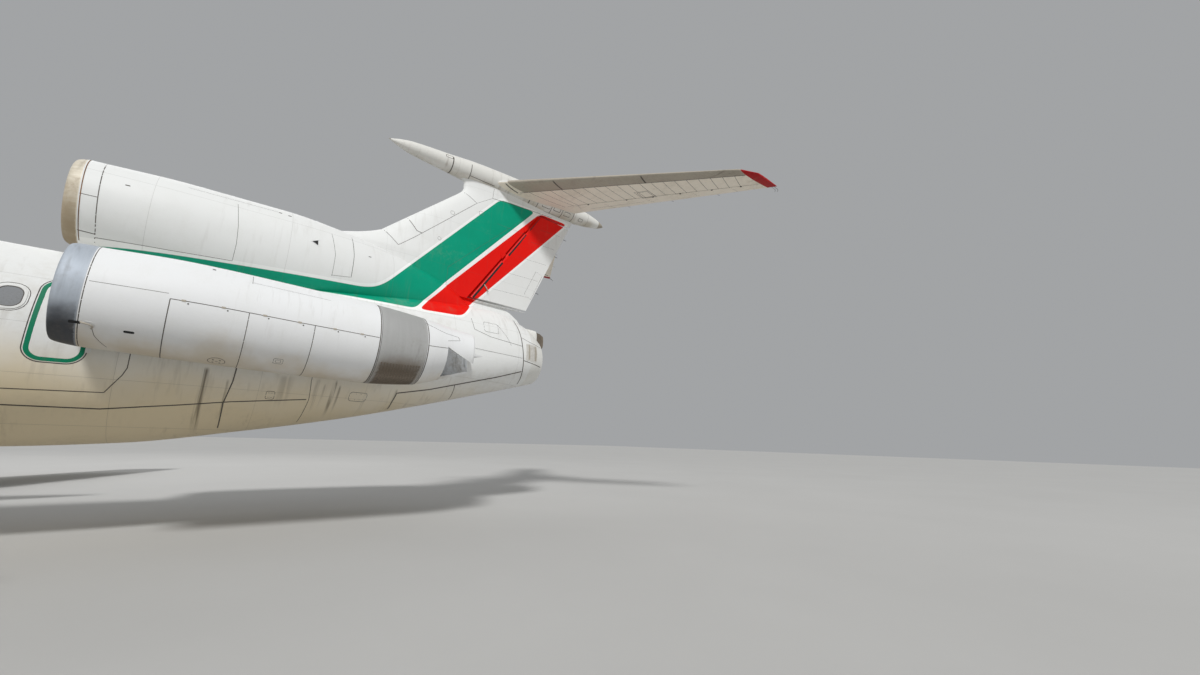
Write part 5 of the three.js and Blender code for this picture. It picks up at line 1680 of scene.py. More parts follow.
# Seams, slots and fittings of the tail
finSeams = {
    "lines": [
        ([(39.78, 9.96), (40.2, 9.68), (39.1, 8.62), (38.3, 7.86), (37.9, 7.5)], 0.012),
        ([(38.1, 8.46), (38.36, 8.1), (38.52, 8.06)], 0.02),
        ([(37.42, 7.92), (37.85, 7.47), (37.9, 7.5)], 0.016),
        ([(40.2, 9.68), (40.75, 10.06), (40.78, 10.42)], 0.008),
        ([(40.75, 10.06), (43.3, 10.25)], 0.014),
        ([(39.4, 6.6), (39.4, 7.2), (42.3, 10.0)], 0.006),
        ([(41.0, 9.2), (42.2, 9.2)], 0.006),
    ],
    # Slots: dark plates along the rudder's gap, painted shadow
    "slots": [(0.0, 0.4), (0.49, 0.76), (0.82, 0.99)],
    "slotLine": ((40.28, 6.51), (42.72, 10.13)),
    "slotBack": (0.065, 0.13),
    "covers": (0.445, 0.79),
    "squares": [(39.35, 9.0, 0.12), (39.0, 8.0, 0.1), (40.3, 9.3, 0.14)],
    "cover": ((-0.2, 0.02), (-0.12, -0.08), (-0.012, -0.12), (-0.012, 0.12), (-0.12, 0.1)),
    "ribs": (6.9, 7.6, 8.3, 9.0, 9.6),
    "tab": [(42.62, 6.9), (42.33, 7.05), (42.75, 7.98), (43.05, 7.9)],
    "wicks": (7.2, 8.0, 8.8, 9.6),
}


def buildTailSeams():
    shape, moving = newShape(), newShape()
    foot, head = [Vector(end) for end in finSeams["slotLine"]]
    run = (head - foot).normalized()
    out = Vector((run.y, -run.x))
    near, far = finSeams["slotBack"]
    (_, hingeStation, hingeFoot), (_, hingeEnd, hingeHead) = fin["hinge"]
    for place in (onFin(1), onFin(-1)):
        stripsInto(shape, finSeams["lines"], place, 0.1, 0.001)
        for station, height, size in finSeams["squares"]:
            frameInto(shape, roundedOutline(station, height, size, size, size * 0.3), place, 0.008, 0.001, sink=0.0)
        # Dark plates ahead of the rudder's nose are painted shadow of the gap there, with hinge covers between them
        for start, end in finSeams["slots"]:
            ends = ((start, near), (end, near), (end, far), (start, far))
            corners = [tuple(foot.lerp(head, share) + out * back) for share, back in ends]
            plateInto(moving, closedPath(corners, 0.12), place, -0.012, 0.01, 1, 1)
        for share in finSeams["covers"]:
            middle = foot.lerp(head, share)
            corners = [tuple(middle + out * a + run * b) for a, b in finSeams["cover"]]
            plateInto(shape, corners, place, 0.016, 0.03, 2, 3)
        base = foot.lerp(head, 0.14) + out * 0.1
        tip = base + out * 0.24 - run * 0.1
        rod = [place(*base, 0.012), place(*base.lerp(tip, 0.5), 0.05), place(*tip, 0.06)]
        tubeInto(moving, rod, 0.009, 8, 2)
        for height in finSeams["ribs"]:
            share = (height - hingeFoot) / (hingeHead - hingeFoot)
            start = hingeStation + share * (hingeEnd - hingeStation) + 0.3
            end = finRow(height)[1] - 0.12
            stripInto(moving, [(start, height), (end, height + 0.05)], place, 0.005, 0.001, step=0.2)
        frameInto(moving, finSeams["tab"], place, 0.008, 0.001, sink=0.0)
    for height in finSeams["wicks"]:
        trailing = finRow(height)[1]
        tubeInto(moving, [at(0, trailing - 0.03, height), at(0, trailing + 0.14, height - 0.02)], 0.004, 6, 1)
    fitShape("finSeams", shape, "seamFiller slotDark edgeMetal finPaint", "brushed_metal")
    fitShape("rudderSeams", moving, "seamFiller slotDark edgeMetal", "brushed_metal", body="rudder_panel")


bulletSeams = {
    "rings": [
        (39.24, -1.2, 0.15, 0.03), (39.85, -1.1, 0.1, 0.02), (42.15, -0.9, 0.1, 0.04), (42.5, -0.9, 0.1, 0.025),
        (43.1, -0.9, 0.1, 0.022), (43.6, -0.9, 0.3, 0.022), (44.15, -1.0, 0.3, 0.02), (44.9, -0.9, 1.3, 0.006),
    ],
    "runs": [(39.85, 40.75, -0.35, 0.02), (41.6, 43.6, -0.52, 0.012), (42.15, 44.15, -0.12, 0.01)],
    "frames": [
        (42.7, -0.36, 0.34, 0.16), (43.2, -0.34, 0.3, 0.18), (43.72, -0.4, 0.26, 0.17), (44.45, -0.42, 0.2, 0.15),
        (39.0, 0.05, 0.22, 0.14),
    ],
    "probe": ((0, 37.37, 10.845), (0, 37.3, 10.847)),
}


def buildBulletSeams():
    shape = newShape()
    for station, low, high, width in bulletSeams["rings"]:
        stripInto(shape, [(station, low), (station, high)], onBullet, width, 0.003, step=0.04)
    for start, end, around, width in bulletSeams["runs"]:
        stripInto(shape, [(start, around), (end, around)], onBullet, width, 0.003, step=0.1)
    for u, v, width, rise in bulletSeams["frames"]:
        frameInto(shape, roundedOutline(u, v, width, rise, 0.02, 3), onBullet, 0.02, 0.003, sink=0.0)
    both = bothSides(shape)
    tubeInto(both, [at(*point) for point in bulletSeams["probe"]], 0.006, 8, 1)
    fitShape("bulletSeams", both, "seamFiller edgeMetal", "brushed_metal")


# By distance out and chord share; ribs and spar lines lie on the fixed part, the last two rows on the elevators
tailplaneSeams = {
    "ribPitch": 0.3,
    "ribLean": 0.7,
    "joints": [0.6, 1.85, 4.08],
    "frame": (3.2, 0.5, 0.76),
    "dots": (1.4, 2.6, 3.4, 4.2, 5.1, 5.9),
    "tipWicks": (6.55, 6.62),
    "lines": (1.8, 3.1, 4.5, 5.6),
    "wicks": (2.2, 3.6, 5.0),
}


def buildTailplaneSeams():
    fixedShape, movingShapes = newShape(), {"left": newShape(), "right": newShape()}
    level, seams = tailplane["height"], tailplaneSeams
    for side, (name, moving) in zip((1, -1), movingShapes.items()):

        def spot(x, share):
            return side * x, tailplaneAt(x, share)

        for place in (onTailplane(-1), onTailplane(1)):
            # Rib lines run square to the leading edge, so they lean inboard as they go back
            x = 0.75
            while x < 6.3:
                inner = x - seams["ribLean"] * 0.36 * (1.0 if x > 1.3 else 0.4)
                stripInto(fixedShape, [spot(x, 0.215), spot(inner, 0.735)], place, 0.012, 0.0012, step=0.1)
                x += seams["ribPitch"]
            stripInto(fixedShape, [spot(0.5, 0.21), spot(6.4, 0.21)], place, 0.022, 0.0012, step=0.2)
            stripInto(fixedShape, [spot(0.75, 0.73), spot(6.38, 0.73)], place, 0.01, 0.0012, step=0.2)
            for x in seams["joints"]:
                stripInto(fixedShape, [spot(x - 0.05, 0.012), spot(x - 0.16, 0.21)], place, 0.045, 0.002, step=0.05)
            u, low, high = seams["frame"]
            for inset in (0.0, 0.05):
                corners = [
                    spot(u + inset, low + inset / 2), spot(u + 0.42 - inset, low + inset / 2 - 0.02),
                    spot(u + 0.3 - inset, high - inset / 2), spot(u - 0.12 + inset, high - inset / 2),
                ]
                stripInto(fixedShape, [*corners, corners[0]], place, 0.014, 0.0014, step=0.08)
            for x in seams["dots"]:
                plateInto(fixedShape, spotOutline(*spot(x, 0.742), 0.03, 3), place, 0.012, 0.014, 1, 1)
            for x in seams["lines"]:
                stripInto(moving, [spot(x, 0.8), spot(x, 0.985)], place, 0.006, 0.001, step=0.1)
            stripInto(moving, [spot(1.15, 0.9), spot(2.9, 0.9)], place, 0.01, 0.001, step=0.2)
        for x in seams["tipWicks"]:
            start = at(*spot(x, 0.99), level)
            path = [start, start + Vector((side * 0.02, 0.09, -0.03)), start + Vector((0, 0.1, -0.055))]
            tubeInto(fixedShape, path, 0.003, 6)
        for x in seams["wicks"]:
            start = at(*spot(x, 0.99), level)
            tubeInto(moving, [start, start + aftward * 0.07], 0.0025, 6)
    fitShape("tailplaneSeams", fixedShape, "seamFiller slotDark", "brushed_metal")
    for name, moving in movingShapes.items():
        title = "elevatorSeams" + name.capitalize()
        fitShape(title, moving, "seamFiller slotDark", "brushed_metal", body=f"elevator_panel_{name}")


# The tail's end ring, its covers and the auxiliary outlet above it
tailEnd = {
    "housing": [(41.6, 5.5, 0.2), (41.9, 5.9, 0.25), (42.34, 5.8, 0.27), (42.72, 5.78, 0.27), (42.8, 5.77, 0.265),
                (42.82, 5.74, 0.25), (43.0, 5.7, 0.25), (43.1, 5.64, 0.24)],
    "floor": 5.15,
    "corner": 0.55,
    "bareFrom": 5,
    "ring": [
        (42.0, 3.8), (41.93, 4.1), (41.86, 4.45), (41.8, 4.9), (41.76, 5.3), (41.72, 5.6), (41.7, 5.8), (41.8, 6.0),
    ],
    "lines": [([(41.8, 5.24), (42.15, 5.14), (42.7, 5.07)], 0.012), ([(41.86, 4.5), (42.4, 4.44), (42.7, 4.41)], 0.02)],
    "panel": (41.95, 4.52, 0.5, 0.56, 0.05, 3),
    "edges": ((42.06, 0.05), (42.34, 0.07)),
}


def shrunk(ring, share):
    middle = sum(ring, Vector()) / len(ring)
    return [point + (middle - point) * share for point in ring]


def buildTailEnd():
    shape = newShape()
    for place in sidePlaces.values():
        stripsInto(shape, [(smoothLine(tailEnd["ring"], 4), 0.03), *tailEnd["lines"]], place, 0.04)
        # A sunk panel in the end ring, with its dark rear edge
        plateInto(shape, roundedOutline(*tailEnd["panel"]), place, 0.003, 0.006, 4, 3)
        for start, width in tailEnd["edges"]:
            plateInto(shape, roundedOutline(start, 4.56, width, 0.48, 0.02, 3), place, 0.006, 0.006, 3, 4)
    # Outlet housing on top: a rounded box that runs back out of the tail, its end bare and open
    rings = []
    for station, top, half in tailEnd["housing"]:
        rise = (top - tailEnd["floor"]) / 2
        ring = []
        for turn in turnsOf(40):
            x, z = [math.copysign(abs(way) ** tailEnd["corner"], way) for way in (math.cos(turn), math.sin(turn))]
            ring.append(at(x * half, station, top - rise + z * rise))
        rings.append(ring)
    split = tailEnd["bareFrom"]
    loftInto(shape, rings[:split + 1], 1, capEnd=False)
    loftInto(shape, [*rings[split:], shrunk(rings[-1], 0.1), shrunk(rings[-3], 0.16)], 2, capStart=False)
    fitShape("tailEnd", shape, "seamFiller nozzlePaint gridMetal nozzleMetal edgeMetal", "nozzle_metal",
             angle=craft["round"])


buildTailSeams()
buildBulletSeams()
buildTailplaneSeams()
buildTailEnd()
print("tail details built")

# Wings with their flaps, ailerons and spoilers
wing = {
    "rows": [
        (1.3, 16.5, 25.78, 2.42, 0.12), (4.9, 20.06, 26.42, 2.34, 0.116), (6.4, 21.39, 27.04, 2.32, 0.113),
        (18.425, 30.67, 32.9, 2.08, 0.1), (18.58, 30.86, 32.95, 2.078, 0.092), (18.7, 31.08, 33.0, 2.076, 0.08),
        (18.775, 31.3, 33.07, 2.075, 0.05),
    ],
    "aileron": (13.9, 18.1, 0.75),
    "flaps": {"innerFlap": (2.87, 4.9, 0.75), "outerFlap": (7.2, 13.6, 0.75)},
    "brackets": {"innerFlap": (0.16, 0.84), "outerFlap": (0.1, 0.5, 0.9)},
    "flapHinge": {"drop": 0.42, "aft": 0.1, "plate": 0.06, "eye": 0.048, "pin": 0.02},
    "spoiler": (7.3, 12.0, 0.6),
    "spoilerChord": 0.42,
    "spoilerDepth": 0.034,
    "spoilerDrop": 0.045,
    "noseBack": 0.05,
    "tip": (18.5, 18.58, 18.64, 18.7, 18.74, 18.775),
    # Canoe fairings under the flaps, by distance back, half width and depth
    "canoes": (
        ((-1.6, 0.006, 0.0), (-1.3, 0.04, 0.08), (-0.9, 0.065, 0.2), (-0.5, 0.07, 0.31), (-0.14, 0.06, 0.36)),
        ((0.09, 0.055, 0.34), (0.35, 0.06, 0.27), (0.7, 0.05, 0.17), (1.0, 0.03, 0.09), (1.25, 0.006, 0.01)),
    ),
}
wingRow = straightThrough(wing["rows"])


def wingAt(x, share):
    leading, trailing, height, thick = wingRow(abs(x))
    chord = trailing - leading
    return leading + share * chord, height, foilHalf(share, thick) * chord


# A place on the wing from the distance out and the station, above or below
def onWing(face, side=1):
    def place(x, station, lift=0.0):
        leading, trailing, height, thick = wingRow(abs(x))
        chord = trailing - leading
        half = foilHalf((station - leading) / chord, thick) * chord
        return at(side * x, station, height + face * (half + lift))

    return place


def wingLine(inner, outer, share, raised=0.0):
    ends = []
    for x in (inner, outer):
        station, height, half = wingAt(x, share)
        ends.append((x, station, height + raised * half))
    return hingeAxis(*ends)


# A solid along a hinge line from an outline of distances back and up
def alongLine(line, start, end, outline, shape=None):
    rise = line["axis"].cross(line["aft"])
    body, rings = shape or newShape(), []
    for along in (start, end):
        base = line["start"] + line["axis"] * along
        rings.append([at(*(base + line["aft"] * back + rise * up)) for back, up in outline])
    loftInto(body, rings)
    return body


def canoeInto(shape, pivot, along, rows):
    canoe = []
    for back, wide, low in rows:
        ring = []
        for turn in turnsOf(20):
            spot = pivot["start"] + pivot["axis"] * (along + wide * math.cos(turn)) + pivot["aft"] * back
            leading, trailing, height, _ = wingRow(spot.x)
            skin = wingAt(spot.x, min(0.97, (spot.y - leading) / (trailing - leading)))[2]
            up = 0.02 * max(0, math.sin(turn)) + low * min(0, math.sin(turn))
            ring.append(at(spot.x, spot.y, height - skin + up))
        canoe.append(ring)
    loftInto(shape, canoe, 2)


def flapPieces(foil, name):
    inner, outer, share = wing["flaps"][name]
    front, half, back = wingLine(inner, outer, share), wingAt(outer, share)[2], wing["noseBack"]
    nose = [
        (4, -4), (4, 4), (back, 4), (back, half), (0.4 * back, 0.8 * half), (0.06 * back, 0.35 * half),
        (0.06 * back, -0.35 * half), (0.4 * back, -0.8 * half), (back, -half), (back, -4),
    ]
    flap = linked(name, foil.copy())
    combine(flap, alongLine(front, 0, (front["end"] - front["start"]).length, nose), "INTERSECT")
    aft, drop, plate, eye = [wing["flapHinge"][key] for key in ("aft", "drop", "plate", "eye")]
    ends = []
    for x, corner in ((inner, front["start"]), (outer, front["end"])):
        spot = corner + front["aft"] * aft
        ends.append((spot.x, spot.y, corner.z - wingAt(x, share)[2] - drop))
    pivot = hingeAxis(*ends)
    reach = (pivot["end"] - pivot["start"]).length
    arms, lugs = newShape(), newShape()
    for place in wing["brackets"][name]:
        half = wingAt(inner + place * (outer - inner), share)[2]
        along = place * reach
        lugAlong = along + plate + running
        arm = [(-aft - 0.52, drop + 0.5 * half), (-aft - 0.012, drop + 0.5 * half), (-aft - 0.012, drop - 0.06)]
        eyeRound = [(eye * math.cos(a), eye * math.sin(a)) for a in reversed(spread(-2.36, 1.57, 0.2))]
        arm += [(-0.02, eye + 0.03), *eyeRound, (-aft - 0.46, drop - 0.11)]
        alongLine(pivot, along - plate / 2, along + plate / 2, arm, arms)
        lug = [(-aft + 0.02, drop + 0.7 * half), (-aft + 0.02, drop - 0.04)]
        lug += [(eye * math.cos(a), eye * math.sin(a)) for a in spread(2.36, 6.6, 0.2)]
        lug += [(-aft + 0.3, drop + 0.04), (-aft + 0.3, drop + 0.7 * half)]
        alongLine(pivot, lugAlong - plate / 2, lugAlong + plate / 2, lug, lugs)
        pin = [pivot["start"] + pivot["axis"] * d for d in (along - plate * 0.8, lugAlong + plate * 0.9)]
        barInto(arms, *pin, wing["flapHinge"]["pin"], mark=1)
        # A canoe fairing in two parts: the front one hides the arm, the rear one rides on the flap
        for shape, rows in zip((arms, lugs), wing["canoes"]):
            canoeInto(shape, pivot, along, rows)
    return front, flap, arms, lugs


def buildWings():
    shape, rings = newShape(), []
    for x in [*spread(1.3, 6.4, 0.3), *spread(6.4, 18.425, 0.35)[1:], *wing["tip"]]:
        leading, trailing, height, thick = wingRow(x)
        rings.append(foilRing(leading, trailing, thick, lambda s, t, x=x, z=height: at(x, s, z + t)))
    loftInto(shape, rings)
    foil = meshOf("wing", shape, "wingPaint edgeMetal slotDark")
    whole, fittings, names = linked("wing", foil.copy()), newShape(), "legPaint chrome wingPaint"
    for name in wing["flaps"]:
        front, flap, arms, lugs = flapPieces(foil, name)
        combine(whole, hingeBlock(front, running, running, running))
        side = name.replace("Flap", "")
        bodies = bodiesOf(side + "_flap")
        fitPair(name, flap, "white_paint", "flap_" + side, craft["round"], bodies)
        fitShapes(name + "Lugs", lugs, names, "gear_paint", bodies=bodies)
        addShape(fittings, arms)
    fitShapes("flapArms", fittings, names, "gear_paint")

    inner, outer, share = wing["aileron"]
    line = wingLine(inner, outer, share)
    radii = [0.95 * wingAt(x, share)[2] for x in (inner, outer)]
    aileron = linked("aileron", foil.copy())
    combine(aileron, hingeBlock(line, 0.0, 0.0), "INTERSECT")
    combine(aileron, hingeNose(line, *radii), "UNION")
    combine(whole, hingeBlock(line, radii[0] + running, radii[1] + running, running))
    fitPair("aileron", aileron, "white_paint", "aileron", craft["round"], bodiesOf("aileron_panel"))

    inner, outer, share = wing["spoiler"]
    line = wingLine(inner, outer, share, 1.0)
    length = (line["end"] - line["start"]).length
    chord, depth, fall = wing["spoilerChord"], wing["spoilerDepth"], wing["spoilerDrop"]

    def panel(front, around):
        floor = -depth - around
        outline = [(-front, floor), (chord + around, floor - fall), (chord + around, 4), (-front, 4)]
        return alongLine(line, -around, length + around, outline)

    spoiler = linked("spoiler", foil.copy())
    combine(spoiler, panel(0.0, 0.0), "INTERSECT")
    combine(whole, panel(craft["seat"], running))
    fitPair("spoiler", spoiler, "white_paint", "spoiler", craft["round"], bodiesOf("spoiler_panel"))
    for polygon in whole.data.polygons:
        centre = polygon.center / scale
        leading, trailing, _, _ = wingRow(min(centre.x, 18.7))
        share = (centre.y + craft["length"] / 2 - leading) / (trailing - leading)
        polygon.material_index = 1 if centre.x > 3.0 and share < 0.035 else 0
    fitPair("wing", whole, "white_paint", "wing", craft["round"])


buildWings()
print("wings built")

# Seams, slats, fences, lamps and wicks on the wings, by distance out and chord share
wingSeams = {
    "slats": [3.1, 5.0, 6.55, 9.4, 12.3, 15.3, 18.2],
    "ribs": [7.3, 8.5, 9.7, 10.9, 12.1, 13.3, 14.5, 15.7, 16.9],
    "tanks": [
        (4.2, 0.35), (4.2, 0.55), (8.0, 0.3), (8.0, 0.5), (9.6, 0.38), (11.2, 0.38), (12.8, 0.4), (14.4, 0.4),
        (16.0, 0.42),
    ],
    "fences": [(9.4, 0.02, 0.62), (13.75, 0.02, 0.7)],
    "innerSpoilers": [(3.0, 4.85), (4.95, 6.9)],
    "wicks": [18.2, 18.4, 18.6],
    "tabs": (9.0, 12.0, 15.5),
    "hairlines": (8.87, 10.43),
    "drains": (3.9, 5.0, 7.6, 9.0, 10.3, 11.5),
    "lamp": (0.03, 0.06, 0.1, 0.16, 0.24, 0.32),
}


def buildWingSeams():
    def spot(x, share):
        return x, wingAt(x, share)[0]

    shape, seams = newShape(), wingSeams
    slats = seams["slats"]
    for face in (1, -1):
        place = onWing(face)

        def line(points, width, step=0.25):
            stripInto(shape, points, place, width, 0.0012, step=step)

        def loop(corners, width, step=0.25):
            line([*corners, corners[0]], width, step)

        edge = 0.16 if face > 0 else 0.09
        line([spot(slats[0], edge), spot(slats[2], edge), spot(slats[-1], edge + 0.02)], 0.022)
        for x in slats:
            line([spot(x, 0.006), spot(x - 0.05, edge + (0.02 if x > 12 else 0.004))], 0.018, 0.1)
        line([spot(3.1, 0.58), spot(6.4, 0.58), spot(18.2, 0.6)], 0.008)
        for x in seams["ribs"]:
            line([spot(x, edge + 0.025), spot(x, 0.59)], 0.007, 0.2)
        line([spot(7.1, 0.73), spot(18.2, 0.73)], 0.006)
        line([spot(7.0, edge + 0.02), spot(7.0, 0.74)], 0.01)
        for x, share in seams["tanks"]:
            _, station = spot(x, share)
            oval = roundedOutline(x - 0.11, station - 0.17, 0.22, 0.34, 0.11, 5)
            frameInto(shape, oval, place, 0.008, 0.001, sink=0.0)
            if face > 0:
                plateInto(shape, spotOutline(x, station - 0.455, 0.045, 5), place, 0.003, 0.006, 2, 1)
        for x in seams["tabs"]:
            loop([spot(x, 0.64), spot(x + 0.3, 0.64), spot(x + 0.3, 0.69), spot(x, 0.69)], 0.006, 0.1)
        if face > 0:
            for start, end in seams["innerSpoilers"]:
                loop([spot(start, 0.62), spot(end, 0.62), spot(end, 0.735), spot(start, 0.735)], 0.014)
            for x in seams["hairlines"]:
                _, station = spot(x, 0.6)
                line([(x, station + 0.02), (x + 0.09, station + 0.4)], 0.0001)
        else:
            line([spot(3.4, 0.2), spot(3.4, 0.58)], 0.01)
            for x in seams["drains"]:
                plateInto(shape, spotOutline(*spot(x, 0.45), 0.03, 4), place, 0.006, 0.008, 1, 1)
    for x in seams["wicks"]:
        start = at(x, *wingAt(x, 0.99)[:2])
        tubeInto(shape, [start, start + Vector((0.01, 0.07, -0.005))], 0.0025, 6)
    fitShapes("wingSeams", shape, "seamFiller edgeMetal", "brushed_metal")

    fences = newShape()
    for x, start, end in seams["fences"]:
        rings = []
        for share in [start + (end - start) * k / 14 for k in range(15)]:
            station, height, half = wingAt(x, share)
            ease = math.sin(math.pi * (share - start) / (end - start)) ** 0.35
            low = station, height + half - 0.02
            high = station - 0.03 * (1 - ease), height + half + 0.005 + 0.17 * ease
            rings.append([at(x - 0.006, *low), at(x + 0.006, *low), at(x + 0.004, *high), at(x - 0.004, *high)])
        loftInto(fences, rings)
    fitShapes("wingFences", fences, "wingPaint", "white_paint")

    for side, name, lens in ((1, "Left", "redLens"), (-1, "Right", "greenLens")):
        lamp, rings = newShape(), []
        for share in seams["lamp"]:
            station, height, _ = wingAt(18.7, share)
            size = math.sin(math.pi * min(1, (share - 0.02) / 0.31)) ** 0.5
            ring = []
            for turn in turnsOf(14):
                out = 18.72 + 0.075 * size * math.cos(turn)
                ring.append(at(side * out, station, height + 0.055 * size * math.sin(turn)))
            rings.append(ring)
        loftInto(lamp, rings)
        fitShape("navLamp" + name, lamp, lens, "cockpit_glass")


buildWingSeams()
print("wing details built")

# Cockpit glass with its frames and rivets, the wiper, probes and the nose's small fittings
wiper = {
    "arm": ((8.0, 4.08, -0.01), (8.0, 4.08, 0.02), (9.5, 4.2, 0.04), (12.0, 4.38, 0.035)),
    "blade": ((9.5, 4.2), (11, 4.32), (12.5, 4.44), (14.5, 4.56)),
}
probes = {"places": ((2.3, 3.1), (2.75, 2.8)), "bends": ((0, -0.01), (0, 0.05), (-0.01, 0.07), (-0.09, 0.085))}
vane = {"place": (3.38, 3.03), "blade": [(3.36, 3.02), (3.4, 3.02), (3.46, 3.03), (3.4, 3.045), (3.36, 3.04)]}


def buildCockpit():
    shape = newShape()
    for pane in cockpit["panes"]:
        frameInto(shape, paneOutline(pane, 0.034), cockpitPlace, 0.03, 0.006)
        frameInto(shape, paneOutline(pane, 0.004), cockpitPlace, 0.012, -0.004, 2, 0.03)
        plateInto(shape, paneOutline(pane, 0.01), cockpitPlace, 0.006 - cockpit["sunk"], 0.02, 4, 1)
        outline = paneOutline(pane, 0.021)
        for (u, v), (nextU, nextV) in zip(outline, [*outline[1:], outline[0]]):
            count = max(1, int(math.hypot((nextU - u) * 0.03, nextV - v) / 0.09))
            for share in [(k + 0.5) / count for k in range(count)]:
                headU, headV = u + (nextU - u) * share, v + (nextV - v) * share
                dot = [(headU + 0.2 * math.cos(a), headV + 0.006 * math.sin(a)) for a in spread(0, 5.5, 1.1)]
                plateInto(shape, dot, cockpitPlace, 0.0075, 0.002, 1, 3)
    # Wiper: an arm from below the windscreen with its blade across the glass
    foot, *arm = [cockpitPlace(*point) for point in wiper["arm"]]
    rodInto(shape, foot, arm[0], 0.012, sides=16, mark=3)
    tubeInto(shape, arm, 0.004, 8, 3)
    tubeInto(shape, [cockpitPlace(*point, 0.008) for point in wiper["blade"]], 0.005, 8, 2)
    mesh = meshOf("cockpitGlazingLeft", shape, "doorPaint cockpitGlass seamFiller gridMetal")
    twin = mirroredMesh(mesh)
    twin.name = "cockpitGlazingRight"
    fit("cockpitGlazingLeft", mesh, "cockpit_glass", ["cockpit_glazing"], craft["round"])
    fit("cockpitGlazingRight", twin, "cockpit_glass", angle=craft["round"])

    nose = newShape()
    for place in sidePlaces.values():
        for station, height in probes["places"]:
            path = [place(station + back, height, lift) for back, lift in probes["bends"]]
            tubeInto(nose, path, 0.009)
            tubeInto(nose, [path[-1], path[-1] - aftward * 0.09], 0.006)
            frameInto(nose, roundedOutline(station - 0.08, height - 0.05, 0.16, 0.1, 0.04), place, 0.01, 0.002)
        plateInto(nose, spotOutline(*vane["place"], 0.08), place, 0.004, 0.006, 2, 1)
        tubeInto(nose, [place(*vane["place"], 0), place(*vane["place"], 0.05)], 0.008, 8)
        plateInto(nose, vane["blade"], place, 0.05, 0.012, 1)
        stripInto(nose, [(1.9, 2.2), (1.9, 3.0), (1.9, 4.0)], place, 0.014, 0.0012, 2, 0.08)
        for height in (2.6, 2.95, 3.3, 3.65):
            stripInto(nose, [(0.5, 2.95 + (height - 2.95) * 0.45), (1.85, height)], place, 0.006, 0.001, 2, 0.1)
        for height in spread(2.25, 3.95, 0.14):
            plateInto(nose, roundedOutline(1.94, height, 0.014, 0.014, 0.007, 2), place, 0.0014, 0.002, 1, 1)
    fitShape("noseFittings", nose, "chrome gridMetal seamFiller", "brushed_metal", angle=craft["round"])


buildCockpit()
print("cockpit built")

# Aerials, beacons, drains, jack pads and landing lamps; up is 1 on top and -1 below
fittings = {
    "blades": [
        (8.4, 1, 0.36, 0.3), (12.6, 1, 0.42, 0.34), (20.5, 1, 0.36, 0.3), (26.8, 1, 0.3, 0.22), (9.4, -1, 0.34, 0.26),
        (11.6, -1, 0.3, 0.22),
    ],
    "bladeRows": ((-0.1, 1, 0), (0.0, 1, 0.0), (0.5, 0.78, 0.18), (0.85, 0.58, 0.36), (1.0, 0.4, 0.46)),
    "beacons": [(17.4, 1), (12.9, -1)],
    "beaconRows": [
        (0.07, -0.03), (0.07, 0.012), (0.058, 0.014), (0.056, 0.05), (0.045, 0.075), (0.022, 0.09), (0.002, 0.093),
    ],
    "masts": [(10.4, 0.35), (13.8, -0.3)],
    "noseJack": 8.2,
    "wingJack": (4.3, 0.6),
    "lampStation": 4.4,
    "lampTurns": (-1.06, math.pi + 1.06),
    "lampRim": [(0.1, 0), (0.1, 0.014), (0.085, 0.018)],
    "lampGlass": [(0.085, 0.01), (0.08, 0.02), (0.05, 0.026), (0.002, 0.028)],
}


def jackPadInto(shape, place, sunk):
    rodInto(shape, place + upward * sunk, place - upward * 0.035, 0.045, 0.042, 28, 2, 0.004)


def buildFittings():
    shape = newShape()
    for station, up, chord, rise in fittings["blades"]:
        low, rings = hullSpot(station, math.pi / 2 * up).z / scale, []
        for share, size, sweep in fittings["bladeRows"]:
            section = []
            for s in (0.0, 0.08, 0.25, 0.5, 0.8, 1.0, 0.8, 0.5, 0.25, 0.08):
                side = 1 if len(section) < 5 else -1
                half = 0.0 if s in (0.0, 1.0) else side * chord * size * 0.07 * math.sin(math.pi * s**0.6)
                section.append(at(half, station + sweep * chord + s * chord * size, low + up * share * rise))
            rings.append(section)
        loftInto(shape, rings)
        blockInto(shape, (-0.045, station - 0.05, low - 0.02), (0.045, station + chord + 0.05, low + 0.012), 0.004)
    for station, up in fittings["beacons"]:
        base, rows = hullSpot(station, math.pi / 2 * up), fittings["beaconRows"]
        turnInto(shape, rows[:3], base, upward * up, 28, 0, 1.5 * scale)
        turnInto(shape, rows[2:], base, upward * up, 28, 1, 1.5 * scale)
    for station, x in fittings["masts"]:
        start = hullSpot(station, -math.acos(x / 1.9))
        rodInto(shape, start + upward * 0.02, start + Vector((0, 0.07, -0.11)), 0.016, 0.011, 16)
    jackPadInto(shape, hullSpot(fittings["noseJack"], -math.pi / 2), 0.02)
    x, share = fittings["wingJack"]
    station, height, half = wingAt(x, share)
    for side, turn in zip((1, -1), fittings["lampTurns"]):
        jackPadInto(shape, at(side * x, station, height - half), 0.03)
        # Landing lamps stand behind a round glass low on the nose
        centre = hullSpot(fittings["lampStation"], turn, -0.01)
        outward = (hullSpot(fittings["lampStation"], turn, 0.1) - centre).normalized()
        turnInto(shape, fittings["lampRim"], centre, outward, 32, 2, 1)
        turnInto(shape, fittings["lampGlass"], centre, outward, 32, 3, 1)
    fitShape("smallFittings", shape, "doorPaint redLens legPaint clearLens", "brushed_metal", angle=craft["round"])


buildFittings()
print("small fittings built")

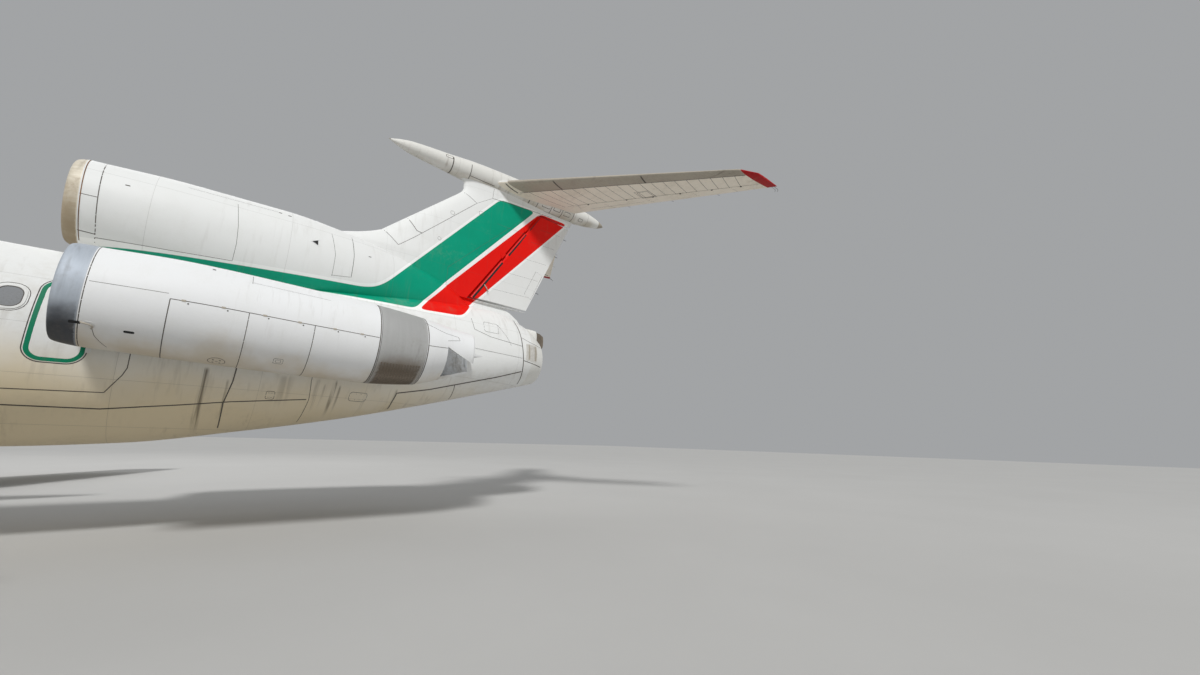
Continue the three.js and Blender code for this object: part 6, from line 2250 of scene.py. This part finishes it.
# Belly fairing under the wing and the gear pods behind it
belly = {
    "rows": [
        (14.3, 2.0, 2.9, 2.45, 0.9), (15.6, 1.48, 3.06, 2.42, 1.8), (17.4, 1.4, 3.18, 2.42, 2.12),
        (25.4, 1.4, 3.18, 2.42, 2.12), (27.4, 1.48, 3.06, 2.42, 1.85), (29.2, 2.0, 2.9, 2.45, 0.9),
    ],
    "seams": [17.4, 19.6, 21.8, 24.0, 26.2],
    "runs": (-0.25, -0.9, -math.pi / 2 - 0.12, -math.pi / 2 + 0.12, -math.pi + 0.9, -math.pi + 0.25),
}
bellySpot, _ = hullSkin(belly["rows"])
gearPod = {
    "offset": 5.75,
    "rows": [
        (21.9, 1.99, 2.11, 2.05, 0.06), (22.6, 1.64, 2.42, 2.03, 0.42), (23.8, 1.4, 2.6, 2.01, 0.66),
        (25.6, 1.37, 2.74, 2.05, 0.72), (27.5, 1.56, 2.76, 2.15, 0.66), (29.3, 1.86, 2.64, 2.24, 0.42),
        (30.6, 2.15, 2.43, 2.29, 0.14), (31.0, 2.27, 2.33, 2.3, 0.03),
    ],
    "well": (0.21, 0.38, 2.0),
    "seams": [22.9, 23.6, 26.9, 28.4, 29.9],
    "doors": (23.7, 26.8, 0.34),
    "doorSection": ((0.0, 1.42), (0.016, 1.42), (0.075, 1.2), (0.13, 1.1), (0.118, 1.096), (0.06, 1.2)),
}
gearPodSpot, _ = hullSkin(gearPod["rows"], 0.8, gearPod["offset"])
mainGear = {"x": 5.75, "station": 24.9, "pitch": 0.98, "axle": 0.465}
noseGear = {"station": 5.98, "axle": 0.4, "joint": 1.18, "top": 2.25}


def buildBelly():
    shape, seams = newShape(), newShape()
    loftInto(shape, hullRings(bellySpot, 14.3, 29.2, 0.2, 96))
    fitShape("bellyFairing", shape, "fairingPaint", "cream_paint", ["wing_fairing"], craft["round"])
    for station in belly["seams"]:
        stripInto(seams, [(station, turn) for turn in spread(-math.pi, 0, 0.05)], bellySpot, 0.014, 0.0012)
    for turn in belly["runs"]:
        stripInto(seams, [(16.2, turn), (27.6, turn)], bellySpot, 0.01, 0.0012, step=0.2)
    for side in (1, -1):
        # Ram-air scoop and outlet grille of the cooling unit, one a side; the slots and the scoop's mouth are dark
        # plates, painted shade
        base = -math.pi / 2 + side * 0.42
        for k in range(5):
            slot = squareOutline(18.55, base + side * 0.035 * k, 0.35, 0.007)
            plateInto(seams, slot, bellySpot, 0.006, 0.008, 1, 1)
        scoop = [(16.7, base - 0.05), (17.2, base - 0.07), (17.2, base + 0.09), (16.7, base + 0.07)]
        plateInto(seams, scoop, bellySpot, 0.01, 0.012, 2, 1)
    fitShape("bellySeams", seams, "seamFiller slotDark", "brushed_metal")


def buildGearPods():
    pod = newShape()
    loftInto(pod, hullRings(gearPodSpot, 21.9, 31.0, 0.12, 64))
    piece = linked("gearPod", meshOf("gearPod", pod, "fairingPaint legPaint"))
    halfWidth, halfLength, top = gearPod["well"]
    low = (gearPod["offset"] - halfWidth, mainGear["station"] - halfLength, 1.0)
    high = (gearPod["offset"] + halfWidth, mainGear["station"] + halfLength, top)
    combine(piece, boxShape(low, high))
    markInside(piece, low, high, 1)
    fitPair("gearPod", piece, "cream_paint", "gear_pod", craft["round"])

    seams, middle = newShape(), -math.pi / 2
    for station in gearPod["seams"]:
        stripInto(seams, [(station, turn) for turn in spread(-math.pi, math.pi, 0.09)], gearPodSpot, 0.012, 0.0012)
    start, end, _ = gearPod["doors"]
    for ends in ((start, mainGear["station"] - 0.4), (mainGear["station"] + 0.4, end)):
        stripInto(seams, [(station, middle) for station in ends], gearPodSpot, 0.016, step=0.1)
    for side in (-1, 1):
        turn = middle + side * 0.85
        stripInto(seams, [(start, turn), (end, turn)], gearPodSpot, 0.014, step=0.1)
        for station in spread(start + 0.3, end - 0.2, 0.55):
            ends = ((-0.07, 0.83), (0.07, 0.83), (0.07, 0.88), (-0.07, 0.88))
            hinge = [(station + along, middle + side * around) for along, around in ends]
            plateInto(seams, hinge, gearPodSpot, 0.006, 0.01, 1, 1)
    for station in (start, end):
        stripInto(seams, [(station, middle + turn) for turn in spread(-0.85, 0.85, 0.06)], gearPodSpot, 0.014)
    for side in (-1, 1):
        # The small doors that stay open beside the leg
        x, rings = gearPod["offset"] + side * 0.215, []
        for station in spread(mainGear["station"] - 0.36, mainGear["station"] + 0.36, 0.12):
            rings.append([at(x + side * out, station, height) for out, height in gearPod["doorSection"]])
        loftInto(seams, rings, 2)
    fitShapes("gearPodSeams", seams, "seamFiller gridMetal fairingPaint", "brushed_metal")


buildBelly()
buildGearPods()
print("belly fairing and gear pods built")

# Wheels: a grooved tyre on a hub with bolts and lightening holes; radii and reaches from the wheel's middle
wheels = {
    "sides": 56,
    "main": {
        "radius": 0.465, "width": 0.305, "hub": 0.235, "offset": 0.31, "axle": 0.055,
        "grooves": (-0.066, -0.022, 0.022, 0.066),
    },
    "nose": {
        "radius": 0.4, "width": 0.225, "hub": 0.21, "offset": 0.25, "axle": 0.045, "grooves": (-0.035, 0.0, 0.035),
    },
    # Side of the tyre by share of the wall and of the half width
    "wall": (
        (0.0, 0.62), (0.06, 0.8), (0.22, 0.95), (0.42, 1.0), (0.62, 0.985), (0.7, 0.975), (0.72, 0.99), (0.76, 0.975),
        (0.86, 0.9), (0.94, 0.8), (0.98, 0.7), (1.0, 0.6),
    ),
    "disc": (
        (0.02, -0.6), (0.8, -0.6), (0.86, -0.52), (0.97, -0.56), (1.05, -0.74), (1.09, -0.76), (1.09, -0.66),
        (1.0, -0.55),
        (1.0, 0.55), (1.09, 0.66), (1.09, 0.76), (1.05, 0.74), (0.96, 0.56), (0.88, 0.4), (0.62, 0.24), (0.54, 0.28),
        (0.47, 0.5), (0.36, 0.56), (0.31, 0.56), (0.3, 0.78), (0.26, 0.82), (0.02, 0.84),
    ),
    "drum": ((0.55, -1.05), (0.72, -1.05), (0.76, -1.0), (0.76, -0.6), (0.55, -0.6), (0.55, -1.05)),
    # Holes and bolts: how many, first turn, how far out and along, reach, radius, sides, finish; the holes are dark
    # plugs, painted shade
    "studs": ((9, 0.0, 0.75, 0.3, 0.055, 0.085, 16, 2), (8, 0.5, 0.41, 0.53, 0.1, 0.045, 6, 3)),
}


def wheelPairShape(spec):
    shape, radius, hub, half = newShape(), spec["radius"], spec["hub"], spec["width"] / 2
    side = [(hub + share * (radius - hub), reach) for share, reach in wheels["wall"]]
    profile = [(r, -reach * half) for r, reach in side]
    for groove in spec["grooves"]:
        profile += [(radius, groove - 0.008), (radius - 0.011, groove - 0.006)]
        profile += [(radius - 0.011, groove + 0.006), (radius, groove + 0.008)]
    profile += [(r, reach * half) for r, reach in reversed(side)]
    disc, drum = [[(share * hub, reach * half) for share, reach in wheels[key]] for key in ("disc", "drum")]
    for out in (1, -1):
        axis = sideways * out
        centre = axis * spec["offset"] * scale
        turnInto(shape, [*profile, profile[0]], centre, axis, wheels["sides"])
        turnInto(shape, disc, centre, axis, wheels["sides"], 1)
        for count, first, away, along, reach, size, sides, mark in wheels["studs"]:
            for turn in turnsOf(count, first):
                spoke = Vector((0, math.cos(turn), math.sin(turn))) * away * hub * scale
                middle = centre + spoke + axis * along * half * scale
                rodInto(shape, middle, middle + axis * reach * half * scale, size * hub * scale, sides=sides, mark=mark)
        valve = centre + aftward * 0.88 * hub * scale + axis * 0.4 * half * scale
        rodInto(shape, valve, valve + axis * 0.03 * scale, 0.008 * scale, sides=10, mark=3)
        # Brake drum on the inward face
        turnInto(shape, drum, centre, axis, 40, 2)
    reach = sideways * (spec["offset"] + half * 0.84) * scale
    rodInto(shape, -reach, reach, spec["axle"] * scale, sides=28, mark=3, ease=0.004)
    return shape


def fitWheels(name, shape, offset, body, node):
    moved = {**shape, "points": [point + offset for point in shape["points"]]}
    fitShape(name, moved, "tyreRubber hubPaint slotDark gridMetal", "tyre_rubber", [node], 30, body)


def buildWheels():
    pair = wheelPairShape(wheels["main"])
    for step, place in ((-1, "front"), (0, "middle"), (1, "rear")):
        for side, name in ((1, "left"), (-1, "right")):
            spot = at(side * mainGear["x"], mainGear["station"] + step * mainGear["pitch"], mainGear["axle"])
            title = "mainWheels" + place.capitalize() + name.capitalize()
            fitWheels(title, pair, spot, f"wheel_pair_{name}_{place}", f"main_wheels_{name}_{place}")
    spot = at(0, noseGear["station"], noseGear["axle"])
    fitWheels("noseWheels", wheelPairShape(wheels["nose"]), spot, "nose_wheel_pair", "nose_wheels")


# A stepped leg: (radius, height, mark) going up
def legInto(shape, x, station, steps):
    for (radius, low, mark), (_, high, _) in zip(steps, steps[1:]):
        barInto(shape, (x, station, low), (x, station, high), radius, sides=40, mark=mark, ease=0.003)


# A pair of scissor links, each two tapering arms with a crossbar
def linksInto(shape, x, top, knee, foot, wide, thick=0.022):
    for start, end in ((top, knee), (foot, knee)):
        for side in (-1, 1):
            near, far = (x + side * wide, *start), (x + side * wide * 0.35, *end)
            barInto(shape, near, far, thick, thick * 0.7, 12, ease=0.002)
        for share in (0.35, 0.7):
            middle = [a + (b - a) * share for a, b in zip(start, end)]
            crossInto(shape, (x, *middle), wide * (1 - share * 0.65), thick * 0.6, 10)
    for place, reach in ((top, wide), (knee, wide * 0.5), (foot, wide)):
        crossInto(shape, (x, *place), reach + 0.02, 0.03, 16, 2, 0.002)


def hoseInto(shape, points, radius=0.008):
    path = smoothLine([tuple(at(*point)) for point in points], 5)
    tubeInto(shape, [Vector(point) for point in path], radius, 8, 3)


# An eight-sided section with cut corners
def cutSection(x, station, height, wide, high, cutX, cutZ):
    corners = ((-1, -cutZ), (-cutX, -1), (cutX, -1), (1, -cutZ), (1, cutZ), (cutX, 1), (-cutX, 1), (-1, cutZ))
    return [at(x + a * wide, station, height + b * high) for a, b in corners]


# Hoses by distance out, aft and height
mainHoses = (
    (0.008, (
        (0.11, 0.1, 1.38), (0.15, 0.14, 1.1), (0.16, 0.22, 0.8), (0.1, 0.3, 0.6), (0.09, 0.7, 0.575), (0.1, 0.9, 0.56),
    )),
    (0.007, ((0.1, -0.1, 1.38), (0.15, -0.16, 1.05), (0.14, -0.3, 0.7), (0.1, -0.5, 0.575), (0.1, -0.9, 0.56))),
)
noseHose = ((0.08, 0.08, 2.1), (0.12, 0.12, 1.8), (0.1, 0.13, 1.5), (0.13, 0.1, 1.33))
taxiLamp = {
    "cup": [(0.02, 0.0), (0.06, 0.02), (0.085, 0.06), (0.09, 0.1), (0.084, 0.1)],
    "glass": [(0.083, 0.096), (0.07, 0.106), (0.03, 0.112), (0.002, 0.113)],
}


def buildMainGear():
    x, y, z, pitch = mainGear["x"], mainGear["station"], mainGear["axle"], mainGear["pitch"]
    shape = newShape()
    # The bogie beam: a deep box that narrows between the axles, with a boss round each axle
    for start in (-1, 0):
        rings = []
        for share in (0.0, 0.12, 0.22, 0.5, 0.78, 0.88, 1.0):
            waist = 1 - 0.22 * math.sin(math.pi * share)
            rings.append(cutSection(x, y + (start + share) * pitch, z, 0.082, 0.098 * waist, 0.75, 0.7))
        loftInto(shape, rings)
    for step in (-1, 0, 1):
        station = y + step * pitch
        crossInto(shape, (x, station, z), 0.13, 0.125, 36, ease=0.006)
        for side in (-1, 1):
            barInto(shape, (x + side * 0.13, station, z), (x + side * 0.165, station, z), 0.085, sides=28, mark=2)
            # Brake lever and its rod along the beam
            lever = x + side * 0.12
            barInto(shape, (lever, station, z - 0.1), (lever, station + 0.02, z - 0.22), 0.02)
            if step < 1:
                ends = (lever, station + 0.02, z - 0.21), (lever, station + pitch, z - 0.19)
                barInto(shape, *ends, 0.014, sides=12, mark=1)
    for end in (-1, 1):
        low, high = sorted((y + end * (pitch + 0.06), y + end * (pitch + 0.18)))
        blockInto(shape, (x - 0.03, low, z - 0.05), (x + 0.03, high, z + 0.05), 0.008)
    legInto(shape, x, y, [
        (0.115, z + 0.02, 0), (0.14, z + 0.15, 0), (0.11, z + 0.2, 1), (0.085, z + 0.24, 1), (0.142, 1.04, 0),
        (0.13, 1.12, 0), (0.14, 1.34, 0), (0.125, 1.42, 0), (0.13, 1.995, 0),
    ])
    crossInto(shape, (x, y, z + 0.12), 0.17, 0.06, 24, 2, 0.004)
    linksInto(shape, x, (y - 0.13, 1.1), (y - 0.36, 0.84), (y - 0.11, 0.62), 0.085)
    # Folding brace ahead, pitch damper behind
    barInto(shape, (x, y - 0.05, 1.2), (x, y - 0.5, 1.36), 0.055, 0.05, 20, ease=0.004)
    for side in (-1, 1):
        barInto(shape, (x + side * 0.09, y + 0.02, 1.26), (x + side * 0.05, y - 0.37, 1.62), 0.028, sides=16)
    barInto(shape, (x, y + 0.12, 1.13), (x, y + 0.5, 0.82), 0.05, 0.05, 24, ease=0.004)
    barInto(shape, (x, y + 0.48, 0.84), (x, y + 0.83, 0.55), 0.028, mark=1)
    for station, height in ((y + 0.1, 1.15), (y + 0.84, 0.54), (y - 0.5, 1.36)):
        crossInto(shape, (x, station, height), 0.06, 0.045, 20, 2, 0.003)
    blockInto(shape, (x - 0.035, y + 0.74, z + 0.05), (x + 0.035, y + 0.9, z + 0.12), 0.006)
    for side in (-1, 1):
        for radius, hose in mainHoses:
            hoseInto(shape, [(x + side * out, y + back, height) for out, back, height in hose], radius)
        for height in (1.16, 1.3):
            barInto(shape, (x + side * 0.1, y + 0.09, height), (x + side * 0.135, y + 0.13, height), 0.016, sides=12)
    for height in (1.18, 1.3, 1.5, 1.7):
        band = [(0.134, 0), (0.146, 0.008), (0.146, 0.028), (0.134, 0.036)]
        turnInto(shape, band, at(x, y, height), upward, 36)
    fitShapes("mainGear", shape, "legPaint chrome gridMetal slotDark", "gear_paint", "main_gear", 35)


def buildNoseGear():
    y, z, joint, top = noseGear["station"], noseGear["axle"], noseGear["joint"], noseGear["top"]
    leg = newShape()
    legInto(leg, 0, y, [
        (0.125, joint + 0.002, 0), (0.105, joint + 0.1, 0), (0.115, 1.34, 0), (0.105, 1.42, 0), (0.118, 1.72, 0),
        (0.11, 1.8, 0), (0.11, top - 0.1, 0),
    ])
    crossInto(leg, (0, y, top - 0.12), 0.3, 0.075, 28, ease=0.005)
    blockInto(leg, (-0.19, y - 0.12, top - 0.2), (0.19, y + 0.12, top - 0.005), 0.01)
    for side in (-1, 1):
        # Drag braces, steering jacks and the taxi lamps
        barInto(leg, (side * 0.06, y - 0.08, 1.45), (side * 0.2, y - 0.5, top - 0.06), 0.036, ease=0.003)
        barInto(leg, (side * 0.15, y - 0.1, 1.3), (side * 0.15, y + 0.14, 1.3), 0.045, ease=0.004)
        barInto(leg, (side * 0.15, y - 0.16, 1.3), (side * 0.15, y - 0.1, 1.3), 0.02, sides=16, mark=1)
        barInto(leg, (side * 0.03, y, 1.3), (side * 0.15, y, 1.3), 0.03, sides=12)
        lamp = at(side * 0.2, y - 0.16, 1.5)
        turnInto(leg, taxiLamp["cup"], lamp, -aftward, 28)
        turnInto(leg, taxiLamp["glass"], lamp, -aftward, 28, 4)
        barInto(leg, (side * 0.08, y - 0.02, 1.5), (side * 0.2, y - 0.17, 1.5), 0.018, sides=12)
        hoseInto(leg, [(side * out, y + back, height) for out, back, height in noseHose])
    for height in (1.5, 1.62, 1.95):
        turnInto(leg, [(0.108, 0), (0.122, 0.006), (0.122, 0.03), (0.108, 0.036)], at(0, y, height), upward, 32)
    names = "legPaint chrome gridMetal slotDark"
    fitShape("noseLeg", leg, names + " clearLens", "gear_paint", ["nose_leg"], 35)

    strut = newShape()
    legInto(strut, 0, y, [
        (0.09, z + 0.02, 0), (0.1, z + 0.11, 0), (0.08, z + 0.16, 1), (0.074, z + 0.2, 1), (0.128, joint - 0.16, 0),
        (0.118, joint - 0.1, 0), (0.128, joint - 0.05, 0), (0.128, joint - 0.002, 0),
    ])
    crossInto(strut, (0, y, z), 0.1, 0.095, 32, ease=0.005)
    rings = []
    for share, high, wide in ((0.0, 0.08, 0.075), (0.35, 0.062, 0.05), (0.75, 0.05, 0.045), (1.0, 0.055, 0.055)):
        rings.append(cutSection(0, y - 0.06 - share * 0.36, z, wide, high, 0.6, 0.6))
    loftInto(strut, rings)
    crossInto(strut, (0, y - 0.4, z), 0.075, 0.03, 20, 2, 0.003)
    linksInto(strut, 0, (y + 0.11, joint - 0.12), (y + 0.33, 0.85), (y + 0.1, z + 0.08), 0.075, 0.02)
    fitShape("noseStrut", strut, names, "gear_paint", ["nose_steering_strut"], 35, "nose_strut")

    doors, low = newShape(), 1.69
    for side in (1, -1):
        for start, end, drop in ((5.12, 5.58, 0.3), (5.62, 6.34, 0.34)):
            section = (
                (0.31, low), (0.328, low), (0.36, low - drop * 0.5), (0.43, low - drop), (0.418, low - drop - 0.004),
                (0.344, low - drop * 0.5),
            )
            stations = spread(start, end, 0.12)
            loftInto(doors, [[at(side * x, station, height) for x, height in section] for station in stations])
            middle = (start + end) / 2
            for station in (start + 0.08, middle, end - 0.08):
                barInto(doors, (side * 0.28, station, 1.78), (side * 0.325, station, 1.62), 0.014, sides=10, mark=2)
            barInto(doors, (side * 0.08, middle, 1.95), (side * 0.34, middle, 1.58), 0.012, sides=12, mark=1)
    fitShape("noseDoors", doors, "doorPaint chrome gridMetal", "cream_paint", angle=35)


buildWheels()
buildMainGear()
buildNoseGear()
print("landing gear built")

# The plain engine blocks in the ducts stay as they are and get the near-black finish here, painted shade deep in the
# ducts
for name in ("centre_engine", "engine_left", "engine_right"):
    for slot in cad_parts[name].material_slots:
        slot.material = finishes["sootMetal"]

# Floor, lights and sky
stageLook = {
    "floor": ((0.44, 0.435, 0.42), (0.5, 0.495, 0.48)),
    "half": 90,
    "sky": (0.86, 0.88, 0.9, 1),
    "skyStrength": 0.42,
    "sun": {"from": (15.0, -10.0, 17.0), "strength": 2.55, "angle": 0.16},
    "lamps": {
        "fill": ((16.0, 14.0, 1.6), (1, 7, 2.5), 6.0, 220.0),
        "back": ((-14.0, 4.0, 14.0), (0, 4, 2), 12.0, 600.0),
    },
}


def aimed(lamp, place, toward):
    turn = toward.to_track_quat("-Z", "Y").to_matrix().to_4x4()
    lamp.matrix_world = Matrix.Translation(place) @ turn


def buildStage():
    shape, half = newShape(), stageLook["half"]
    corners = [Vector((x, y, 0)) for x, y in ((-half, -half), (half, -half), (half, half), (-half, half))]
    addFaces(shape, corners, [(0, 1, 2, 3)], [0])
    tree, sockets, place = startMaterial("studioFloor")
    mottle = cloud(tree, place, 0.35, 6.0, 0.6)
    feed(tree, sockets["Base Color"], blend(tree, mottle, *stageLook["floor"]))
    feed(tree, sockets["Roughness"], sums(tree, "MULTIPLY_ADD", mottle, 0.1, 0.8))
    floor = linked("studioFloor", meshOf("studioFloor", shape, "studioFloor"))
    for name, (place, target, size, power) in stageLook["lamps"].items():
        data = bpy.data.lights.new(name, "AREA")
        data.size, data.energy = size, power
        aimed(linked(name, data), place, Vector(target) - Vector(place))
    sun = stageLook["sun"]
    data = bpy.data.lights.new("key", "SUN")
    data.energy, data.angle = sun["strength"], sun["angle"]
    aimed(linked("key", data), (0, 0, 0), -Vector(sun["from"]))
    world = bpy.data.worlds.new("paleSky")
    world.use_nodes = True
    sky = world.node_tree.nodes["Background"]
    sky.inputs["Color"].default_value = stageLook["sky"]
    sky.inputs["Strength"].default_value = stageLook["skyStrength"]
    bpy.context.scene.world = world
    bpy.context.scene.view_settings.view_transform = "Standard"


buildStage()
print("floor and lights placed")
